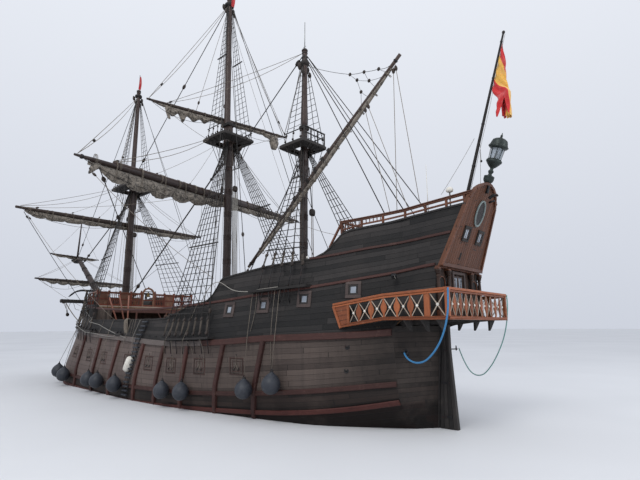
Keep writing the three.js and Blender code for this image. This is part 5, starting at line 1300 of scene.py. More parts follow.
# floor: planks fore and aft on a dark underside, open inside where the wall stands
xs = [GAL_AFT, -20.9, -20.3, -19.5, TUCK_X, -18.0, -17.2, -16.6]
for s_ in (PORT, STARBOARD):
    rings = []
    for x in xs:
        z = gal_z(x)
        yi = 0.0 if x < TUCK_X - 0.01 else min(top_y(x, z - 0.13) + 0.0, gal_y(x) - 0.05)
        rings.append([(x, s_ * yi, z - 0.13), (x, s_ * (gal_y(x) - 0.05), z - 0.12), (x, s_ * (gal_y(x) - 0.03), z - 0.004), (x, s_ * yi, z - 0.004)])
    gal.grid(rings, M_TAR, smooth_=False)
    # floor boards on top
    for k in range(16):
        y0 = k * 0.19
        pts = [x for x in (GAL_AFT + 0.05, -20.3, TUCK_X, -17.9, -17.1, -16.6) if gal_y(x) - 0.1 > y0]
        for a, b in zip(pts, pts[1:]):
            inner = top_y((a + b) / 2, 4.8)
            if a >= TUCK_X - 0.02 and y0 + 0.19 < inner:
                continue
            gal.beam((a, s_ * (y0 + 0.095), gal_z(a) - 0.012), (b, s_ * (y0 + 0.095), gal_z(b) - 0.012), 0.184, 0.03, M_DECK)
    # the outer edge: a varnished fascia with a lip above and below
    path = [(x, s_ * (gal_y(x) - 0.03), gal_z(x) - 0.06) for x in [GAL_AFT, -20.6, -19.7, TUCK_X, -17.9, -17.2, -16.62]]
    o = s_
    rings = []
    for x, y, z in path:
        sec = [(-0.02, -0.07), (0.05, -0.07), (0.07, -0.06), (0.07, -0.045), (0.03, -0.03), (0.03, 0.03), (0.07, 0.04), (0.075, 0.055), (0.06, 0.065), (-0.02, 0.065)]
        rings.append([(x, y + o * a, z + b) for a, b in sec])
    gal.grid(rings, M_GALLERY, smooth_=False)
    # top rail: a broad handrail on a narrower lip
    pts = [GAL_AFT + 0.02, -20.7, -19.8, TUCK_X, -17.9, -17.1, -16.2]
    for half, low, high, m in ((0.1, -0.035, 0.06, M_GALLERY), (0.07, -0.12, -0.035, M_GALLERY)):
        rings = []
        for x in pts:
            y, z = s_ * (gal_y(x) - 0.06), gal_top(x)
            c = 0.02
            rings.append([(x, y - half, z + low), (x, y + half, z + low), (x, y + half, z + high - c), (x, y + half - c, z + high), (x, y - half + c, z + high), (x, y - half, z + high - c)])
        gal.grid(rings, m, smooth_=False)
    side = lambda x, z, d=0.0: (x, s_ * (gal_y(x) - 0.06 + d), z)
    zl = lambda x: gal_z(x) - 0.02
    zh = lambda x: gal_top(x) - 0.11
    # fore panel, a solid board raked forward at its end, framed
    board_ = [side(-17.0, zl(-17.0)), side(-16.56, gal_z(-16.56) - 0.1), side(-16.16, gal_top(-16.16) - 0.1), side(-17.0, zh(-17.0))]
    gal.prism(board_, (0, s_ * 0.03, 0), M_GALLERY)
    gal.beam(side(-16.58, gal_z(-16.58) - 0.14, 0.02), side(-16.18, gal_top(-16.18) - 0.05, 0.02), 0.09, 0.12, M_GALLERY, up=(1, 0, 0))
    gal.beam(side(-16.98, zl(-17.0), 0.02), side(-16.98, zh(-17.0), 0.02), 0.08, 0.12, M_GALLERY, up=(1, 0, 0))
    for k in range(1, 4):
        z = lambda x: lerp(zl(x), zh(x), k / 4)
        gal.beam(side(-16.96, z(-16.96), 0.035), side(lerp(-16.52, -16.24, k / 4), z(-16.4), 0.035), 0.012, 0.012, M_VARNISH_RED)
    # bays
    edges = [-17.0, -17.5, -18.1, -18.7, -19.3, -19.9, -20.48]
    for a, b in zip(edges, edges[1:]):
        cross_bay(gal, side(a - 0.02, zl(a)), side(b + 0.02, zl(b)), side(a - 0.02, zh(a)), side(b + 0.02, zh(b)), (0, s_, 0), 0.034, M_CREAM, 0.062)
    for x in edges[1:-1]:
        lens(gal, side(x, zl(x)), side(x, zh(x)), (0, s_, 0), 0.15, M_GALLERY)
    gal.beam(side(-20.6, zl(-20.6)), side(-20.6, zh(-20.6)), 0.24, 0.1, M_GALLERY, up=(0, s_, 0))
    cross_bay(gal, side(-20.73, zl(-20.73)), side(-21.34, zl(-21.34)), side(-20.73, zh(-20.73)), side(-21.34, zh(-21.34)), (0, s_, 0), 0.038, M_CREAM, 0.07)
    gal.beam((GAL_AFT + 0.06, s_ * 2.87, GALLERY_TOP - 0.02), (GAL_AFT + 0.06, s_ * 2.87, 5.64), 0.17, 0.17, M_GALLERY, up=(1, 0, 0))
    gal.beam((GAL_AFT + 0.06, s_ * 2.87, 5.64), (GAL_AFT + 0.06, s_ * 2.87, 5.72), 0.2, 0.2, M_GALLERY, up=(1, 0, 0))
    # knees under the overhang
    for x in (-20.9, -20.2, -19.4):
        gal.prism([(x - 0.05, s_ * 2.2, 4.1), (x - 0.05, s_ * 2.35, 4.2), (x - 0.05, s_ * 2.8, 4.58), (x - 0.05, s_ * 2.2, 4.58)], (0.1, 0, 0), M_TAR)
# aft side
gal.beam((GAL_AFT - 0.01, -2.9, GALLERY_TOP - 0.06), (GAL_AFT - 0.01, 2.9, GALLERY_TOP - 0.06), 0.05, 0.06, M_GALLERY)
rings = []
for i in range(13):
    y = lerp(-GAL_HALF, GAL_HALF, i / 12)
    x, z = GAL_AFT + 0.03, GALLERY_TOP - 0.06
    sec = [(-0.02, -0.07), (0.05, -0.07), (0.07, -0.06), (0.07, -0.045), (0.03, -0.03), (0.03, 0.03), (0.07, 0.04), (0.075, 0.055), (0.06, 0.065), (-0.02, 0.065)]
    rings.append([(x - a, y, z + b) for a, b in sec])
gal.grid(rings, M_GALLERY, smooth_=False)
for half, low, high in ((0.1, -0.035, 0.06), (0.07, -0.12, -0.035)):
    c, x, z = 0.02, GAL_AFT + 0.06, 5.74
    rings = [[(x - half, y, z + low), (x + half, y, z + low), (x + half, y, z + high - c), (x + half - c, y, z + high), (x - half + c, y, z + high), (x - half, y, z + high - c)] for y in (-2.96, -1.5, 0, 1.5, 2.96)]
    gal.grid(rings, M_GALLERY, smooth_=False)
for i in range(11):
    y0, y1 = lerp(-2.78, 2.78, i / 11), lerp(-2.78, 2.78, (i + 1) / 11)
    x = GAL_AFT + 0.06
    cross_bay(gal, (x, y0 + 0.02, 4.7), (x, y1 - 0.02, 4.7), (x, y0 + 0.02, 5.63), (x, y1 - 0.02, 5.63), (-1, 0, 0), 0.026, M_CREAM, 0.058)
    if i:
        lens(gal, (x, y0, 4.69), (x, y0, 5.63), (-1, 0, 0), 0.13, M_GALLERY)
# cove and knees under the after overhang
for y in (-2.0, -1.2, -0.45, 0.45, 1.2, 2.0):
    gal.prism([(TUCK_X - 0.02, y - 0.06, 4.2), (-19.3, y - 0.06, 4.36), (-20.4, y - 0.06, 4.5), (-21.2, y - 0.06, 4.54), (-21.2, y - 0.06, 4.58), (TUCK_X - 0.02, y - 0.06, 4.58)], (0, 0.12, 0), M_TAR)
gal.make("root", "varnished_wood", ["stern_gallery"])


# ---- leaning transom
def panel_half(z):
    return lerp(1.98, 1.36, (z - 6.77) / 3.0)


CREST = [[0.0, 10.4], [0.25, 10.4], [0.66, 10.28], [1.02, 10.05], [1.22, 9.75], [1.386, 9.55]]


def panel_top(y):
    y = abs(y)
    return line(CREST, y) if y <= 1.36 else 6.77 + 3 * (1.98 - y) / 0.62


tran = Kit("transom_work")
n = 20
for i in range(n):
    y0, y1 = lerp(-1.97, 1.97, i / n) + 0.004, lerp(-1.97, 1.97, (i + 1) / n) - 0.004
    zlow = 6.775
    top0, top1 = panel_top(y0), panel_top(y1)
    outline = [(y0, zlow), (y1, zlow)]
    m = 10
    left, right = [], []
    for k in range(m + 1):
        t = k / m
        z0, z1 = lerp(zlow, max(top0, zlow + 0.01), t), lerp(zlow, max(top1, zlow + 0.01), t)
        left.append((y0, z0))
        right.append((y1, z1))
    fx = lambda z: panel_fore(z)
    rings = []
    for (ya, za), (yb, zb) in zip(left, right):
        bev = 0.012
        rings.append([(fx(za), ya, za), (fx(zb), yb, zb), (fx(zb) - PANEL_THICK + bev, yb, zb), (fx(zb) - PANEL_THICK, yb - bev, zb), (fx(za) - PANEL_THICK, ya + bev, za), (fx(za) - PANEL_THICK + bev, ya, za)])
    tran.grid(rings, M_PANEL, smooth_=False)


def on_panel(y, z, d=0.0):
    """A point on the transom's after face, d aft of it."""
    return (panel_fore(z) - PANEL_THICK - d, y, z)


PN = Vector((-1, 0, -PANEL_LEAN)).normalized()
PU = Vector((-PANEL_LEAN, 0, 1)).normalized()
edge_pts = [(panel_half(z), z) for z in (6.78, 7.5, 8.2, 8.9, 9.55)] + [(1.22, 9.77), (1.05, 10.04), (0.84, 10.2), (0.6, 10.31), (0.25, 10.4), (0, 10.41)]
outline = [(y, z) for y, z in edge_pts] + [(-y, z) for y, z in edge_pts[::-1][1:]]
for (ya, za), (yb, zb) in zip(outline, outline[1:]):
    A, B = Vector(on_panel(ya, za, 0.03)), Vector(on_panel(yb, zb, 0.03))
    inward = 0.05
    k = Vector((0, -math.copysign(inward, ya + yb) if abs(ya + yb) > 0.1 else 0, -inward if za > 9.8 else 0))
    tran.beam(tuple(A + k), tuple(B + k), 0.07, 0.11, M_VARNISH_RED, up=tuple((B - A).cross(PN)))
tran.beam(on_panel(-1.96, 6.83, 0.03), on_panel(1.96, 6.83, 0.03), 0.08, 0.16, M_VARNISH_RED, up=(0, 0, 1))
# windows
for yc in (0.66, -0.68):
    zc = 8.2
    Q = lambda a, b, d: tuple(Vector(on_panel(yc, zc)) + Vector((0, 1, 0)) * a + PU * b + PN * d)
    for w, h, t_, d, dep, m in ((0.29, 0.34, 0.1, 0.02, 0.08, M_TAR), (0.19, 0.24, 0.05, 0.01, 0.05, M_WINDOW)):
        tran.beam(Q(-w, h - t_ / 2, d), Q(w, h - t_ / 2, d), t_, dep, m, up=tuple(PN))
        tran.beam(Q(-w, -h + t_ / 2, d), Q(w, -h + t_ / 2, d), t_, dep, m, up=tuple(PN))
        tran.beam(Q(-w + t_ / 2, -h + t_, d), Q(-w + t_ / 2, h - t_, d), t_, dep, m, up=tuple(PN))
        tran.beam(Q(w - t_ / 2, -h + t_, d), Q(w - t_ / 2, h - t_, d), t_, dep, m, up=tuple(PN))
    tran.prism([Q(-0.15, -0.2, 0.006), Q(0.15, -0.2, 0.006), Q(0.15, 0.2, 0.006), Q(-0.15, 0.2, 0.006)], tuple(PN * 0.004), M_GLASS)
    tran.beam(Q(0, -0.2, 0.012), Q(0, 0.2, 0.012), 0.02, 0.02, M_WINDOW, up=tuple(PN))
# narrow opening low on the panel
Q = lambda a, b, d: tuple(Vector(on_panel(0.58, 7.27)) + Vector((0, 1, 0)) * a + PU * b + PN * d)
# painted shade: the opening is a flat dark board on the panel, standing in for the shade inside it
tran.prism([Q(-0.07, -0.16, 0.004), Q(0.07, -0.16, 0.004), Q(0.07, 0.16, 0.004), Q(-0.07, 0.16, 0.004)], tuple(PN * 0.004), M_DARK)
# a bare oval moulding high on the panel
ring = [tuple(Vector(on_panel(0, 9.14)) + Vector((0, 1, 0)) * (0.36 * math.cos(2 * math.pi * i / 40)) + PU * (0.56 * math.sin(2 * math.pi * i / 40)) + PN * 0.03) for i in range(40)]
tran.tube(ring + ring[:2], 0.045, M_OVAL, 8, caps=False)
inner = [tuple(Vector(on_panel(0, 9.14)) + Vector((0, 1, 0)) * (0.33 * math.cos(2 * math.pi * i / 40)) + PU * (0.53 * math.sin(2 * math.pi * i / 40)) + PN * 0.004) for i in range(40)]
tran.prism(inner, tuple(PN * 0.012), M_OVAL_DARK)

# wall under the panel, with the doorway, columns and dark niches
wy = top_y(STERN_WALL_X, 5.7) - WALL + 0.04
boards(tran, STERN_WALL_X, 0.1, -wy, wy, 4.71, 6.775, M_PANEL_DARK, 0.2, [(-0.47, 0.47, 0, GALLERY_TOP + 0.04 + DOOR_HIGH)])
tran.beam((STERN_WALL_X - 0.06, -2.0, 6.74), (STERN_WALL_X - 0.06, 2.0, 6.74), 0.2, 0.08, M_VARNISH_RED)
for s_ in (PORT, STARBOARD):
    # door casing
    tran.beam((STERN_WALL_X - 0.03, s_ * 0.54, 4.71), (STERN_WALL_X - 0.03, s_ * 0.54, 6.55), 0.13, 0.07, M_WINDOW, up=(1, 0, 0))
    for y, r in ((1.12, 0.085), (2.02, 0.075)):
        tran.beam((STERN_WALL_X - 0.1, s_ * y, 4.71), (STERN_WALL_X - 0.1, s_ * y, 4.95), 0.24, 0.2, M_VARNISH_RED, up=(1, 0, 0))
        tran.lathe([(r * 1.25, 0), (r * 1.3, 0.05), (r, 0.1), (r * 1.08, 0.4), (r * 0.96, 1.2), (r * 0.85, 1.36), (r * 1.15, 1.4), (r * 0.9, 1.45)], (STERN_WALL_X - 0.1, s_ * y, 4.95), M_PANEL_DARK, sides=12)
        tran.lathe([(r * 0.9, 0), (r * 1.2, 0.05), (r * 1.5, 0.14), (r * 1.75, 0.17), (r * 1.75, 0.22)], (STERN_WALL_X - 0.1, s_ * y, 6.4), M_PANEL_DARK, sides=12)
        tran.beam((STERN_WALL_X - 0.1, s_ * y, 6.61), (STERN_WALL_X - 0.1, s_ * y, 6.72), 0.26, 0.2, M_VARNISH_RED, up=(1, 0, 0))
    # blind round-headed niche between the columns, drawn as a flat dark board on the wall: painted shade for its hollow
    arch = [(STERN_WALL_X - 0.006, s_ * (1.57 + 0.26 * math.cos(math.pi * k / 10)), 6.1 + 0.26 * math.sin(math.pi * k / 10)) for k in range(11)]
    tran.prism([(STERN_WALL_X - 0.006, s_ * 1.83, 5.0), *arch, (STERN_WALL_X - 0.006, s_ * 1.31, 5.0)], (0.004, 0, 0), M_DARK)
    for a, b in zip(arch, arch[1:]):
        tran.beam((a[0] - 0.02, a[1], a[2]), (b[0] - 0.02, b[1], b[2]), 0.05, 0.05, M_VARNISH_RED, up=(1, 0, 0))
    for y in (1.31, 1.83):
        tran.beam((STERN_WALL_X - 0.026, s_ * y, 5.0), (STERN_WALL_X - 0.026, s_ * y, 6.1), 0.05, 0.05, M_VARNISH_RED, up=(1, 0, 0))
tran.beam((STERN_WALL_X - 0.03, -0.62, 6.61), (STERN_WALL_X - 0.03, 0.62, 6.61), 0.07, 0.13, M_WINDOW, up=(0, 0, 1))
tran.make("root", "panel_wood", ["transom"])

for s_, word in ((PORT, "port"), (STARBOARD, "starboard")):
    kit = Kit("gallery_door_leaf_" + word)
    y0, y1 = 0.008, 0.47 - 0.014
    zl, zh = GALLERY_TOP + 0.03, GALLERY_TOP + 0.03 + DOOR_HIGH - 0.014
    x = STERN_WALL_X + 0.03
    for y in (y0 + 0.035, y1 - 0.035):
        kit.beam((x, s_ * y, zl), (x, s_ * y, zh), 0.07, 0.056, M_WINDOW, up=(1, 0, 0))
    for z in (zl + 0.07, zl + 0.62, zl + 1.15, zh - 0.05):
        kit.beam((x, s_ * (y0 + 0.06), z), (x, s_ * (y1 - 0.06), z), 0.05, 0.1 if z < zl + 0.7 else 0.06, M_WINDOW, up=(0, 0, 1))
    kit.beam((x, s_ * (y0 + y1) / 2, zl + 0.65), (x, s_ * (y0 + y1) / 2, zh - 0.06), 0.03, 0.04, M_WINDOW, up=(1, 0, 0))
    kit.beam((x, s_ * (y0 + y1) / 2, zl + 0.1), (x, s_ * (y0 + y1) / 2, zl + 0.6), y1 - y0 - 0.12, 0.03, M_PANEL, up=(1, 0, 0))
    kit.prism([(x - 0.004, s_ * (y0 + 0.06), zl + 0.64), (x - 0.004, s_ * (y1 - 0.06), zl + 0.64), (x - 0.004, s_ * (y1 - 0.06), zh - 0.07), (x - 0.004, s_ * (y0 + 0.06), zh - 0.07)], (0.006, 0, 0), M_GLASS)
    kit.ball((STERN_WALL_X - 0.004, s_ * (y0 + 0.035), zl + 0.9), 0.02, M_BRONZE, 8, 6)
    for z in (zl + 0.2, zh - 0.2):
        kit.beam((STERN_WALL_X, s_ * (y1 - 0.16), z), (STERN_WALL_X, s_ * (y1 - 0.01), z), 0.01, 0.035, M_IRON, up=(0, 0, 1))
    kit.make("gallery_door_" + word, "panel_wood", ["gallery_door_" + word])

# ---- rudder: upright planks with iron straps to the sternpost
RUDDER = [[-3.3, -19.06, -20.3], [0, -19.36, -20.2], [1.6, -19.46, -20.1], [3.3, -19.63, -20.0], [4.36, -19.68, -20.0]]
rud = Kit("rudder_work")
for k in range(4):
    a, b = k / 4, (k + 1) / 4
    rings = []
    for z, xf, xa in RUDDER:
        x0, x1 = lerp(xf - 0.02, xa, a), lerp(xf - 0.02, xa, b) + 0.006
        h = lerp(0.13, 0.104, (a + b) / 2)
        c = 0.012
        rings.append([(x0, h - c, z), (x0 - c, h, z), (x1 + c, h, z), (x1, h - c, z), (x1, -h + c, z), (x1 + c, -h, z), (x0 - c, -h, z), (x0, -h + c, z)])
    rud.grid(rings, M_TAR, smooth_=False)
for z in (-2.3, -0.9, 0.5, 1.9, 3.3):
    xf, xa = line([[r[0], r[1]] for r in RUDDER], z), line([[r[0], r[2]] for r in RUDDER], z)
    for s_ in (PORT, STARBOARD):
        rud.beam((xf - 0.03, s_ * 0.135, z), (lerp(xf, xa, 0.75), s_ * 0.125, z), 0.02, 0.1, M_IRON, up=(0, 0, 1))
        for t in (0.15, 0.35, 0.55, 0.7):
            rud.ball((lerp(xf, xa, t), s_ * 0.142, z), 0.02, M_IRON, 6, 4)
rud.make("rudder", "weathered_oak", ["rudder"])

# =====================================================================================
# Rails of the poop and forecastle, belfry and bell, beakhead, cathead beam and anchors
# =====================================================================================
POOP_RAIL = [[-22.2, 9.86], [-21.9, 9.82], [-19.7, 9.66], [-17.9, 9.46], [-16.0, 9.24]]


def poop_top(x):
    return line(POOP_RAIL, x)


pr = Kit("poop_rail_work")
for s_ in (PORT, STARBOARD):
    yy = lambda x: top_y(x, rail_z(x)) - WALL / 2
    at = lambda x, z: (x, s_ * yy(x), z)
    xs = [-21.66, -20.85, -19.85, -18.85, -17.85, -16.9, -16.0]
    for x in xs:
        z0 = rail_z(x) + (0.13 if x > -16.05 else 0.02)
        pr.beam(at(x, z0), at(x, poop_top(x) - 0.04), 0.1, 0.1, M_VARNISH_RED, up=(1, 0, 0))
    for half, low, high in ((0.1, 0.0, 0.05), (0.065, -0.07, 0.0)):
        rings = []
        for x in [-22.02, -21.3, -20.5, -19.7, -18.8, -17.9, -16.9, -15.95]:
            y, z = s_ * yy(max(x, -21.8)), poop_top(x)
            rings.append([(x, y - half, z + low), (x, y + half, z + low), (x, y + half, z + high - 0.015), (x, y + half - 0.02, z + high), (x, y - half + 0.02, z + high), (x, y - half, z + high - 0.015)])
        pr.grid(rings, M_VARNISH_RED, smooth_=False)
    for a, b in zip(xs, xs[1:]):
        pr.beam(at(a, rail_z(a) + 0.22), at(b, rail_z(b) + (0.22 if b < -16.05 else 0.32)), 0.07, 0.08, M_VARNISH_RED)
    x = -17.75
    while x < -16.1:
        z0, z1 = rail_z(x) + 0.26, poop_top(x) - 0.07
        if z1 - z0 > 0.08:
            h = z1 - z0
            pr.lathe([(0.016, 0), (0.03, h * 0.15), (0.016, h * 0.3), (0.032, h * 0.55), (0.016, h * 0.8), (0.024, h)], at(x, z0), M_VARNISH_RED, sides=6)
        x += 0.16
    # raked ends fore and aft
    pr.beam((-15.45, s_ * (top_y(-15.5, 8.0) - WALL / 2), 8.03), at(-16.0, poop_top(-16) - 0.02), 0.1, 0.1, M_VARNISH_RED, up=(1, 0, 0))
    pr.beam(at(-21.74, rail_z(-21.74) + 0.03), (-22.0, s_ * yy(-21.8), poop_top(-22) - 0.02), 0.1, 0.14, M_VARNISH, up=(1, 0, 0))
y = yy(-16)
pr.beam((-16.0, -y, 9.24), (-16.0, y, 9.24), 0.14, 0.09, M_VARNISH_RED)
pr.beam((-16.0, -y, 8.83), (-16.0, y, 8.83), 0.08, 0.07, M_VARNISH_RED)
for f in (-0.66, -0.33, 0, 0.33, 0.66):
    pr.beam((-16.0, f * y, 8.32), (-16.0, f * y, 9.2), 0.09, 0.09, M_VARNISH_RED, up=(1, 0, 0))
k = -y + 0.15
while k < y - 0.1:
    if min(abs(k - f * y) for f in (-0.66, -0.33, 0, 0.33, 0.66)) > 0.07:
        pr.lathe([(0.018, 0), (0.032, 0.06), (0.018, 0.12), (0.03, 0.2), (0.018, 0.3)], (-16.0, k, 8.87), M_VARNISH_RED, sides=6)
        pr.lathe([(0.018, 0), (0.032, 0.1), (0.018, 0.18), (0.03, 0.3), (0.018, 0.44)], (-16.0, k, 8.35), M_VARNISH_RED, sides=6)
    k += 0.17
pr.make("root", "varnished_wood", ["poop_rail"])

# ---- forecastle rail: posts, turned balusters and solid panels, with the belfry amidships
fr = Kit("forecastle_rail_work")
X0, TOP, MID, FOOT = 7.52, 7.12, 6.59, 6.12
for y in (-4.2, -3.3, -2.4, -1.5, -0.62, 0.62, 1.5, 2.4, 3.3, 4.2):
    fr.beam((X0, y, 5.99), (X0, y, TOP), 0.12, 0.12, M_RED_OCHRE, up=(1, 0, 0))
    fr.beam((X0, y, TOP + 0.04), (X0, y, TOP + 0.14), 0.15, 0.15, M_RED_OCHRE, up=(1, 0, 0))
for y0, y1 in ((-4.27, -0.56), (0.56, 4.27)):
    fr.beam((X0, y0, TOP), (X0, y1, TOP), 0.17, 0.09, M_VARNISH_RED)
    fr.beam((X0, y0, TOP - 0.075), (X0, y1, TOP - 0.075), 0.1, 0.06, M_RED_OCHRE)
fr.beam((X0, -4.25, MID), (X0, 4.25, MID), 0.09, 0.1, M_RED_OCHRE)
fr.beam((X0, -4.25, FOOT), (X0, 4.25, FOOT), 0.11, 0.12, M_RED_OCHRE)
fr.beam((X0 - 0.06, -4.3, 5.95), (X0 - 0.06, 4.3, 5.95), 0.1, 0.2, M_CREAM)
bays = [(-4.2, -3.3), (-3.3, -2.4), (-2.4, -1.5), (-1.5, -0.62), (0.62, 1.5), (1.5, 2.4), (2.4, 3.3), (3.3, 4.2)]
for i, (a, b) in enumerate(bays):
    if i in (2, 5, 7):
        fr.beam((X0, (a + b) / 2, FOOT + 0.05), (X0, (a + b) / 2, TOP - 0.1), b - a - 0.12, 0.035, M_VARNISH, up=(1, 0, 0))
        continue
    k = a + 0.15
    while k < b - 0.08:
        fr.lathe([(0.022, 0), (0.034, 0.07), (0.02, 0.16), (0.038, 0.3), (0.022, 0.42)], (X0, k, FOOT + 0.05), M_RED_OCHRE, sides=6)
        fr.lathe([(0.022, 0), (0.034, 0.07), (0.02, 0.16), (0.038, 0.3), (0.022, 0.42)], (X0, k, MID + 0.04), M_VARNISH, sides=6)
        k += 0.15
# arch
arch = [(0.485 * math.cos(math.pi * k / 16), 7.1 + 0.485 * math.sin(math.pi * k / 16)) for k in range(17)]
path = [(X0, 0.485, 6.05), (X0, 0.485, 6.6)] + [(X0, y, z) for y, z in arch] + [(X0, -0.485, 6.6), (X0, -0.485, 6.05)]
sec = [(-0.065, -0.07), (0.065, -0.07), (0.065, 0.05), (0.045, 0.07), (-0.045, 0.07), (-0.065, 0.05)]
rings = []
for i, p in enumerate(path):
    a, b = Vector(path[max(i - 1, 0)]), Vector(path[min(i + 1, len(path) - 1)])
    t = (b - a).normalized()
    o = Vector((1, 0, 0)).cross(t).normalized()
    if o.dot(Vector(p) - Vector((X0, 0, 7.0))) < 0:
        o.negate()
    rings.append([tuple(Vector(p) + o * u + Vector((1, 0, 0)) * v) for u, v in sec])
fr.grid(rings, M_VARNISH, smooth_=False)
for s_ in (PORT, STARBOARD):
    fr.beam((X0, s_ * 0.42, 7.18), (X0, s_ * 0.42, 7.4), 0.05, 0.12, M_BRONZE, up=(1, 0, 0))
    fr.ball((X0, s_ * 0.62, TOP + 0.2), 0.07, M_VARNISH, 10, 8)
fr.ball((X0, 0, 7.68), 0.06, M_VARNISH, 10, 8)
# side rails on the wall tops
for s_ in (PORT, STARBOARD):
    at = lambda x, z: (x, s_ * (top_y(x, 6.15) - WALL / 2), z)
    for x in (7.52, 8.9, 10.3, 11.6, 12.7):
        z0 = rail_z(x) + 0.03 + (0.05 if x > 12.6 else 0)
        if x > 7.6:
            fr.beam(at(x, z0), at(x, TOP), 0.1, 0.1, M_RED_OCHRE, up=(1, 0, 0))
    fr.beam((7.52, s_ * 4.2, TOP), at(7.6, TOP), 0.1, 0.1, M_VARNISH_RED)
    pts = [7.49, 8.9, 10.3, 11.6, 12.73]
    for a, b in zip(pts, pts[1:]):
        fr.beam(at(a, TOP), at(b, TOP), 0.15, 0.1, M_VARNISH_RED)
        fr.beam(at(a, 6.6), at(b, 6.6), 0.08, 0.09, M_RED_OCHRE)
fr.make("root", "varnished_wood", ["forecastle_rail"])

bell = Kit("ship_bell")
bell.lathe([(0.0, 0.34), (0.06, 0.34), (0.075, 0.32), (0.1, 0.27), (0.112, 0.24), (0.12, 0.17), (0.135, 0.11), (0.16, 0.05), (0.195, 0.012), (0.2, 0.0), (0.19, 0.0), (0.17, 0.02), (0.14, 0.07), (0.12, 0.13), (0.1, 0.22), (0.06, 0.27), (0.0, 0.28)], (7.52, 0, 6.88), M_BRONZE, sides=24)
for z, r in ((0.03, 0.183), (0.2, 0.119)):
    bell.lathe([(r, -0.008), (r + 0.008, 0), (r, 0.008)], (7.52, 0, 6.88 + z), M_BRONZE, sides=24)
bell.beam((7.52, 0, 7.2), (7.52, 0, 7.33), 0.09, 0.05, M_IRON, up=(1, 0, 0))
bell.tube([(7.52, -0.325, 7.32), (7.52, 0.325, 7.32)], 0.034, M_IRON, 10)
bell.tube([(7.52, 0, 7.14), (7.52, 0, 6.93)], 0.014, M_IRON, 8)
bell.ball((7.52, 0, 6.92), 0.035, M_IRON, 10, 8)
bell.make("bell", "bronze", ["bell"])

# ---- beakhead
bk = Kit("beakhead_work")
knee = [[16.9, 0.9], [17.06, 1.5], [17.28, 3.1], [17.46, 4.7], [17.49, 4.97], [17.2, 5.02], [17.2, 5.3], [20.9, 5.75], [21.5, 6.15], [21.75, 6.05], [21.6, 5.6], [20.6, 5.05], [19.2, 4.2], [18.2, 2.9], [17.5, 1.4]]
bk.prism([(x, -0.13, z) for x, z in knee], (0, 0.26, 0), M_TAR)
floor_ = lambda x: line([[15.35, 5.05], [20.8, 5.7]], x)
half_ = lambda x: line([[15.35, 1.6], [17.5, 1.05], [20.8, 0.22]], x)
x = 15.4
while x < 20.7:
    bk.beam((x, -half_(x), floor_(x) - 0.03), (x, half_(x), floor_(x) - 0.03), 0.1, 0.05, M_OAK)
    x += 0.2
for s_ in (PORT, STARBOARD):
    at = lambda x, z, d=0.03: (x, s_ * (half_(x) - d), z)
    top_ = lambda x: line([[15.35, 6.02], [17.6, 6.05], [20.75, 6.35]], x)
    pts = [15.35, 16.4, 17.5, 18.6, 19.7, 20.75]
    for a, b in zip(pts, pts[1:]):
        bk.beam(at(a, floor_(a) - 0.08, 0.0), at(b, floor_(b) - 0.08, 0.0), 0.1, 0.16, M_TAR)
        bk.beam(at(a, top_(a)), at(b, top_(b)), 0.13, 0.1, M_TAR)
        bk.beam(at(a, lerp(floor_(a), top_(a), 0.5)), at(b, lerp(floor_(b), top_(b), 0.5)), 0.07, 0.09, M_RED)
    for x in (15.42, 16.0, 16.6, 17.1, 17.6, 18.15, 18.7, 19.25, 19.8, 20.25, 20.6):
        bk.beam(at(x, floor_(x) - 0.02), at(x, top_(x)), 0.09, 0.09, M_TAR, up=(1, 0, 0))
    # cheeks: two curved rails from the hull to the knee
    for z0, z1 in ((3.7, 4.6), (4.5, 5.2)):
        pts = [(lerp(15.9, 19.6, t), s_ * lerp(1.25, 0.15, smooth(t) ** 0.7), z0 + (z1 - z0) * t * t) for t in (0, 0.15, 0.3, 0.45, 0.6, 0.75, 0.9, 1.0)]
        bk.strip(pts, [(-0.05, -0.09), (0.05, -0.09), (0.05, 0.09), (-0.05, 0.09)], M_RED)
    bk.beam((15.58, s_ * 1.35, floor_(15.6) - 0.05), (15.58, s_ * 1.35, 6.6), 0.24, 0.24, M_TAR, up=(1, 0, 0))
# cathead beam right across, with sheaves and iron bands at its ends
bk.beam((15.58, -4.2, 6.72), (15.58, 4.2, 6.72), 0.3, 0.32, M_TAR, chamfer=0.18)
for s_ in (PORT, STARBOARD):
    for y in (4.12, 3.6):
        bk.beam((15.58, s_ * y, 6.72), (15.58, s_ * (y - 0.08), 6.72), 0.315, 0.335, M_IRON, chamfer=0.18)
    for dx in (-0.07, 0.07):
        bk.lathe([(0.1, -0.02), (0.11, -0.02), (0.11, 0.02), (0.1, 0.02)], (15.58 + dx, s_ * 3.9, 6.6), M_BRONZE, axis=(1, 0, 0), sides=14)
# gammoning round the bowsprit
bow = lambda t: Vector((14.3, 0, 5.3)).lerp(Vector((24.05, 0, 11.9)), t)
for k in range(7):
    c = bow(0.33 + 0.009 * k)
    loop = [(c.x + 0.0, 0.35 * math.cos(a), c.z + 0.36 * math.sin(a)) for a in [math.pi * q / 8 for q in range(0, 9)]]
    path = [(c.x - 0.35, 0.2, 5.35)] + [(c.x, y, z) for x, y, z in loop] + [(c.x - 0.35, -0.2, 5.35)]
    bk.tube(path, 0.03, M_ROPE, 6)
bk.make("root", "tarred_wood", ["beakhead"])

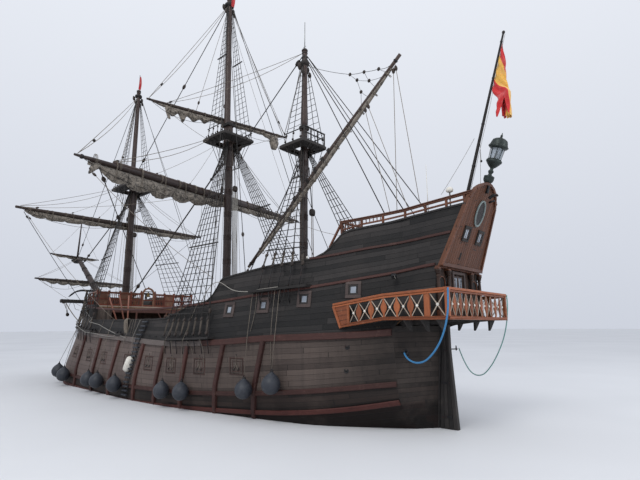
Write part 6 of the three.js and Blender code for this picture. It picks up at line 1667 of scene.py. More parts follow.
# ---- anchors, hung with the crown up against the bow
for s_ in (PORT, STARBOARD):
    word = "port" if s_ > 0 else "starboard"
    an = Kit("anchor_work_" + word)
    crown, ring_ = Vector((13.4, s_ * 2.76, 7.58)), Vector((13.5, s_ * 3.16, 4.72))
    d = (ring_ - crown).normalized()
    side = Vector((0, 1, 0)).cross(d).normalized()
    face = side.cross(d).normalized()
    an.tube([tuple(crown.lerp(ring_, t)) for t in (0, 0.1, 0.3, 0.55, 0.8, 0.95, 1)], [0.1, 0.1, 0.09, 0.082, 0.076, 0.085, 0.07], M_IRON, 8)
    an.ball(tuple(crown), 0.11, M_IRON, 12, 8, (1.0, 1.3, 0.9))
    for k in (1, -1):
        arm = [(0, 0, 0), (0.01, 0.28, 0.02), (0.02, 0.55, 0.0), (0.03, 0.83, -0.08), (0.05, 1.08, -0.2), (0.075, 1.31, -0.39), (0.1, 1.5, -0.6)]
        pts = [crown + Vector((x, s_ * k * y, z)) for x, y, z in arm]
        an.tube([tuple(p) for p in pts], [0.095, 0.092, 0.085, 0.075, 0.062, 0.048, 0.022], M_IRON, 8)
        # the palm, a spade-shaped plate on the inner face of the arm
        rings = []
        u = (pts[6] - pts[4]).normalized()
        w_ = Vector((1, 0, 0)) - u * u.x
        w_.normalize()
        nrm = u.cross(w_) * (-1 if u.cross(w_).z > 0 else 1)
        for t, half in ((-0.18, 0.06), (-0.12, 0.15), (0.05, 0.19), (0.22, 0.17), (0.36, 0.1), (0.44, 0.02)):
            c = pts[4] + u * (t + 0.08) + nrm * 0.05
            rings.append([tuple(c + w_ * half + nrm * 0.0), tuple(c + nrm * 0.022), tuple(c - w_ * half), tuple(c - nrm * 0.022)])
        an.grid(rings, M_IRON, smooth_=False)
    # wooden stock in two halves with iron bands
    a, b = Vector((12.75, s_ * 3.46, 5.0)), Vector((14.15, s_ * 2.87, 5.0))
    sd = (b - a).normalized()
    for q in (-1, 1):
        an.beam(tuple(a + Vector((0, 0, 0.045 * q))), tuple(b + Vector((0, 0, 0.045 * q))), 0.15, 0.085, M_TAR, chamfer=0.2)
    for t in (0.06, 0.3, 0.7, 0.94):
        c = a.lerp(b, t)
        an.beam(tuple(c - sd * 0.03), tuple(c + sd * 0.03), 0.17, 0.195, M_IRON, chamfer=0.15)
    c0 = ring_ - d * 0.03
    loop = [tuple(c0 + (d * math.cos(a_) + side * math.sin(a_)) * 0.1) for a_ in [2 * math.pi * q / 14 for q in range(15)]]
    an.tube(loop, 0.022, M_IRON, 6, caps=False)
    for t in (0.22, 0.55):
        c = crown.lerp(ring_, t)
        for q in range(5):
            o = d * (0.045 * (q - 2))
            lp = [tuple(c + o + (side * math.cos(a_) + face * math.sin(a_)) * 0.105) for a_ in [2 * math.pi * k / 10 for k in range(11)]]
            an.tube(lp, 0.018, M_ROPE, 5, caps=False)
    an.make("root", "iron", ["anchor_" + word])
    gear = Kit("anchor_gear_" + word)
    for off in (-0.06, 0.06):
        gear.tube(sag(tuple(ring_ + Vector((off, 0, 0.12))), (15.5 + off, s_ * 3.75, 6.58), 0.12, 6), 0.02, M_ROPE, 6)
    # the crown's lashing to the rail, and a bight of cable
    gear.tube(sag(tuple(crown + Vector((0.05, 0, -0.05))), (13.3, s_ * (top_y(13.3, 6.6) - 0.1), 6.75), 0.0, 2), 0.022, M_TARRED_ROPE, 6)
    gear.tube(spline([tuple(ring_ + Vector((0, 0, -0.06))), (13.9, s_ * 3.12, 4.5), (14.5, s_ * 2.85, 4.62), (14.95, s_ * (hull_y(14.95, 4.9) + 0.04), 4.9)], 5), 0.035, M_TARRED_ROPE, 6)
    gear.make("root", "rope")

# =====================================================================================
# Masts, tops, bowsprit, yards and furled sails
# =====================================================================================
rad = math.radians


def mast_x(x0, rake, z):
    return x0 - math.tan(rad(rake)) * (z - 8)


MASTS = [
    ["fore_mast", 11.8, -0.38, deck_z(11.8) + 0.04, 27.8, 0.33, 0.25, 17.34],
    ["main_mast", -3.5, -1.26, deck_z(-3.5) + 0.04, 30.6, 0.29, 0.26, 17.95],
    ["mizzen_mast", -11.0, 0.26, deck_z(-11.0) + 0.04, 23.9, 0.25, 0.2, 15.27],
]
LOWER_TOP = []
for name_, x0, rake, foot, head, r0, r1, top in MASTS:
    kit = Kit(name_ + "_work")
    at = lambda z, dx=0.0: (mast_x(x0, rake, z) + dx, 0, z)
    zs = [lerp(foot, top + 1.4, i / 14) for i in range(15)]
    kit.tube([at(z) for z in zs], [r0 * line([[0, 1], [0.5, 0.97], [0.93, r1 / r0], [1, r1 / r0 * 0.92]], i / 14) for i in range(15)], M_MAST, 18)
    up = 0.0 if name_ == "mizzen_mast" else r1 * 0.86 + 0.06
    ur = {"fore_mast": [0.225, 0.2, 0.17], "main_mast": [0.25, 0.22, 0.19], "mizzen_mast": [0.19, 0.175, 0.16]}[name_]
    z0, z1 = (top - 0.8, head) if name_ != "mizzen_mast" else (top + 1.2, 21.9)
    zs = [lerp(z0, z1, i / 12) for i in range(13)]
    kit.tube([at(z, up + (r1 * 0.14 if up else 0)) for z in zs], [line([[0, ur[0]], [0.6, ur[1]], [1, ur[2]]], i / 12) for i in range(13)], M_MAST, 16)
    uo = up + (r1 * 0.14 if up else 0)
    # cap, heel and trestle-trees
    kit.beam((at(top + 1.2)[0] - r1, 0, top + 1.2), (at(top + 1.2)[0] + uo + ur[0] * 1.15, 0, top + 1.2), 2 * r1 + 0.16, 0.22, M_TAR)
    for s_ in (PORT, STARBOARD):
        kit.beam((at(top - 0.9)[0], s_ * r1 * 0.95, top - 1.9), (at(top - 0.9)[0] + 0.05, s_ * r1 * 1.1, top - 0.35), 0.14, 0.34, M_MAST, up=(0, 1, 0))
    # rope wooldings in pairs of wooden hoops
    z = foot + 1.6
    while z < top - 1.2:
        rr = r0 * line([[0, 1], [0.5, 0.97], [0.93, r1 / r0], [1, r1 / r0 * 0.92]], (z - foot) / (top + 1.4 - foot))
        for k in range(6):
            kit.lathe([(rr + 0.002, -0.022), (rr + 0.014, -0.01), (rr + 0.014, 0.01), (rr + 0.002, 0.022)], at(z + k * 0.044), M_MAST, sides=16)
        for dz in (-0.05, 0.27):
            kit.lathe([(rr + 0.002, -0.03), (rr + 0.018, -0.02), (rr + 0.018, 0.02), (rr + 0.002, 0.03)], at(z + dz), M_MAST, sides=16)
        z += 1.7
    # head: bands and truck
    hz = z1
    for dz in (0.28, 0.6):
        kit.lathe([(ur[2] + 0.002, -0.04), (ur[2] + 0.03, -0.03), (ur[2] + 0.03, 0.03), (ur[2] + 0.002, 0.04)], at(hz - dz, uo), M_TAR, sides=16)
    kit.lathe([(ur[2] * 0.9, 0), (ur[2] * 1.25, 0.03), (ur[2] * 1.25, 0.1), (ur[2] * 0.7, 0.15), (0.01, 0.17)], at(hz - 0.16, uo), M_TAR, sides=16)
    if name_ == "mizzen_mast":
        kit.tube([at(21.8), at(23.88)], [0.035, 0.02], M_STEEL, 8)
        kit.tube([at(22.1, 0.12), at(22.1, -0.12)], 0.015, M_STEEL, 6)
    # boss where the mast passes the deck
    kit.lathe([(r0 + 0.02, 0), (r0 + 0.16, 0.0), (r0 + 0.14, 0.08), (r0 + 0.03, 0.16)], at(foot - 0.03), M_RED_OCHRE, sides=18)
    kit.make("root", "mast_wood", [name_])

TOPS = [["fore_top", 0, 1.48, 1.48, 17.34, 0.32], ["main_top", 1, 1.4, 1.4, 17.95, 0.32], ["mizzen_top", 2, 1.09, 1.09, 15.27, 0.28]]
for name_, row, hx, hy, z, deep in TOPS:
    _, x0, rake, _, _, _, r1, _ = MASTS[row]
    cx = mast_x(x0, rake, z) + 0.12
    kit = Kit(name_ + "_work")

    def squared(k, f, n=32):
        """A rounded square outline."""
        a = 2 * math.pi * k / n
        c, s = math.cos(a), math.sin(a)
        p = 1 / (abs(c) ** 14 + abs(s) ** 14) ** (1 / 14)
        return cx + hx * 0.985 * f * c * p, hy * 0.985 * f * s * p

    n = 32
    prof = [(0.55, -deep), (0.76, -deep * 0.78), (0.97, -0.15)]
    rings = [[(*squared(k, f), z + h) for k in range(n)] for f, h in prof]
    kit.grid(rings, M_TAR, smooth_=False, caps=False)
    # rim, floor
    rim = [(0.93, -0.15), (1.0, -0.15), (1.01, -0.12), (1.01, 0.02), (1.0, 0.04), (0.93, 0.04)]
    rings = [[(*squared(k, f), z + h) for k in range(n)] for f, h in rim + rim[:1]]
    kit.grid(rings, M_TAR, smooth_=False, caps=False)
    y = -hy * 0.92
    while y < hy * 0.92:
        b = min(0.17, hy * 0.92 - y)
        xx = hx * 0.9
        if abs(y + b / 2) < r1 * 1.3:
            kit.beam((cx - xx, y + b / 2, z - 0.03), (cx - 0.12 - r1 * 1.4, y + b / 2, z - 0.03), b - 0.012, 0.04, M_OAK)
            kit.beam((cx + 0.1 + r1 * 2.1, y + b / 2, z - 0.03), (cx + xx, y + b / 2, z - 0.03), b - 0.012, 0.04, M_OAK)
        else:
            kit.beam((cx - xx, y + b / 2, z - 0.03), (cx + xx, y + b / 2, z - 0.03), b - 0.012, 0.04, M_OAK)
        y += 0.17
    # ribs under the floor
    for k in range(0, n, 2):
        a, b = squared(k, 0.56), squared(k, 0.965)
        m = squared(k, 0.76)
        kit.beam((*a, z - deep * 0.98), (*m, z - deep * 0.8), 0.06, 0.05, M_TAR)
        kit.beam((*m, z - deep * 0.8), (*b, z - 0.16), 0.06, 0.05, M_TAR)
    rm = r1 * 1.9 + 0.1
    for s_ in (PORT, STARBOARD):
        kit.beam((cx - hx * 0.86, s_ * (rm + 0.08), z - 0.12), (cx + hx * 0.84, s_ * (rm + 0.08), z - 0.12), 0.16, 0.18, M_TAR)
    for dx in (-0.75, 0.75):
        kit.beam((cx + dx * hx * 0.7, -hy * 0.86, z - 0.1), (cx + dx * hx * 0.7, hy * 0.86, z - 0.1), 0.12, 0.1, M_TAR)
    if row == 2:
        # railing on the after edge
        for py_ in (-0.9, -0.3, 0.3, 0.9):
            kit.beam((cx - 0.98, py_, z + 0.02), (cx - 0.98, py_, z + 0.85), 0.07, 0.08, M_TAR, up=(1, 0, 0))
        kit.beam((cx - 0.98, -0.95, z + 0.835), (cx - 0.98, 0.95, z + 0.835), 0.09, 0.07, M_TAR)
        kit.beam((cx - 0.98, -0.92, z + 0.45), (cx - 0.98, 0.92, z + 0.45), 0.05, 0.06, M_TAR)
    else:
        # short stanchions on the rim, for the topmast shrouds and the lines that come down here
        for k in range(1, n, 2):
            px_, py_ = squared(k, 0.965)
            kit.beam((px_, py_, z + 0.03), (px_, py_, z + 0.2), 0.05, 0.05, M_TAR, up=(1, 0, 0))
    kit.make("root", "tarred_wood", [name_])

bs = Kit("bowsprit_work")
pts = [tuple(bow(i / 12)) for i in range(13)]
bs.tube(pts, [line([[0, 0.34], [0.5, 0.31], [1, 0.2]], i / 12) for i in range(13)], M_MAST, 16)
for t in (0.12, 0.24, 0.5, 0.64, 0.78, 0.93):
    c, d = bow(t), (bow(1) - bow(0)).normalized()
    rr = line([[0, 0.34], [0.5, 0.31], [1, 0.2]], t)
    for k in range(5):
        bs.lathe([(rr + 0.004, -0.022), (rr + 0.022, -0.01), (rr + 0.022, 0.01), (rr + 0.004, 0.022)], tuple(c + d * (k * 0.044)), M_TARRED_ROPE, axis=tuple(d), sides=16)
bs.make("root", "mast_wood", ["bowsprit"])
st = Kit("sprit_topmast_work")
st.tube([(24.42, 0, 11.62), (24.26, 0, 13.75), (24.1, 0, 15.9)], [0.11, 0.085, 0.055], M_MAST, 12)
st.lathe([(0.07, 0), (0.09, 0.03), (0.05, 0.08), (0.01, 0.09)], (24.1, 0, 15.86), M_TAR, sides=12)
st.lathe([(0.2, -0.35), (0.26, -0.33), (0.56, -0.08), (0.58, -0.06), (0.58, 0.02), (0.54, 0.03), (0.12, 0.02)], (24.42, 0, 11.75), M_TAR, sides=24, smooth_=False)
for k in range(12):
    a = 2 * math.pi * k / 12
    c, s = math.cos(a), math.sin(a)
    st.beam((24.42 + 0.24 * c, 0.24 * s, 11.42), (24.42 + 0.55 * c, 0.55 * s, 11.67), 0.04, 0.05, M_TAR)
    st.beam((24.42 + 0.53 * c, 0.53 * s, 11.76), (24.42 + 0.53 * c, 0.53 * s, 12.1), 0.035, 0.035, M_TAR, up=(1, 0, 0))
st.tube([(24.42 + 0.53 * math.cos(2 * math.pi * k / 24), 0.53 * math.sin(2 * math.pi * k / 24), 12.1) for k in range(25)], 0.025, M_TAR, 6, caps=False)
st.make("root", "mast_wood", ["sprit_topmast"])

# ---- yards
YARDS = [
    ["fore_yard", "fore_sail", 0, 13.9, 9.93, -13.62, -2.84, 0.56, 0.2, 0.1, 0.24],
    ["main_yard", "main_sail", 1, 13.54, 11.57, -15.85, -3.28, 0.62, 0.24, 0.11, 0.27],
    ["main_topsail_yard", "main_topsail", 1, 19.87, 5.9, 7.44, -2.08, 0.85, 0.14, 0.07, 0.24],
    ["spritsail_yard", "spritsail", [20.75, 9.05], 9.05, 6.2, -23.96, -1.64, 0, 0.13, 0.07, 0.16],
    ["sprit_topsail_yard", "sprit_topsail", [24.4, 12.15], 12.15, 2.97, -16.25, -0.12, 0.3, 0.08, 0.05, 0.1],
]


class Arm:
    """Points along a yard: s metres from the middle, port positive."""

    def __init__(self, px_, z, brace, tilt, ahead):
        b, t = rad(brace), rad(tilt)
        self.mid = Vector((px_ + ahead * math.cos(b), -ahead * math.sin(b), z))
        self.d = Vector((math.sin(b) * math.cos(t), math.cos(b) * math.cos(t), math.sin(t)))
        self.f = Vector((math.cos(b), -math.sin(b), 0))

    def at(self, s, drop=0.0, fwd=0.0):
        return self.mid + self.d * s + self.f * fwd - Vector((0, 0, drop))


ARMS = {}


def fold(s, a, seed):
    """Crumpled cloth: a signed number for place s along the bundle and angle a round it."""
    ridge = 1 - 2.4 * abs(noise.noise(Vector((s * 2.6 + a * 0.35, math.cos(a) * 1.9 + seed, math.sin(a) * 1.9))))
    return 0.8 * noise.noise(Vector((s * 1.7, math.cos(a) * 1.6 + seed, math.sin(a) * 1.6))) + 0.55 * noise.noise(Vector((s * 5.2, math.cos(a) * 3.4, math.sin(a) * 3.4 + seed))) + 0.45 * ridge


def bundle(kit, centre, down, fwd, length, radius, hang, mat, seed, sides=28, steps=90, first=0.0):
    """A furled sail: centre(s) on the spar's underside, pulled up at the gaskets; hang(s) sets how deep it hangs, and
    down is not used.
    """
    rings = []
    for i in range(steps + 1):
        s = lerp(-length, length, i / steps)
        c = centre(s)
        r = radius(s)
        h = hang(s)
        ring = []
        for k in range(sides):
            a = 2 * math.pi * k / sides
            w = 1 + 0.42 * fold(s, a, seed)
            # below the middle the cloth hangs lower, above it is pressed against the spar
            v = math.sin(a)
            depth = (h * 0.5) * (1 - v)
            crump = noise.noise(Vector((s * 3.3 + depth * 1.5, depth * 5.0, seed + math.copysign(3.0, math.cos(a))))) + 0.6 * noise.noise(Vector((s * 8.0, depth * 9.0, seed)))
            q = c - Vector((0, 0, 1)) * (depth * (0.8 + 0.2 * w)) + fwd * (math.cos(a) * r * w * (1 - 0.25 * max(0, -v) ** 2) + math.copysign(min(0.09, h * 0.22), math.cos(a)) * crump * (1 - v) * 0.6)
            ring.append(tuple(q))
        rings.append(ring)
    kit.grid(rings, mat, smooth_=True)


def gasket(kit, centre, d, w, low, high, r=0.018, turns=2):
    """Rope turns round a spar and its furled sail."""
    side = d.cross(Vector((0, 0, 1))).normalized()
    for k in range(turns):
        c = centre + d * (0.05 * k)
        loop = []
        for q in range(13):
            a = 2 * math.pi * q / 12
            v = math.sin(a)
            loop.append(tuple(c + side * (w * math.cos(a)) + Vector((0, 0, 1)) * (v * (high if v > 0 else low))))
        kit.tube(loop, r, M_ROPE, 5, caps=False)


def scallop(s, pitch, phase=0.0):
    return abs(math.sin(math.pi * (s + phase) / pitch)) ** 0.7


for j, (name_, sail_, row, z, L, brace, tilt, ahead, rm, re, rs) in enumerate(YARDS):
    px_ = row[0] if isinstance(row, list) else mast_x(MASTS[row][1], MASTS[row][2], z)
    A = ARMS[name_] = Arm(px_, z, brace, tilt, ahead)
    ry = lambda s: line([[0, rm], [0.5, rm * 0.86], [1, re]], abs(s) / L)
    kit = Kit(name_ + "_work")
    if name_ == "main_yard":
        # two spars scarfed together side by side over the middle
        ry = lambda s: line([[0, rm], [0.5, rm * 0.86], [0.97, re], [1, 0.06]], abs(s) / L)
        kit.tube([tuple(A.at(lerp(-L, L * 0.62, i / 16))) for i in range(17)], [ry(lerp(-L, L * 0.62, i / 16)) * 0.98 for i in range(17)], M_MAST, 14)
        kit.tube([tuple(A.at(lerp(-L * 0.5, L * 0.8, i / 16), -0.18)) for i in range(17)], [ry(lerp(-L * 0.5, L * 0.8, i / 16)) * 0.68 for i in range(17)], M_MAST, 14)
        kit.tube([tuple(A.at(lerp(L * 0.3, L, i / 8))) for i in range(9)], [ry(lerp(L * 0.3, L, i / 8)) for i in range(9)], M_MAST, 14)
        high = 0.36
    else:
        kit.tube([tuple(A.at(lerp(-L, L, i / 24))) for i in range(25)], [ry(lerp(-L, L, i / 24)) for i in range(25)], M_YARD, 14)
        high = 0.0
    for k in range(int(L * 2 / 1.5)):
        s = -L + 0.9 + k * 1.5
        if abs(s) < L * 0.95:
            rr = ry(s)
            gasket(kit, A.at(s), A.d, rr + 0.012, rr + 0.012, max(high, rr + 0.012), 0.012, 3)
    # iron bands near the ends
    for s_ in (PORT, STARBOARD):
        kit.lathe([(re + 0.002, -0.05), (re + 0.015, -0.04), (re + 0.015, 0.04), (re + 0.002, 0.05)], tuple(A.at(s_ * L * 0.965)), M_IRON, axis=tuple(A.d), sides=14)
    # footrope under each arm, held by stirrups
    if L > 5:
        for s_ in (PORT, STARBOARD):
            foot_ = [A.at(s_ * L * 0.95, re), A.at(s_ * L * 0.72, 0.75, -0.12), A.at(s_ * L * 0.4, 0.85, -0.12), A.at(s_ * L * 0.08, rm + 0.1, -0.1)]
            kit.tube(spline(foot_, 5), 0.014, M_TARRED_ROPE, 5)
            for f in (0.72, 0.4):
                kit.tube([tuple(A.at(s_ * L * f, 0.0, -ry(L * f))), tuple(A.at(s_ * L * f, 0.78, -0.12))], 0.012, M_TARRED_ROPE, 5)
    kit.make(name_, "mast_wood", [name_])

    kit = Kit(sail_ + "_furl")
    reach = L * 0.93
    taper = lambda s: max(0.15, 1 - (abs(s) / reach) ** 5 * 0.85)
    if name_ == "main_topsail_yard":
        hang = lambda s: (0.16 + 0.07 * scallop(s, 0.9) + (0.62 * math.exp(-(((s - 4.05) / 0.36) ** 2)) + 0.74 * math.exp(-(((s - 3.28) / 0.22) ** 2)) + 0.44 * math.exp(-(((s - 2.45) / 0.36) ** 2)) + 0.32 * math.exp(-(((s - 1.6) / 0.3) ** 2)) + 0.3 * math.exp(-(((s + 4.3) / 0.5) ** 2)))) * taper(s)
    elif name_ == "main_yard":
        hang = lambda s: line([[-11, 0.2], [-8, 0.34], [-3, 0.42], [0, 0.46], [2, 0.7], [4, 0.84], [6, 0.92], [8, 0.96], [9.3, 0.72], [10.2, 0.3], [11, 0.15]], s) * (0.72 + 0.28 * scallop(s, 1.75, 0.4) + 0.14 * noise.noise(Vector((s * 0.9, 4.0, 0))))
    elif name_ == "fore_yard":
        hang = lambda s: line([[-9.3, 0.15], [-8.4, 0.34], [-6.6, 0.5], [-4.8, 0.46], [-3, 0.36], [0, 0.34], [3, 0.42], [6, 0.54], [8, 0.56], [9.0, 0.3], [9.3, 0.15]], s) * (0.7 + 0.3 * scallop(s, 1.6, 0.4) + 0.14 * noise.noise(Vector((s * 0.9, 9.0, 0))))
    elif L > 8:
        hang = lambda s: (0.26 + 0.1 * math.exp(-((s / (L * 0.45)) ** 2)) + 0.2 * scallop(s, 1.75, 0.4) * (0.6 + 0.6 * noise.noise(Vector((s * 0.9, j, 0))))) * taper(s) * (rs / 0.24)
    else:
        hang = lambda s: (0.22 + 0.22 * scallop(s, 1.3, 0.2) * (0.7 + 0.5 * noise.noise(Vector((s * 1.1, j, 0))))) * taper(s) * (rs / 0.16)
    radius = lambda s: rs * 0.74 * taper(s) * (1 + 0.12 * noise.noise(Vector((s * 2.3, j * 3.1, 2))))
    bundle(kit, lambda s: A.at(s, ry(s) * 0.9, 0.05), None, A.f, reach, radius, hang, M_CANVAS, j * 7.3, steps=int(L * 22) if L > 5 else 100)
    k = -reach + 0.6
    while k < reach - 0.3:
        c = A.at(k, 0.0, 0.02)
        gasket(kit, c, A.d, max(ry(k), radius(k)) + 0.03, ry(k) + hang(k) * 0.98, max(high, ry(k) + 0.02), 0.013, 2)
        k += 1.75 if L > 8 else 1.3
    if name_ == "main_topsail_yard":
        # a loose corner hanging at the port arm, and a bag of cloth at the starboard arm
        for sc, wide, long_, fw in ((4.5, 0.13, 0.85, 0.0), (-4.6, 0.36, 1.15, 0.0)):
            rings = []
            for i in range(15):
                t = i / 14
                ww = wide * (0.45 + 0.75 * math.sin(math.pi * min(1, 0.15 + t * 0.75)) ** 0.8) * (1 - 0.25 * t)
                cc = A.at(sc - (0.25 * t if sc > 0 else 0.0), ry(sc) + 0.1 + long_ * t)
                ring = []
                for q in range(16):
                    a = 2 * math.pi * q / 16
                    w = 1 + 0.35 * fold(t * 2.2 + sc, a, 3.3)
                    ring.append(tuple(cc + A.d * (math.cos(a) * ww * w) + A.f * (math.sin(a) * ww * 0.5 * w)))
                rings.append(ring)
            kit.grid(rings, M_CANVAS)
    if name_ == "main_yard":
        # the clew, tied out beyond the bundle at the port arm
        rings = []
        for i in range(11):
            t = i / 10
            cc = A.at(L * 0.88 + 0.5 * t, 0.08 + 0.72 * t, 0.0)
            ww = 0.19 * math.sin(math.pi * min(1, 0.2 + 0.8 * t)) + 0.03
            rings.append([tuple(cc + A.d * (math.cos(a) * ww * (1 + 0.3 * fold(t * 2, a, 9))) + A.f * (math.sin(a) * ww * 0.4)) for a in [2 * math.pi * q / 12 for q in range(12)]])
        kit.grid(rings, M_CANVAS)
    ob = kit.make(name_, "canvas", [sail_])

# ---- lateen yard with its sail
LOW, PEAK = Vector((-6.5, 0.47, 8.14)), Vector((-18.4, 0.47, 18.1))
LD = (PEAK - LOW).normalized()
LN = Vector((0.64, 0, 0.77)).normalized()


def lat(s, up=0.0, out=0.0):
    return LOW.lerp(PEAK, s) + LN * up + Vector((0, out, 0))


kit = Kit("mizzen_yard_work")
kit.tube([tuple(lat(i / 14 * 0.6)) for i in range(15)], [line([[0, 0.09], [0.5, 0.16], [1, 0.12]], i / 14) for i in range(15)], M_YARD, 14)
kit.tube([tuple(lat(lerp(0.34, 1, i / 14), lerp(0.13, 0.02, i / 14))) for i in range(15)], [line([[0, 0.1], [0.3, 0.14], [1, 0.09]], i / 14) for i in range(15)], M_YARD, 14)
for s in (0.36, 0.4, 0.45, 0.5, 0.55, 0.59):
    c = lat(s, 0.06)
    side = Vector((0, 1, 0))
    for q in range(5):
        o = LD * (0.04 * q)
        loop = [tuple(c + o + side * (0.17 * math.cos(a)) + LN * (0.25 * math.sin(a))) for a in [2 * math.pi * k / 12 for k in range(13)]]
        kit.tube(loop, 0.018, M_TARRED_ROPE, 5, caps=False)
for s, r in ((0.02, 0.1), (0.975, 0.1)):
    kit.lathe([(r + 0.002, -0.05), (r + 0.02, -0.04), (r + 0.02, 0.04), (r + 0.002, 0.05)], tuple(lat(s, 0.02 if s > 0.5 else 0)), M_IRON, axis=tuple(LD), sides=14)
kit.make("mizzen_yard", "mast_wood", ["mizzen_yard"])
kit = Kit("mizzen_sail_furl")
rings = []
n = 110
for i in range(n + 1):
    s = lerp(0.07, 0.95, i / n)
    u = (s - 0.07) / 0.88
    r = line([[0, 0.05], [0.12, 0.09], [0.5, 0.115], [0.85, 0.09], [1, 0.04]], u) * (1 + 0.12 * scallop(s * 15.5, 1.1))
    c = lat(s, -line([[0, 0.15], [0.5, 0.22], [1, 0.12]], u), 0.04)
    rings.append([tuple(c + Vector((0, 1, 0)) * (math.cos(a) * r * 0.9 * (1 + 0.28 * fold(s * 15, a, 4.2))) + LN * (math.sin(a) * r * 1.15 * (1 + 0.2 * fold(s * 15, a, 8.2)))) for a in [2 * math.pi * q / 16 for q in range(16)]])
kit.grid(rings, M_CANVAS)
s = 0.1
while s < 0.93:
    c = lat(s, -0.12, 0.02)
    for q in range(2):
        o = LD * (0.05 * q)
        loop = [tuple(c + o + Vector((0, 1, 0)) * (0.16 * math.cos(a)) + LN * (0.26 * math.sin(a))) for a in [2 * math.pi * k / 12 for k in range(13)]]
        kit.tube(loop, 0.014, M_ROPE, 5, caps=False)
    s += 0.075
ob = kit.make("mizzen_yard", "canvas", ["mizzen_sail"])

# =====================================================================================
# Standing rigging: shrouds with deadeyes and ratlines, stays, backstays
# =====================================================================================
def deadeye(kit, at, axis, r=0.11, t=0.07, mat=None):
    kit.lathe([(r * 0.35, -t / 2), (r * 0.85, -t / 2), (r, -t / 4), (r * 0.93, 0), (r, t / 4), (r * 0.85, t / 2), (r * 0.35, t / 2)], at, mat or M_BLOCK, axis=axis, sides=10)


def block(kit, at, axis, w=0.09, h=0.17):
    """A pulley block: an egg of dark wood."""
    kit.lathe([(0.015, -h), (w * 0.7, -h * 0.75), (w, -h * 0.2), (w, h * 0.2), (w * 0.7, h * 0.75), (0.015, h)], at, M_BLOCK, axis=axis, sides=8)


def rope(kit, pts, r, mat, sides=5):
    kit.tube(pts, r, mat, sides)


def lanyard(kit, low, high, across, r=0.018):
    a = Vector(across)
    for k in (-1, 0, 1):
        rope(kit, [tuple(Vector(low) + a * (0.05 * k)), tuple(Vector(high) + a * (0.05 * k))], r, M_LANYARD, 4)


def shroud_gang(name, feet, heads, plates, side, sheer_dz, battens, first, step, r=0.026, eye=0.11, gap=0.85, mat=None, top_stop=0.6):
    """feet: lower deadeye centres; heads: where each shroud ends; plates: where the chain below each deadeye starts, or None."""
    kit = Kit(name)
    ups = []
    for (f, h) in zip(feet, heads):
        F_, H = Vector(f), Vector(h)
        d = (H - F_).normalized()
        u = F_ + d * gap
        ups.append(u)
        across = Vector((1, 0, 0))
        ax = d.cross(across).normalized()
        deadeye(kit, tuple(F_), tuple(ax), eye)
        deadeye(kit, tuple(u), tuple(ax), eye)
        lanyard(kit, tuple(F_ + d * eye * 0.5), tuple(u - d * eye * 0.5), (1, 0, 0), 0.018 if eye > 0.08 else 0.011)
        rope(kit, [tuple(u + d * 0.06), tuple(u.lerp(H, 0.5)), tuple(H)], r, mat or M_TARRED_ROPE, 6)
        # seizings above the deadeye
        for q in (0.16, 0.3):
            kit.lathe([(r + 0.002, -0.03), (r + 0.02, -0.02), (r + 0.02, 0.02), (r + 0.002, 0.03)], tuple(u + d * q), M_TARRED_ROPE, axis=tuple(d), sides=8)
    if plates:
        for f, p in zip(feet, plates):
            rope(kit, [p, f], 0.025, M_IRON, 6)
    on = lambda i, z: ups[i].lerp(Vector(heads[i]), clamp((z - ups[i].z) / (heads[i][2] - ups[i].z), 0, 1))
    n = len(feet)
    out = Vector((0, side * 0.035, 0))
    # sheer pole and battens
    z = max(u.z for u in ups) + sheer_dz
    A, B = on(0, z), on(n - 1, z)
    e = (A - B).normalized()
    rope(kit, [tuple(A + e * 0.15 + out), tuple(B - e * 0.15 + out)], 0.032, M_TAR, 6)
    for zb in battens:
        A, B = on(0, zb), on(n - 1, zb)
        e = (A - B).normalized()
        kit.beam(tuple(A + e * 0.2 + out * 1.4), tuple(B - e * 0.2 + out * 1.4), 0.07, 0.07, M_TAR)
    z = z + first
    ztop = min(h[2] for h in heads) - top_stop
    while z < ztop:
        pts = []
        for i in range(n):
            p = on(i, z + RNG.uniform(-0.012, 0.012))
            pts.append(tuple(p + out * 0.6))
            if i < n - 1:
                q = on(i, z).lerp(on(i + 1, z), 0.5)
                pts.append(tuple(q + out * 0.6 - Vector((0, 0, 0.022))))
        rope(kit, pts, 0.019, M_TARRED_ROPE, 4)
        z += step
    kit.make("root", "rope")


def channel_feet(x0, x1, n, side, dz=0.42, reach=0.36):
    feet, plates = [], []
    for i in range(n):
        x = lerp(x0, x1, i / (n - 1))
        z = wale_z(x) + 0.29
        y = hull_y(x, z)
        feet.append((x, side * (y + reach), z + dz - 0.2))
        plates.append((x, side * (hull_y(x, wale_z(x) - 0.5) + 0.13), wale_z(x) - 0.55))
    return feet, plates


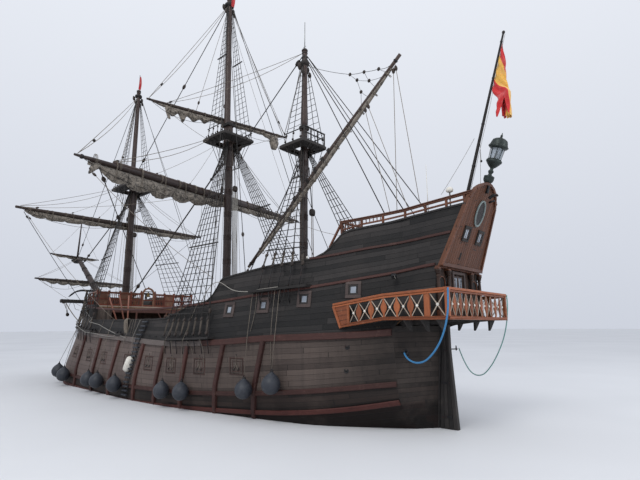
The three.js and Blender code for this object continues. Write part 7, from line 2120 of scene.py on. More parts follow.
for s_ in (PORT, STARBOARD):
    word = "port" if s_ > 0 else "starboard"
    # main
    _, x0, rake, _, _, _, r1, top = MASTS[1]
    feet, plates = channel_feet(-5.25, -9.1, 8, s_)
    heads = [(mast_x(x0, rake, top - 0.3) + 0.1 - 0.055 * i, s_ * (r1 + 0.03), top - 0.25) for i in range(8)]
    shroud_gang("main_shrouds_" + word, feet, heads, plates, s_, 0.28, [9.3, 13.0], 0.3, 0.42)
    # fore
    _, x0, rake, _, _, _, r1, top = MASTS[0]
    feet, plates = channel_feet(10.7, 5.6, 7, s_)
    heads = [(mast_x(x0, rake, top - 0.3) + 0.1 - 0.055 * i, s_ * (r1 + 0.03), top - 0.25) for i in range(7)]
    shroud_gang("fore_shrouds_" + word, feet, heads, plates, s_, 0.28, [10.2], 0.3, 0.42)
    # mizzen: long chains bring the deadeyes up to the top of the wall
    _, x0, rake, _, _, _, r1, top = MASTS[2]
    feet, plates = [], []
    for i in range(5):
        x = lerp(-12.2, -14.5, i / 4)
        y = top_y(x, 6.15)
        plates.append((x, s_ * (y + 0.34), 6.1))
        feet.append((x, s_ * (top_y(x, 7.3) + 0.3), 7.3))
    heads = [(mast_x(x0, rake, top - 0.3) + 0.06 - 0.05 * i, s_ * (r1 + 0.02), top - 0.22) for i in range(5)]
    shroud_gang("mizzen_shrouds_" + word, feet, heads, plates, s_, 0.26, [], 0.3, 0.4, gap=0.7)
    kit = Kit("mizzen_chains_" + word)
    for i in range(5):
        x = lerp(-12.2, -14.5, i / 4)
        y = top_y(x, 5.4)
        rope(kit, [(x, s_ * (top_y(x, 6.1) + 0.33), 6.15), (x + 0.05, s_ * (y + 0.03), 5.45)], 0.022, M_IRON, 6)
    # lines coiled and hanging from the channel
    for x, drop in ((-12.5, 0.55), (-13.1, 0.7), (-13.8, 0.6)):
        y = s_ * (top_y(x, 6.0) + 0.36)
        loop = [(x, y, 6.1), (x + 0.06, y + s_ * 0.03, 6.1 - drop * 0.6), (x + 0.14, y + s_ * 0.03, 6.1 - drop), (x + 0.24, y + s_ * 0.02, 6.1 - drop * 0.6), (x + 0.28, y, 6.1)]
        kit.tube(spline(loop, 5), 0.016, M_TARRED_ROPE, 5)
    kit.make("root", "iron")
    # topmast shrouds, set up on the edges of the tops
    for (tn, row, hx, hy, z, deep), hz, n, zb in ((TOPS[0], 26.9, 4, []), (TOPS[1], 29.6, 4, [24.6]), (TOPS[2], 21.3, 3, [])):
        _, x0, rake, _, _, _, r1, _ = MASTS[row]
        cx = mast_x(x0, rake, z) + 0.12
        up = 0.0 if row == 2 else r1 + 0.06
        feet = [(cx + lerp(0.45, -0.75, i / (n - 1)) * hx, s_ * hy * 0.95, z + 0.14) for i in range(n)]
        heads = [(mast_x(x0, rake, hz) + up + 0.04 - 0.03 * i, s_ * 0.15, hz) for i in range(n)]
        shroud_gang(tn + "_shrouds_" + word, feet, heads, None, s_, 0.12, zb, 0.3, 0.4, 0.02, 0.075, 0.42, top_stop=1.2)
        # futtock lines under the top
        kit = Kit(tn + "_futtocks_" + word)
        for i in range(n):
            kit.tube([feet[i], (mast_x(x0, rake, z - 2.0) + lerp(0.25, -0.3, i / (n - 1)), s_ * (0.62 if row < 2 else 0.5), z - 2.1)], 0.02, M_TARRED_ROPE, 5)
        kit.beam((mast_x(x0, rake, z - 2.0) + 0.45, s_ * (0.62 if row < 2 else 0.5), z - 2.1), (mast_x(x0, rake, z - 2.0) - 0.5, s_ * (0.62 if row < 2 else 0.5), z - 2.1), 0.06, 0.06, M_TAR)
        kit.make("root", "rope")

# stays
stays = Kit("main_stay_work")
a, b = Vector((-2.55, 0, 16.35)), Vector((11.1, 0, 6.75))
rope(stays, [tuple(a.lerp(b, t)) for t in (0, 0.25, 0.5, 0.75, 1)], 0.052, M_TARRED_ROPE, 10)
d = (b - a).normalized()
stays.ball(tuple(a.lerp(b, 0.1)), 0.11, M_TARRED_ROPE, 12, 8, (1.4, 0.9, 1.1))
loop = [a.lerp(b, 0.1), Vector((-3.2, 0.34, 17.0)), Vector((-3.75, 0.0, 17.15)), Vector((-3.2, -0.34, 17.0)), a.lerp(b, 0.1)]
stays.tube(spline([tuple(p) for p in loop], 6), 0.04, M_TARRED_ROPE, 8)
for k in (0.88, 0.95):
    block(stays, tuple(a.lerp(b, k)), tuple(d), 0.15, 0.24)
for o in (-0.06, 0, 0.06):
    rope(stays, [tuple(a.lerp(b, 0.895) + Vector((0, o, 0))), tuple(a.lerp(b, 0.94) + Vector((0, o, 0)))], 0.02, M_PALE_ROPE, 4)
stays.make("root", "rope", ["mainstay"])
stays = Kit("fore_stay_work")
a, b = Vector((12.7, 0, 16.1)), Vector((22.6, 0, 11.25))
rope(stays, [tuple(a.lerp(b, t)) for t in (0, 0.25, 0.5, 0.75, 1)], 0.047, M_TARRED_ROPE, 10)
d = (b - a).normalized()
stays.ball(tuple(a.lerp(b, 0.12)), 0.1, M_TARRED_ROPE, 12, 8, (1.4, 0.9, 1.1))
loop = [a.lerp(b, 0.12), Vector((12.1, 0.3, 16.75)), Vector((11.55, 0.0, 16.9)), Vector((12.1, -0.3, 16.75)), a.lerp(b, 0.12)]
stays.tube(spline([tuple(p) for p in loop], 6), 0.036, M_TARRED_ROPE, 8)
for k in (0.86, 0.95):
    block(stays, tuple(a.lerp(b, k)), tuple(d), 0.13, 0.2)
for o in (-0.05, 0.05):
    rope(stays, [tuple(a.lerp(b, 0.87) + Vector((0, o, 0))), tuple(a.lerp(b, 0.94) + Vector((0, o, 0)))], 0.018, M_PALE_ROPE, 4)
stays.make("root", "rope", ["forestay"])

MAIN_HEAD = (mast_x(-3.5, -1.26, 29.7) + 0.35, 0, 29.7)
FORE_HEAD = (mast_x(11.8, -0.38, 27.3) + 0.31, 0, 27.3)
MIZ_HEAD = (mast_x(-11.0, 0.26, 21.6), 0, 21.6)
SH = Kit("stays_and_backstays")


def taut(a, b, r, mat=None, drop=0.0, blocks=(), w=0.09):
    pts = sag(a, b, drop, 8) if drop else [a, tuple(Vector(a).lerp(Vector(b), 0.5)), b]
    rope(SH, pts, r, mat or M_TARRED_ROPE, 6)
    d = tuple((Vector(b) - Vector(a)).normalized())
    for t in blocks:
        block(SH, tuple(Vector(a).lerp(Vector(b), t)), d, w, w * 1.9)


taut(MAIN_HEAD, (12.2, 0, 18.25), 0.034, blocks=(0.42, 0.86), w=0.13)
taut(FORE_HEAD, (24.0, 0, 12.3), 0.026, blocks=(0.93,), w=0.1)
taut((MIZ_HEAD[0] + 0.2, 0, 21.5), (-3.9, 0, 16.4), 0.034, blocks=(0.06, 0.9), w=0.13)
taut((-10.8, 0, 14.5), (-4.1, 0, 5.2), 0.034, blocks=(0.93,), w=0.12)
for s_ in (PORT, STARBOARD):
    y = s_ * (hull_y(-9.25, wale_z(-9.25) + 0.3) + 0.34)
    taut((MAIN_HEAD[0] - 0.1, s_ * 0.2, 29.6), (-9.25, y, wale_z(-9.25) + 0.35), 0.022, blocks=(0.95,), w=0.08)
    taut((MAIN_HEAD[0] - 0.1, s_ * 0.2, 29.3), (-10.6, s_ * (top_y(-10.6, 7.1) - 0.1), 7.15), 0.02, blocks=(0.9,), w=0.08)
    y = s_ * (hull_y(5.4, wale_z(5.4) + 0.3) + 0.34)
    taut((FORE_HEAD[0] - 0.1, s_ * 0.18, 27.2), (5.4, y, wale_z(5.4) + 0.35), 0.022, blocks=(0.95,), w=0.08)
    taut((FORE_HEAD[0] - 0.1, s_ * 0.18, 27.0), (4.3, s_ * (top_y(4.3, 4.85) - 0.12), 4.88), 0.018, blocks=(0.92,), w=0.07)
    for x, z in ((-17.94, 9.46), (-18.79, 9.56)):
        taut((MIZ_HEAD[0] - 0.05, s_ * 0.16, 21.5), (x, s_ * (top_y(x, rail_z(x)) - WALL / 2), z), 0.026)
# halyard tackles abaft the masts
for (xa, za, xb, zb, r, m, ys) in ((-4.16, 13.85, -4.5, 5.0, 0.028, M_HALYARD, (-0.2, -0.1, 0, 0.1, 0.2)), (10.9, 12.6, 10.7, 6.5, 0.026, M_ROPE, (-0.08, 0, 0.08)), (-11.7, 10.8, -11.75, 7.4, 0.022, M_ROPE, (-0.06, 0.06))):
    for y in ys:
        rope(SH, [(xa, y, za), (xb, y, zb)], r, m, 6)
    SH.beam((xa, -0.3 if r > 0.028 else -0.18, za + 0.15), (xa, 0.3 if r > 0.028 else 0.18, za + 0.15), 0.26, 0.42, M_BLOCK, up=(0, 0, 1), chamfer=0.3)
    SH.beam((xb, -0.22, zb), (xb, 0.22, zb), 0.24, 0.36, M_BLOCK, up=(0, 0, 1), chamfer=0.3)
    rope(SH, [(xa, 0, za + 0.3), (xa + 0.25, 0, za + 3.0)], 0.03, M_TARRED_ROPE, 6)
# small lines from the mastheads and tops down to the deck
RNG.seed(77)
for x0, rake, head, up, low, spread, n in ((11.8, -0.38, 17.05, 0.0, 6.2, 0.9, 6), (-3.5, -1.26, 17.64, 0.0, deck_z(-3.5) + 0.9, 1.1, 7), (-11.0, 0.26, 15.0, 0.0, 7.3, 0.6, 4)):
    for k in range(n):
        a = 2 * math.pi * (k + 0.3) / n
        SH.tube([(mast_x(x0, rake, head) + 0.5 * math.cos(a), 0.5 * math.sin(a), head), (mast_x(x0, rake, low) + spread * math.cos(a), spread * math.sin(a), low)], 0.013, M_ROPE, 4)
SH.make("root", "rope")


# =====================================================================================
# Running rigging: the lines that reach the yards
# =====================================================================================
def running(name, fixed, moving, body, r=0.015, drop=0.0, mat=None, blocks=(), w=0.07, double=0.0):
    kit = Kit(name)
    A, B = Vector(fixed), Vector(moving)
    for o in ((-double, double) if double else (0.0,)):
        off = Vector((0, 0, o))
        pts = [tuple(Vector(p) + off * (4 * t * (1 - t))) for p, t in zip(sag(fixed, moving, drop, 10), [i / 10 for i in range(11)])]
        rope(kit, pts, r, mat or M_ROPE, 5)
    d = tuple((B - A).normalized())
    for t in blocks:
        p = A.lerp(B, t) - Vector((0, 0, drop * 4 * t * (1 - t)))
        block(kit, tuple(p), d, w, w * 1.9)
    kit.make(body, "rope", blend=("root", body, fixed, moving))


def yard_point(name, s, drop=0.0, fwd=0.0):
    return tuple(ARMS[name].at(s, drop, fwd))


T, Mn, Fy, Sp, St = "main_topsail_yard", "main_yard", "fore_yard", "spritsail_yard", "sprit_topsail_yard"
# main topsail yard: lifts, halyard and braces
running("topsail_lift_port", MAIN_HEAD, yard_point(T, 5.75, -0.1), T, 0.017, 0.25, blocks=(0.86,), double=0.22)
running("topsail_lift_starboard", MAIN_HEAD, yard_point(T, -5.75, -0.1), T, 0.017, 0.25, blocks=(0.88,), double=0.2)
running("topsail_halyard", (MAIN_HEAD[0] + 0.15, 0, 29.4), yard_point(T, 0.0, -0.2), T, 0.024, 0, blocks=(0.9,), w=0.1)
running("topsail_line_port", (MAIN_HEAD[0], 0.1, 29.2), yard_point(T, 2.3, -0.15), T, 0.016, 0, blocks=(0.93,), w=0.08)
running("topsail_brace_port", (MIZ_HEAD[0] + 0.15, 0.12, 21.6), yard_point(T, 4.5, -0.1), T, 0.015, 0.35, blocks=(0.97,), double=0.25)
running("topsail_brace_starboard", (MIZ_HEAD[0] + 0.15, -0.12, 21.5), yard_point(T, -5.6, -0.05), T, 0.015, 0.15, blocks=(0.95,), double=0.12)
running("topsail_sheet_port", (-2.1, 1.3, 18.05), yard_point(T, 4.9, 0.2), T, 0.013, 0.1)
running("topsail_sheet_starboard", (-2.1, -1.3, 18.05), yard_point(T, -4.9, 0.2), T, 0.013, 0.1)
# main yard
running("main_lift_port", (-2.5, 0.9, 18.12), yard_point(Mn, 9.3, -0.25), Mn, 0.018, 0.35, blocks=(0.97, 0.03), double=0.2)
running("main_lift_starboard", (-2.5, -0.9, 18.12), yard_point(Mn, -9.3, -0.2), Mn, 0.018, 0.25, blocks=(0.96, 0.03), double=0.16)
running("main_brace_port", (FORE_HEAD[0] - 0.2, 0.1, 27.0), yard_point(Mn, 11.4, -0.1), Mn, 0.018, 0.3, blocks=(0.84,), w=0.09, double=0.25)
running("main_line_port", (FORE_HEAD[0] - 0.2, 0.15, 26.6), yard_point(Mn, 8.8, -0.25), Mn, 0.013, 0.25, blocks=(0.93,))
running("main_line_starboard", (MAIN_HEAD[0], -0.1, 28.6), yard_point(Mn, -10.9, -0.2), Mn, 0.013, 0.3, blocks=(0.95,))
running("main_pendant_port", (7.5, 0.3, 7.55), yard_point(Mn, 10.1, 0.35), Mn, 0.028, 0.0, M_TARRED_ROPE, blocks=(0.94, 0.7), w=0.12)
running("main_brace_starboard", (-15.9, -2.6, 9.2), yard_point(Mn, -11.3, 0.1), Mn, 0.016, 0.5, blocks=(0.93,))
running("main_sheet_port", (-8.9, 4.75, 6.9), yard_point(Mn, 10.6, 0.6), Mn, 0.014, 0.35, blocks=(0.97,))
running("main_sheet_starboard", (-8.9, -4.75, 6.9), yard_point(Mn, -10.6, 0.6), Mn, 0.014, 0.3)
running("main_halyard", (mast_x(-3.5, -1.26, 16.9) + 0.42, 0.0, 16.9), yard_point(Mn, 0.0, -0.2), Mn, 0.03, 0, M_TARRED_ROPE, blocks=(0.85,), w=0.13)
for k, (s, z) in enumerate(((6.4, 17.62), (3.4, 17.62), (-3.4, 17.62), (-6.4, 17.62))):
    running(f"main_buntline_{k}", (-2.35, math.copysign(0.55, s), z), yard_point(Mn, s, -0.2), Mn, 0.011, 0.1, blocks=(0.96,), w=0.055)
# fore yard
running("fore_lift_port", (12.6, 0.8, 17.5), yard_point(Fy, 9.6, -0.15), Fy, 0.016, 0.3, blocks=(0.03,), double=0.22)
running("fore_lift_starboard", (12.6, -0.8, 17.5), yard_point(Fy, -9.2, -0.12), Fy, 0.016, 0.25, blocks=(0.03,), double=0.15)
running("fore_tack_port", (18.2, 0.9, 6.15), yard_point(Fy, 9.3, 0.3), Fy, 0.024, 0.1, M_TARRED_ROPE, blocks=(0.96,), w=0.08)
running("fore_tack_starboard", (18.2, -0.9, 6.15), yard_point(Fy, -9.0, 0.3), Fy, 0.018, 0.1, M_TARRED_ROPE)
running("fore_sheet_port", (2.2, 5.05, 4.85), yard_point(Fy, 9.0, 0.5), Fy, 0.014, 0.45, blocks=(0.97,))
running("fore_sheet_starboard", (2.2, -5.05, 4.85), yard_point(Fy, -9.0, 0.5), Fy, 0.014, 0.45)
running("fore_brace_port", (-0.1, 0, 14.4), yard_point(Fy, 9.7, 0.0), Fy, 0.014, 0.4, blocks=(0.9,))
running("fore_brace_starboard", (-0.1, 0, 14.4), yard_point(Fy, -9.7, 0.0), Fy, 0.014, 0.4, blocks=(0.9,))
running("fore_halyard", (mast_x(11.8, -0.38, 16.7) + 0.38, 0.0, 16.7), yard_point(Fy, 0.0, -0.18), Fy, 0.026, 0, M_TARRED_ROPE, blocks=(0.85,), w=0.12)
for k, s in enumerate((5.6, 3.0, -3.0, -5.6)):
    running(f"fore_buntline_{k}", (12.9, math.copysign(0.5, s), 17.04), yard_point(Fy, s, -0.18), Fy, 0.011, 0.1, blocks=(0.96,), w=0.055)
# spritsail and sprit topsail yards
running("spritsail_lift_port", (23.3, 0.15, 11.9), yard_point(Sp, 5.9, -0.1), Sp, 0.012, 0.12, double=0.08)
running("spritsail_lift_starboard", (23.3, -0.15, 11.9), yard_point(Sp, -5.9, -0.1), Sp, 0.012, 0.12, double=0.08)
running("spritsail_brace_port", (16.6, 1.35, 6.05), yard_point(Sp, 5.6, 0.1), Sp, 0.012, 0.2)
running("spritsail_brace_starboard", (16.6, -1.35, 6.05), yard_point(Sp, -5.6, 0.1), Sp, 0.012, 0.2)
running("sprit_topsail_lift_port", (24.1, 0.03, 15.7), yard_point(St, 2.8, -0.05), St, 0.012, 0.1)
running("sprit_topsail_lift_starboard", (24.1, -0.03, 15.7), yard_point(St, -2.8, -0.05), St, 0.012, 0.1)
# lateen: halyard, crowfoot to the peak, vangs
Z = "mizzen_yard"
running("lateen_halyard", (-11.0, 0.24, 14.2), tuple(lat(0.41, 0.2)), Z, 0.026, 0, M_TARRED_ROPE, blocks=(0.5,), w=0.11)
for k, (a, s) in enumerate((((-18.475, 9.59), 0.955), ((-19.585, 9.76), 0.965), ((-18.16, 9.54), 0.795), ((-18.985, 9.67), 0.81))):
    (x, z) = a
    running(f"lateen_vang_{k}", (x, top_y(x, rail_z(x)) - WALL / 2, z), tuple(lat(s, -0.12)), Z, 0.016, 0.0, blocks=(0.97,), w=0.09)
running("lateen_bowline", (-5.6, 2.4, deck_z(-5.6) + 0.6), tuple(lat(0.02)), Z, 0.018, 0.15, blocks=(0.9,))
crow = Kit("lateen_crowfoot")
pts = [(-11.0, 0.3, 20.8), (-14.95, 0.3, 18.43), (-15.94, 0.3, 18.18), (-16.91, 0.3, 17.96), tuple(lat(0.955, 0.12))]
for p in (sag(pts[0], pts[1], 0.12, 6), sag(pts[1], pts[2], 0.03, 4), sag(pts[2], pts[3], 0.03, 4), sag(pts[3], pts[4], 0.08, 4)):
    rope(crow, p, 0.014, M_TARRED_ROPE, 5)
for a, b in (((-14.95, 0.3, 18.43), (-15.44, 0.3, 17.89)), ((-15.44, 0.3, 17.89), (-15.7, 0.3, 17.07)), ((-15.7, 0.3, 17.07), tuple(lat(0.79, 0.12))), ((-15.7, 0.3, 17.07), tuple(lat(0.83, 0.12))), ((-15.44, 0.3, 17.89), (-16.26, 0.3, 17.53)), ((-16.26, 0.3, 17.53), tuple(lat(0.87, 0.12))), ((-16.26, 0.3, 17.53), tuple(lat(0.91, 0.12))), ((-15.94, 0.3, 18.18), (-16.26, 0.3, 17.53)), ((-16.91, 0.3, 17.96), tuple(lat(0.93, 0.12)))):
    rope(crow, sag(a, b, 0.03, 4), 0.011, M_TARRED_ROPE, 5)
for p in ((-14.95, 0.3, 18.43), (-15.44, 0.3, 17.89), (-15.7, 0.3, 17.07), (-15.94, 0.3, 18.18), (-16.26, 0.3, 17.53), (-16.91, 0.3, 17.96)):
    crow.ball(p, 0.1, M_BLOCK, 10, 8, (1, 0.6, 1.1))
crow.make(Z, "rope", blend=("root", Z, (-11.0, 0.3, 20.8), tuple(lat(0.87, 0.12))))

# =====================================================================================
# Gunport lids, stern lantern, colours, fenders and the smaller gear
# =====================================================================================
M_PORT_FRAME = timber("port_frame", srgb(44, 32, 29), srgb(84, 60, 53), 0.65, 1.0, 0.3, srgb(104, 84, 76), 0.4, 0.3)

frames = Kit("gunport_frames")
for s_ in (PORT, STARBOARD):
    word = "port" if s_ > 0 else "starboard"
    for n_, (x, z) in enumerate(PORTS):
        at, fore, out, up = port_frame(s_, x, z)
        on = lambda a, b, d=0.0: at + fore * a + up * b + out * d
        skin = lambda p, g=0.0: (p.x, s_ * (hull_y(p.x, p.z) - g), p.z)
        W_, H_ = PORT_WIDE / 2 + 0.035, PORT_HIGH / 2 + 0.035
        for a0, b0, a1, b1 in ((-W_ - 0.03, H_, W_ + 0.03, H_), (-W_ - 0.03, -H_, W_ + 0.03, -H_), (-W_, -H_ + 0.03, -W_, H_ - 0.03), (W_, -H_ + 0.03, W_, H_ - 0.03)):
            frames.beam(tuple(Vector(skin(on(a0, b0))) - out * 0.004), tuple(Vector(skin(on(a1, b1))) - out * 0.004), 0.055, 0.04, M_PORT_FRAME, up=tuple(out))
        hw, hh = PORT_WIDE / 2 - LID_PLAY, PORT_HIGH / 2 - LID_PLAY
        kit = Kit(f"gunport_lid_work_{word}_{n_ + 1}")
        t0, t1 = strake_of(x, z - hh), strake_of(x, z + hh)
        levels = [(None, -hh, 0.0)]
        for t, g in plank_rows(math.floor(t0) - 1, math.ceil(t1) + 1):
            if t0 + 0.06 < t < t1 - 0.06:
                levels.append((t, 0.0, g))
        levels.append((None, hh, 0.0))
        cols = [lerp(-hw, hw, i / 4) for i in range(5)]
        pts, uv = [], []
        for t, b, g in levels:
            ring, cord = [], []
            for a in cols:
                if t is not None:
                    q = on(a, 0)
                    b = clamp((strake_z(q.x, t) - q.z) / up.z, -hh, hh)
                q = on(a, b)
                ring.append(skin(q, GROOVE * g))
                cord.append((q.x, strake_of(q.x, q.z)))
            pts.append(ring)
            uv.append(cord)
        base, mi, m = len(kit.v), kit.mat(M_HULL), len(cols)
        for r in pts:
            kit.v.extend(r)
        for a in range(len(pts) - 1):
            for i in range(m - 1):
                kit.f.append((base + a * m + i, base + a * m + i + 1, base + (a + 1) * m + i + 1, base + (a + 1) * m + i))
                kit.uv.append((uv[a][i], uv[a][i + 1], uv[a + 1][i + 1], uv[a + 1][i]))
                kit.mi.append(mi)
                kit.sm.append(False)
        edge = pts[0] + [r[-1] for r in pts[1:-1]] + pts[-1][::-1] + [r[0] for r in pts[1:-1]][::-1]
        kit.grid([edge, [tuple(Vector(p) - out * 0.085) for p in edge]], M_TAR, caps=False, smooth_=False)
        kit.prism([tuple(on(a, b, -0.088)) for a, b in ((-hw, -hh), (hw, -hh), (hw, hh), (-hw, hh))], tuple(out * 0.006), M_RED_DARK)
        # sunk moulding on the face, two straps behind, ring bolts
        for a0, b0, a1, b1 in ((-0.27, 0.25, 0.27, 0.25), (-0.27, -0.25, 0.27, -0.25), (-0.25, -0.235, -0.25, 0.235), (0.25, -0.235, 0.25, 0.235)):
            kit.beam(tuple(Vector(skin(on(a0, b0))) - out * 0.002), tuple(Vector(skin(on(a1, b1))) - out * 0.002), 0.03, 0.024, M_PORT_FRAME, up=tuple(out))
        for a in (-0.16, 0.16):
            kit.beam(tuple(on(a, -hh + 0.05, -0.094)), tuple(on(a, hh - 0.02, -0.094)), 0.05, 0.014, M_IRON, up=tuple(out))
            c = Vector(skin(on(a, -0.13)))
            kit.lathe([(0.045, -0.004), (0.045, 0.006), (0.022, 0.012), (0.02, 0.04)], tuple(c), M_IRON, axis=tuple(out), sides=10)
            loop = [tuple(c + out * 0.045 + (fore * math.cos(q) + up * math.sin(q)) * 0.045 - up * 0.03) for q in [2 * math.pi * k / 10 for k in range(11)]]
            kit.tube(loop, 0.013, M_IRON, 5, caps=False)
        kit.make(f"gunport_lid_{word}_{n_ + 1}", "tarred_wood", [f"gunport_lid_{word}_{n_ + 1}"])
        # the bridle that lifts the lid: two parts from the ring bolts to a hole above it
        kit = Kit(f"gunport_bridle_{word}_{n_ + 1}")
        hole = Vector(skin(on(0, hh + 0.2))) + out * 0.012
        knot = Vector(skin(on(0, 0.12))) + out * 0.03
        for a in (-0.16, 0.16):
            c = Vector(skin(on(a, -0.15))) + out * 0.05
            kit.tube([tuple(c), tuple(c.lerp(knot, 0.5) - up * 0.015), tuple(knot)], 0.012, M_ROPE, 5)
        kit.tube([tuple(knot), tuple(knot.lerp(hole, 0.5) + out * 0.006), tuple(hole), tuple(hole - out * 0.05)], 0.013, M_ROPE, 5)
        kit.ball(tuple(knot), 0.03, M_ROPE, 8, 6)
        kit.make(f"gunport_lid_{word}_{n_ + 1}", "rope", blend=("root", f"gunport_lid_{word}_{n_ + 1}", tuple(hole), tuple(on(0, hh - 0.12))))
        frames.lathe([(0.02, 0.0), (0.04, 0.0), (0.04, 0.012), (0.02, 0.012)], tuple(Vector(skin(on(0, hh + 0.2)))), M_IRON, axis=tuple(out), sides=10)
frames.make("root", "tarred_wood")

# ---- stern lantern, leaning aft on its bracket
lan = Kit("stern_lantern_work")
LA = Vector((-0.37, 0, 0.93)).normalized()
LO = Vector((-22.17, 0, 10.42))
LX = Vector((0, 1, 0))
LY = LA.cross(LX)
lan.lathe([(0.03, -0.04), (0.12, 0.0), (0.2, 0.1), (0.225, 0.2), (0.215, 0.27), (0.23, 0.29), (0.21, 0.33), (0.1, 0.37), (0.07, 0.43), (0.11, 0.5), (0.12, 0.55), (0.07, 0.62), (0.07, 0.68), (0.15, 0.74), (0.25, 0.85), (0.31, 0.93), (0.335, 0.96), (0.335, 1.03), (0.29, 1.05)], tuple(LO), M_LANTERN, axis=tuple(LA), sides=16)
lan.lathe([(0.0, 1.05), (0.3, 1.05), (0.3, 1.075), (0.0, 1.075)], tuple(LO), M_LANTERN, axis=tuple(LA), sides=16)
lan.lathe([(0.235, 1.07), (0.275, 1.56)], tuple(LO), M_LANTERN_GLASS, axis=tuple(LA), sides=16, smooth_=False)
for k in range(8):
    a = 2 * math.pi * (k + 0.5) / 8
    o = LX * math.cos(a) + LY * math.sin(a)
    lan.beam(tuple(LO + LA * 1.05 + o * 0.255), tuple(LO + LA * 1.6 + o * 0.3), 0.024, 0.022, M_LANTERN, up=tuple(o))
for h, r in ((1.08, 0.262), (1.56, 0.3)):
    lan.lathe([(r, -0.012), (r + 0.014, -0.008), (r + 0.014, 0.008), (r, 0.012)], tuple(LO + LA * h), M_LANTERN, axis=tuple(LA), sides=16)
lan.lathe([(0.3, 1.56), (0.385, 1.58), (0.4, 1.61), (0.4, 1.68), (0.37, 1.7), (0.36, 1.76), (0.345, 1.84), (0.3, 1.93), (0.22, 1.99), (0.1, 2.03), (0.06, 2.05), (0.045, 2.1), (0.06, 2.13), (0.03, 2.17), (0.012, 2.26)], tuple(LO), M_LANTERN, axis=tuple(LA), sides=16)
for k in range(16):
    a = 2 * math.pi * k / 16
    o = LX * math.cos(a) + LY * math.sin(a)
    lan.beam(tuple(LO + LA * 1.7 + o * 0.37), tuple(LO + LA * 1.93 + o * 0.3), 0.02, 0.02, M_LANTERN, up=tuple(o))
    lan.ball(tuple(LO + LA * 1.64 + o * 0.405), 0.025, M_LANTERN, 6, 5)
lan.lathe([(0.05, 1.08), (0.05, 1.35), (0.02, 1.38), (0.012, 1.44)], tuple(LO), M_CREAM, axis=tuple(LA), sides=10)
# iron arm under it and a small horn bracket abaft the board
lan.beam((-22.08, 0, 10.0), (-22.2, 0, 10.44), 0.16, 0.2, M_IRON, up=(1, 0, 0))
lan.tube(spline([(-22.2, 0, 9.74), (-22.34, 0, 9.82), (-22.52, 0, 9.84), (-22.58, 0, 9.77)], 4), [0.07] * 7 + [0.06, 0.055, 0.05, 0.045, 0.04, 0.035][:6], M_IRON, 8)
lan.tube([(-22.18, 0.0, 9.56), (-22.42, 0.0, 9.6)], 0.045, M_IRON, 8)
lan.make("root", "green_metal", ["stern_lantern"])

# ---- ensign staff
SF, SH_ = Vector((-20.856, 0, 8.866)), Vector((-23.42, 0, 17.2))
SD = (SH_ - SF).normalized()
staff = Kit("ensign_staff_work")
staff.tube([tuple(SF.lerp(SH_, i / 16)) for i in range(17)], [lerp(0.088, 0.042, i / 16) for i in range(17)], M_TAR, 12)
staff.lathe([(0.03, -0.07), (0.065, -0.05), (0.07, 0.0), (0.055, 0.04), (0.03, 0.06), (0.01, 0.07)], tuple(SH_), M_TAR, axis=tuple(SD), sides=12)
for t in (0.04, 0.3, 0.52, 0.76, 0.95):
    staff.lathe([(0.06, -0.03), (lerp(0.1, 0.055, t), -0.02), (lerp(0.1, 0.055, t), 0.02), (0.06, 0.03)], tuple(SF.lerp(SH_, t)), M_IRON, axis=tuple(SD), sides=12)
# halyard, and the flag line that runs from half way down to the poop rail
staff.tube([tuple(SF.lerp(SH_, 0.985) - Vector((0.09, 0, 0))), tuple(SF.lerp(SH_, 0.6) - Vector((0.14, 0, 0))), tuple(SF.lerp(SH_, 0.1) - Vector((0.12, 0, 0)))], 0.009, M_PALE_ROPE, 4)
yr = top_y(-20.6, 9.6) - WALL / 2
staff.tube(sag((-21.76, 0.04, 12.62), (-20.6, yr, 9.96), 0.05, 6), 0.009, M_PALE_ROPE, 4)
staff.tube(sag((-22.0, 0.0, 12.4), (-22.0, 0.3, 10.38), 0.0, 2), 0.009, M_PALE_ROPE, 4)
staff.ball((-21.98, 0.0, 11.5), 0.055, M_IRON, 8, 6)
staff.tube([(-21.98, 0.0, 11.55), tuple(SF.lerp(SH_, 0.42) - Vector((0.05, 0, 0)))], 0.008, M_TARRED_ROPE, 4)
staff.make("root", "mast_wood", ["ensign_staff"])


# ---- cloth
def flag_look(name, stripes, red):
    L = Look(name)
    u, v = L.uv()
    ov, ox, oy, oz = L.obj()
    if stripes:
        yellow = srgb(224, 172, 74)
        col = L.mix(L.remap(v, 0.246, 0.254), red, yellow)
        col = L.mix(L.remap(v, 0.746, 0.754), col, red)
    else:
        col = L.mix(L.remap(L.noise(ov, 6.0), 0.3, 0.8), red, shade(red, 0.7))
    weave = L.math("MULTIPLY", L.math("SINE", L.math("MULTIPLY", u, 900.0)), L.math("SINE", L.math("MULTIPLY", v, 900.0)))
    # painted light: pale pink patches from noise stand in for daylight showing through the cloth
    worn_and_lit = L.noise(ov, 5.0, 5.0, 0.65)
    col = L.mix(L.remap(worn_and_lit, 0.5, 0.8, 0.0, 0.28), col, srgb(236, 196, 186))
    # painted shade: darker red patches from noise shade the cloth
    dirt_and_shade = L.noise(ov, 2.2, 5.0, 0.6)
    col = L.mix(L.remap(dirt_and_shade, 0.5, 0.8, 0.0, 0.25), col, srgb(88, 40, 34))
    hem = L.math("MINIMUM", L.math("MINIMUM", v, L.math("SUBTRACT", 1.0, v)), L.math("MINIMUM", u, L.math("SUBTRACT", 1.0, u)))
    col = L.mix(L.remap(hem, 0.012, 0.016, 0.25, 0.0), col, (0.02, 0.01, 0.01))
    h = L.math("ADD", L.math("MULTIPLY", L.noise(ov, 14.0, 4.0), 0.7), L.math("MULTIPLY", weave, 0.05))
    return L.finish(col, 0.8, 0.0, L.bump(h, 0.35, 0.006), **{"Sheen Weight": 0.25, "Subsurface Weight": 0.12})


M_ENSIGN = flag_look("ensign_cloth", True, srgb(196, 34, 38))
M_PENNANT = flag_look("pennant_cloth", False, srgb(178, 34, 40))


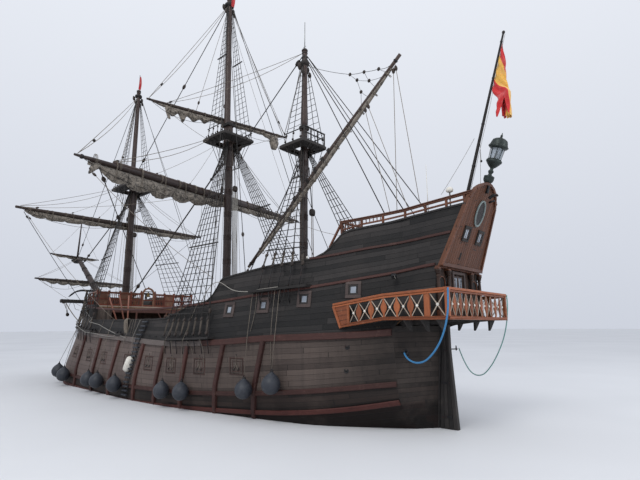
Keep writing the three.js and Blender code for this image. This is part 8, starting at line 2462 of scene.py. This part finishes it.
def cloth_piece(name, P, n, m, mat, replaces=()):
    """A single sheet P(s, t) with its seams as uv: u along t, v along s."""
    kit = Kit(name)
    base, mi = 0, kit.mat(mat)
    for i in range(n + 1):
        for j in range(m + 1):
            kit.v.append(tuple(P(i / n, j / m)))
    for i in range(n):
        for j in range(m):
            kit.f.append((i * (m + 1) + j, i * (m + 1) + j + 1, (i + 1) * (m + 1) + j + 1, (i + 1) * (m + 1) + j))
            kit.uv.append(((j / m, i / n), ((j + 1) / m, i / n), ((j + 1) / m, (i + 1) / n), (j / m, (i + 1) / n)))
            kit.mi.append(mi)
            kit.sm.append(True)
    ob = kit.make("root", "ensign_cloth", replaces)
    return ob


# the ensign hangs slack: its hoist is along the staff, its fly falls in folds abaft it
FLAG_RIGHT = [[13.2, -23.46], [14.3, -23.5], [15.15, -23.5], [16.1, -23.44], [16.5, -23.36]]
FLAG_LEFT = [[13.1, -22.9], [14.0, -22.98], [14.7, -23.02], [15.5, -23.1], [16.5, -23.3]]


def ensign(s, t):
    h = Vector((-23.33, 0, 16.74)).lerp(Vector((-22.7, 0, 14.62)), s)
    zb = lerp(13.32, 13.12, s)
    drop = t**0.92
    z = lerp(h.z, zb, drop)
    pull = smooth(t / 0.32)
    folds = 5.0 * s + 0.55 * math.sin(2.6 * t + 1.0) + 0.12 * math.sin(7 * s)
    # below the hoist the lower stripe falls across the front, the rest gathers in pleats behind it
    wrap = smooth((t - 0.14) / 0.3)
    front = clamp((s - 0.7) / 0.06, 0, 1)
    amp = (0.02 + 0.09 * smooth(t / 0.55)) * (0.75 + 0.25 * math.sin(9 * s + 3 * t)) * lerp(1.0, 0.3, front * wrap)
    spread = lerp(s, line([[0, 0.86], [0.25, 0.55], [0.7, 0.06], [0.76, 0.04], [1.0, 1.12]], s), wrap)
    across = spread + lerp(0.06, 0.015, front) * math.sin(2 * math.pi * folds * 2 + 0.6) * smooth(t / 0.4)
    x = lerp(h.x, lerp(line(FLAG_RIGHT, z), line(FLAG_LEFT, z), clamp(across, -0.05, 1.18)), pull)
    y = amp * math.sin(2 * math.pi * folds) + 0.025 * math.sin(11 * t + 4 * s) * t + wrap * line([[0, -0.12], [0.25, -0.16], [0.62, -0.06], [0.76, 0.2], [1.0, 0.16]], s)
    if s > 0.74:
        # the front fold ends higher over its middle, where the cloth behind shows
        z += wrap * t * t * line([[0, 0.1], [0.2, 0.3], [0.38, 0.95], [0.6, 0.5], [1, 0.15]], spread) * clamp((s - 0.74) / 0.05, 0, 1)
    z += 0.05 * math.sin(2 * math.pi * folds + 1.2) * smooth(t / 0.4) - 0.1 * (1 - abs(2 * t - 1)) * s * 0.6
    return Vector((x, y, z))


cloth_piece("ensign_cloth", ensign, 110, 64, M_ENSIGN, ["ensign"])
# pennants at the fore and main mastheads
for name_, x0_, z0_, long_, wide_ in (("fore_pennant", FORE_HEAD[0] + 0.0, 29.28, 1.35, 0.42), ("main_pennant", MAIN_HEAD[0] - 0.32, 30.5, 1.2, 0.4)):
    def pen(s, t, x0_=x0_, z0_=z0_, long_=long_, wide_=wide_):
        w = wide_ * (0.16 + 0.84 * math.sin(math.pi * min(1, 0.12 + t * 0.8)) ** 0.8)
        f = 2 * math.pi * (1.6 * s + 0.25 * t)
        return Vector((x0_ - 0.03 - w * s * 0.8, 0.07 * math.sin(f) * (0.3 + t), z0_ - long_ * t - 0.12 * s * t))
    cloth_piece(name_, pen, 24, 24, M_PENNANT)
poles = Kit("masthead_poles")
poles.tube([(FORE_HEAD[0] + 0.02, 0, 27.7), (FORE_HEAD[0] + 0.02, 0, 29.45)], [0.035, 0.02], M_TAR, 8)
poles.ball((FORE_HEAD[0] + 0.02, 0, 29.45), 0.045, M_TAR, 8, 6)
for (hx, hz, w_) in ((FORE_HEAD[0], 27.15, 0.34), (MAIN_HEAD[0], 29.55, 0.38), (MIZ_HEAD[0], 20.9, 0.3)):
    poles.lathe([(w_ * 0.55, -0.16), (w_ * 0.95, -0.1), (w_, 0.0), (w_ * 0.95, 0.1), (w_ * 0.5, 0.14)], (hx, 0, hz), M_TAR, sides=12)
    for s_ in (PORT, STARBOARD):
        block(poles, (hx + 0.1, s_ * (w_ + 0.06), hz - 0.3), (0, s_ * 0.2, 1), 0.13, 0.26)
        block(poles, (hx - 0.15, s_ * (w_ + 0.02), hz - 0.75), (0, 0.1, 1), 0.1, 0.2)
poles.make("root", "tarred_wood")

# ---- fenders over the port side, each on its line from the rail
FENDERS = [(-13.5, 4.29, 1.76, 0.44), (-11.86, 4.5, 1.42, 0.42), (-7.3, 5.01, 0.98, 0.43), (-5.62, 5.19, 0.92, 0.43), (-0.3, 5.34, 0.86, 0.45), (2.45, 5.24, 0.86, 0.45), (4.1, 5.18, 0.84, 0.45), (9.0, 5.12, 0.82, 0.47), (11.2, 4.8, 0.95, 0.47)]
fen = Kit("fenders")
lines_ = Kit("fender_lines")
for k, (x, y, z, r) in enumerate(FENDERS):
    y = hull_y(x, z) + r + 0.06
    fen.lathe([(0.02, -r), (r * 0.3, -r * 0.96), (r * 0.58, -r * 0.82), (r * 0.81, -r * 0.59), (r * 0.95, -r * 0.3), (r, 0.0), (r * 0.96, r * 0.28), (r * 0.84, r * 0.56), (r * 0.66, r * 0.8), (r * 0.44, r * 1.0), (r * 0.24, r * 1.15), (r * 0.14, r * 1.3), (0.05, r * 1.36)], (x, y, z), M_RUBBER, axis=(0.02 * (k % 3 - 1), -0.06, 1), sides=20)
    fen.lathe([(r * 0.16, 0), (r * 0.2, 0.02), (r * 0.2, 0.05), (r * 0.14, 0.08)], (x, y - 0.03, z + r * 1.16), M_DARK, sides=10)
    top_x = x + (0.35 if k > 6 else 0.05)
    zt = rail_z(clamp(top_x, -15, 15)) if k > 1 else 6.18
    eye_ = Vector((x, y - 0.04, z + r * 1.4))
    loop = [tuple(eye_ + Vector((math.cos(a) * 0.06, 0, math.sin(a) * 0.07))) for a in [2 * math.pi * q / 10 for q in range(11)]]
    lines_.tube(loop, 0.02, M_IRON, 6, caps=False)
    # up the side, clear of the wale or the channel's edge, and over the rail
    zw = wale_z(x)
    stand = 0.46 if (-9.4 < x < -4.9 or 5.1 < x < 11.0) else 0.16
    pts = [tuple(eye_ + Vector((0, 0, 0.06))), (lerp(x, top_x, 0.4), max(y * 0.0 + hull_y(x, zw) + stand, 0), zw + 0.1)]
    if k > 1:
        pts += [(top_x, top_y(clamp(top_x, -15, 15), zt) + 0.06, zt - 0.05), (top_x, top_y(clamp(top_x, -15, 15), zt) - 0.02, zt + 0.075)]
    else:
        pts += [(top_x, top_y(x, 6.0) + 0.3, 6.1)]
    lines_.tube(pts, 0.015, M_ROPE, 5)
# the white cylinder fender by the ladder
c0, c1 = Vector((-1.0, 5.48, 1.72)), Vector((-1.4, 5.42, 2.5))
ax = (c1 - c0).normalized()
fen.lathe([(0.05, -0.1), (0.14, -0.04), (0.23, 0.05), (0.25, 0.16), (0.25, 0.7), (0.23, 0.82), (0.14, 0.9), (0.05, 0.96)], tuple(c0), M_WHITE, axis=tuple(ax), sides=18)
lines_.tube([tuple(c0 + ax * 0.94), (-1.35, hull_y(-1.3, 3.6) + 0.2, 3.7), (-1.45, top_y(-1.4, 4.8) + 0.06, 4.78), (-1.45, top_y(-1.4, 4.8) - 0.03, 4.86)], 0.015, M_PALE_ROPE, 5)
fen.make("root", "tarred_wood")
# more thin lines that hang down the planking from the mizzen and main channels
for x, z0, z1, lean in ((-13.2, 6.1, 2.6, 0.1), (-12.1, 6.05, 4.1, 0.25), (-6.1, 3.6, 1.9, 0.15), (-8.7, 3.7, 2.5, 0.1), (-7.6, 3.6, 2.9, -0.1)):
    y0 = (top_y(x, z0) + 0.32) if z0 > 5 else hull_y(x, z0) + 0.42
    pts = [(x, y0, z0), (x + lean * 0.4, max(hull_y(x, lerp(z0, z1, 0.5)), top_y(x, lerp(z0, z1, 0.5)) if z0 > 5 else 0) + 0.14, lerp(z0, z1, 0.5)), (x + lean, hull_y(x + lean, z1) + 0.05, z1)]
    lines_.tube(spline(pts, 4), 0.013, M_ROPE, 5)
# two pale lines from the forecastle's rail, in a shallow curve, to a chock on the wale
for a, b, d in (((13.5, top_y(13.5, 6.8) + 0.06, 6.9), (-0.42, hull_y(-0.42, 3.7) + 0.14, 3.66), 0.3), ((13.5, top_y(13.5, 5.9) + 0.1, 5.85), (1.41, hull_y(1.41, 3.7) + 0.14, 3.71), 0.5)):
    pts = sag(a, b, d, 14)
    pts = [(x, max(y, (hull_y(x, z) if z < wale_z(x) else top_y(x, z)) + 0.16 + (0.42 if 5.1 < x < 11.0 and z < 4.9 else 0)), z) for x, y, z in pts]
    lines_.tube(pts, 0.02, M_HALYARD, 6)
# a line in a slack bight between the main and mizzen channels
lines_.tube(spline([(-7.6, top_y(-7.6, 5.5) + 0.05, 5.62), (-8.4, top_y(-8.4, 6.0) + 0.16, 6.5), (-9.04, top_y(-9.04, 6.7) + 0.2, 6.7), (-10.4, top_y(-10.4, 6.1) + 0.3, 6.2), (-11.5, top_y(-11.5, 6.0) + 0.36, 6.06), (-12.3, top_y(-12.3, 6.1) + 0.36, 6.13), (-13.4, top_y(-13.4, 6.1) + 0.36, 6.2)], 5), 0.02, M_PALE_ROPE, 5)
# a hank of pale rope hung over the waist's rail
for k in range(7):
    x = 0.2 + 0.045 * k
    y = top_y(0.3, 4.5) + 0.07
    lines_.tube(spline([(x, y - 0.34, 4.7), (x, y - 0.14, 4.9), (x - 0.05, y, 4.8), (x - 0.16 - 0.05 * math.sin(k), y + 0.02, 4.4), (x - 0.1, y + 0.03, 3.98 + 0.05 * math.sin(2.3 * k)), (x + 0.04, y + 0.03, 4.35), (x + 0.08, y, 4.8), (x + 0.08, y - 0.2, 4.88)], 4), 0.022, M_ROPE, 5)
for x, z1 in ((-0.3, 3.95), (-0.62, 3.9), (-0.95, 3.95)):
    lines_.tube([(x, top_y(x, 4.7) - 0.05, 4.86), (x, top_y(x, 4.7) + 0.07, 4.82), (x - 0.12, hull_y(x, 4.0) + 0.15, z1)], 0.013, M_ROPE, 5)
lines_.make("root", "rope")

# ---- boarding ladder of black rungs on two ropes
lad = Kit("boarding_ladder")
def rail_side(x, z, d):
    return (hull_y(x, z) if z < wale_z(x) + 0.2 else top_y(x, z)) + d
steps_ = 18
for side in (-0.23, 0.23):
    pts = []
    for i in range(13):
        t = i / 12
        x, z = lerp(-2.3, -0.95, t) + side, lerp(4.86, 0.12, t)
        pts.append((x, rail_side(x, z, 0.15 if 3.2 < z < 4.1 or z < 1.1 else 0.1), z))
    lad.tube([(pts[0][0], pts[0][1] - 0.24, 4.88)] + pts, 0.02, M_TARRED_ROPE, 5)
for i in range(steps_):
    t = (i + 0.5) / steps_
    x, z = lerp(-2.3, -0.95, t), lerp(4.8, 0.15, t)
    y = rail_side(x, z, 0.17 if 3.2 < z < 4.1 or z < 1.1 else 0.12)
    lad.beam((x - 0.3, y, z), (x + 0.3, y, z), 0.14, 0.085, M_RUBBER, up=(0, 0, 1), chamfer=0.25)
lad.make("root", "rope")

# ---- hull openings with metal rims, scuppers, chocks
fit = Kit("hull_fittings")
for s_ in (PORT, STARBOARD):
    for x, z, r, m in ((-16.8, 3.46, 0.1, M_IRON), (-16.7, 2.45, 0.09, M_IRON), (-19.2, 3.25, 0.1, M_IRON)):
        y = hull_y(x, z) if x > -18.7 else line([[3.0, 2.42], [3.6, 2.5]], z)
        if x < -18.7:
            continue
        dx = (hull_y(x + 0.2, z) - hull_y(x - 0.2, z)) / 0.4
        ax = Vector((-dx, s_, 0.1)).normalized()
        fit.lathe([(r * 0.7, -0.03), (r * 0.72, 0.008), (r, 0.014), (r * 1.15, 0.012), (r * 1.2, -0.004), (r * 1.2, -0.03)], (x, s_ * y, z), m, axis=tuple(ax), sides=18)
        # painted shade: a dark disc inside the rim stands in for the shade in the hole
        fit.lathe([(0.0, 0.004), (r * 0.7, 0.004), (r * 0.7, -0.02), (0.0, -0.02)], (x, s_ * y, z), M_DARK, axis=tuple(ax), sides=18)
    # small scuppers just above the main wale in the waist, each a flat dark strip on the planking: painted shade for
    # the hole
    for x in (-1.55, -2.3, -3.0, -3.7, -4.5, -0.6, 2.6, 4.4):
        z = wale_z(x) + 0.34
        y = top_y(x, z)
        fit.beam((x - 0.15, s_ * (y + 0.003), z), (x + 0.15, s_ * (y + 0.003), z), 0.1, 0.022, M_DARK, up=(0, s_, TUMBLEHOME))
    # chocks on the wale
    for x in (0.9, 5.4):
        z = wale_z(x) + 0.22
        y = hull_y(x, z)
        fit.beam((x - 0.42, s_ * (y + 0.1), z), (x + 0.42, s_ * (y + 0.1), z), 0.24, 0.16, M_TAR, up=(0, 0, 1), chamfer=0.25)
        for dx in (-0.22, 0.22):
            fit.lathe([(0.06, 0), (0.075, 0.02), (0.06, 0.1), (0.085, 0.14), (0.03, 0.16)], (x + dx, s_ * (y + 0.12), z + 0.06), M_IRON, sides=10)
    # pin rails inside the waist with their belaying pins and coils
    for x0, x1 in ((-8.2, -3.6), (3.9, 6.9)):
        za = rail_z((x0 + x1) / 2) - 0.3
        ya = lambda x: s_ * (top_y(x, za) - WALL - 0.12)
        fit.beam((x0, ya(x0), za), (x1, ya(x1), za), 0.2, 0.07, M_OAK)
        n = int((x1 - x0) / 0.32)
        for i in range(n):
            x = lerp(x0 + 0.15, x1 - 0.15, i / (n - 1))
            fit.lathe([(0.016, -0.22), (0.02, 0.0), (0.02, 0.05), (0.032, 0.1), (0.034, 0.18), (0.02, 0.22)], (x, ya(x), za), M_VARNISH, sides=6)
            if i % 2 == 0:
                for q in range(3):
                    loop = [(x + (0.07 + 0.012 * q) * math.cos(a), ya(x) - s_ * (0.04 + 0.02 * q), za - 0.16 + (0.2 + 0.02 * q) * math.sin(a)) for a in [2 * math.pi * k / 12 for k in range(13)]]
                    fit.tube(loop, 0.016, M_ROPE, 5, caps=False)
# warp leads in the flat tuck, where the two free ropes leave
for s_ in (PORT, STARBOARD):
    fit.lathe([(0.07, -0.03), (0.075, 0.01), (0.11, 0.015), (0.12, -0.005), (0.12, -0.03)], (-19.16, s_ * 2.3, 3.27), M_IRON, axis=(-0.85, s_ * 0.5, 0), sides=16)
    fit.beam((-18.66, s_ * 1.1, 3.24), (-19.16, s_ * 2.4, 3.22), 0.07, 0.05, M_IRON)
    fit.beam((-18.66, s_ * 0.9, 2.8), (-19.02, s_ * 1.95, 3.2), 0.05, 0.04, M_IRON)
# floodlight under the gallery's fore end, dome and rod on the poop rail
fit.beam((-18.72, 2.36, 6.5), (-18.84, 2.5, 6.4), 0.24, 0.2, M_IRON, chamfer=0.2)
fit.prism([(-18.86, 2.42, 6.33), (-18.92, 2.55, 6.34), (-18.9, 2.6, 6.46), (-18.84, 2.46, 6.46)], (-0.01, 0.012, -0.004), M_WHITE)
fit.tube([(-18.72, 2.2, 6.5), (-18.78, 2.4, 6.48)], 0.025, M_IRON, 6)
yd = top_y(-21.0, 9.6) - WALL / 2
fit.lathe([(0.1, -0.06), (0.15, -0.03), (0.16, 0.04), (0.14, 0.1), (0.09, 0.15), (0.02, 0.17)], (-21.0, yd, 10.06), M_WHITE, sides=18)
fit.tube([(-21.0, yd, 9.2), (-21.0, yd, 10.02)], 0.035, M_STEEL, 8)
ye = top_y(-19.95, 9.5) - WALL / 2
fit.tube([(-19.95, ye, 9.3), (-19.95, ye, 10.2), (-19.95, ye, 11.5)], [0.022, 0.016, 0.009], M_WHITE, 8)
# two small shaded lamps along the quarterdeck rail
for x in (-14.4, -14.15):
    fit.lathe([(0.03, 0), (0.045, 0.02), (0.045, 0.1), (0.02, 0.13)], (x, top_y(x, 7.5) - 0.1, 7.56), M_WHITE, sides=10)
fit.make("root", "iron")

# ---- deck gear: capstan, bitts, companion, coiled ropes, guns are not carried
dk = Kit("deck_gear")
cz = line(QUARTERDECK, -13.6) + 0.01
dk.lathe([(0.5, 0), (0.5, 0.08), (0.3, 0.12), (0.24, 0.3), (0.22, 0.6), (0.27, 0.72), (0.42, 0.76), (0.42, 0.95), (0.3, 1.0), (0.02, 1.02)], (-13.2, 0, cz), M_OAK, sides=20, smooth_=False)
for k in range(8):
    a = 2 * math.pi * k / 8
    dk.beam((-13.2 + 0.25 * math.cos(a), 0.25 * math.sin(a), cz + 0.12), (-13.2 + 0.23 * math.cos(a), 0.23 * math.sin(a), cz + 0.72), 0.07, 0.12, M_VARNISH_RED, up=(math.cos(a), math.sin(a), 0))
for x, zf in ((-4.75, deck_z(-4.75)), (10.3, line(FORECASTLE, 10.3)), (-11.95, line(QUARTERDECK, -11.95))):
    for y in (-0.5, 0.5):
        dk.beam((x, y, zf), (x, y, zf + 0.95), 0.18, 0.18, M_OAK, up=(1, 0, 0))
    dk.beam((x, -0.75, zf + 0.68), (x, 0.75, zf + 0.68), 0.16, 0.14, M_OAK)
    for q in range(6):
        y = -0.62 + q * 0.248
        dk.lathe([(0.016, -0.2), (0.02, 0.0), (0.032, 0.12), (0.034, 0.2), (0.02, 0.24)], (x, y, zf + 0.72), M_VARNISH, sides=6)
for x, y, zf, r in ((-6.9, 2.9, deck_z(-6.9), 0.34), (4.9, 2.5, deck_z(4.9), 0.36), (5.0, -2.6, deck_z(5.0), 0.34), (-10.4, 3.2, line(QUARTERDECK, -10.4), 0.3), (-17.4, 1.7, line(POOP, -17.4), 0.28), (8.8, 2.9, line(FORECASTLE, 8.8), 0.3), (8.9, -2.9, line(FORECASTLE, 8.9), 0.3)):
    pts = []
    for i in range(97):
        a = 2 * math.pi * i / 16
        rr = r * (1 - 0.52 * (i % 48) / 48)
        pts.append((x + rr * math.cos(a), y + rr * math.sin(a), zf + 0.03 + 0.05 * (i // 48)))
    dk.tube(pts, 0.024, M_ROPE, 5)
# companion hatch with a rounded top abaft the main mast, and the steering stand
for x, y, zf, w, d, h in ((-10.0, 0.0, line(QUARTERDECK, -10.0), 0.55, 0.5, 0.75), (6.2, 0.0, deck_z(6.2), 0.5, 0.45, 0.7)):
    ring = [(x - d, y + w * math.cos(a), zf + h * 0.55 + h * 0.45 * math.sin(a)) for a in [math.pi * q / 10 for q in range(11)]]
    ring = [(x - d, y + w, zf)] + ring + [(x - d, y - w, zf)]
    dk.grid([ring, [(px_ + 2 * d, py_, pz_) for px_, py_, pz_ in ring]], M_VARNISH_RED, smooth_=False)
dk.make("root", "deck_wood")

# ---- the forecastle's open front: boarded port end, loose spars leaning on the rail, dark rooms behind
ff = Kit("forecastle_front")
boards(ff, 7.42, 0.07, 3.02, 4.28, deck_z(7.5) + 0.02, 5.86, M_WEATHERED, 0.19)
boards(ff, 7.42, 0.07, -4.28, -3.3, deck_z(7.5) + 0.02, 5.86, M_WEATHERED, 0.19)
boards(ff, 9.2, 0.07, -4.2, 4.2, deck_z(9.2) + 0.02, 5.8, M_PANEL_DARK, 0.3)
ff.beam((7.36, -3.3, 5.66), (7.36, 3.05, 5.66), 0.06, 0.28, M_RED_BAND)
ff.beam((7.36, 1.0, 5.6), (7.36, 1.0, deck_z(7.3) + 0.02), 0.1, 0.14, M_RED_BAND, up=(1, 0, 0))
for a, b in (((7.18, 3.5, 6.9), (6.95, 2.5, deck_z(7.0) + 0.03)), ((7.18, 2.62, 6.9), (7.05, 1.98, deck_z(7.0) + 0.03)), ((7.2, 1.83, 6.9), (7.2, 1.78, deck_z(7.2) + 0.03))):
    ff.tube([a, tuple(Vector(a).lerp(Vector(b), 0.5)), b], 0.06, M_SALMON, 10)
for a, b in (((7.3, -0.9, 5.5), (7.25, -1.65, deck_z(7.3) + 0.05)), ((7.3, -1.65, 5.5), (7.25, -0.95, deck_z(7.3) + 0.05))):
    ff.beam(a, b, 0.07, 0.09, M_RED_BAND, up=(1, 0, 0))
# low house roof behind the belfry
ring = [(8.9, -1.9 + 1.1 * math.cos(a), 6.12 + 0.85 * math.sin(a)) for a in [math.pi * q / 12 for q in range(13)]]
ff.grid([ring, [(x + 1.6, y, z) for x, y, z in ring]], M_TAR, smooth_=False)
# canvas-covered gear and a bucket
ff.ball((8.0, 3.6, 6.15), 0.3, M_CANVAS, 14, 8, (1.2, 0.8, 0.9))
ff.lathe([(0.13, 0), (0.17, 0.3), (0.18, 0.31), (0.16, 0.3), (0.12, 0.02)], (6.6, 3.2, deck_z(6.6) + 0.005), M_OAK, sides=14)
ff.make("root", "varnished_wood")

# ---- tackles at the catheads
ct = Kit("cathead_tackles")
for s_ in (PORT, STARBOARD):
    low = Vector((15.5, s_ * 3.5, 5.5))
    ct.ball(tuple(low), 0.15, M_BLOCK, 12, 8, (0.7, 1.0, 1.1))
    for o, hy_ in ((-0.1, 3.98), (0.0, 3.85), (0.1, 3.72), (0.16, 3.3)):
        ct.tube([(15.58, s_ * hy_, 6.68), tuple(low + Vector((0, s_ * o * 0.7, 0.1)))], 0.016, M_ROPE, 5)
    ct.tube([(15.5, s_ * 3.1, 6.62), (15.3, s_ * 2.95, 6.0), (14.9, s_ * 2.75, 5.9)], 0.02, M_ROPE, 5)
    # ropes turned up about the bow: bights by the fore channel's end
    RNG.seed(31)
    for k in range(8):
        x = 14.9 - 0.42 * k
        y = top_y(min(x, 15.2), 5.6) + 0.08
        z = 5.5 + 0.12 * math.sin(2.1 * k)
        ct.tube(spline([(x, s_ * (y + 0.02), z + 1.0), (x - 0.05, s_ * (y + 0.1), z + 0.35), (x - 0.16, s_ * (y + 0.12), z - 0.15), (x - 0.28, s_ * (y + 0.1), z + 0.3), (x - 0.3, s_ * (y + 0.02), z + 0.98)], 4), 0.019, M_ROPE if k % 3 else M_TARRED_ROPE, 5)
ct.make("root", "rope")

bpy.context.view_layer.update()
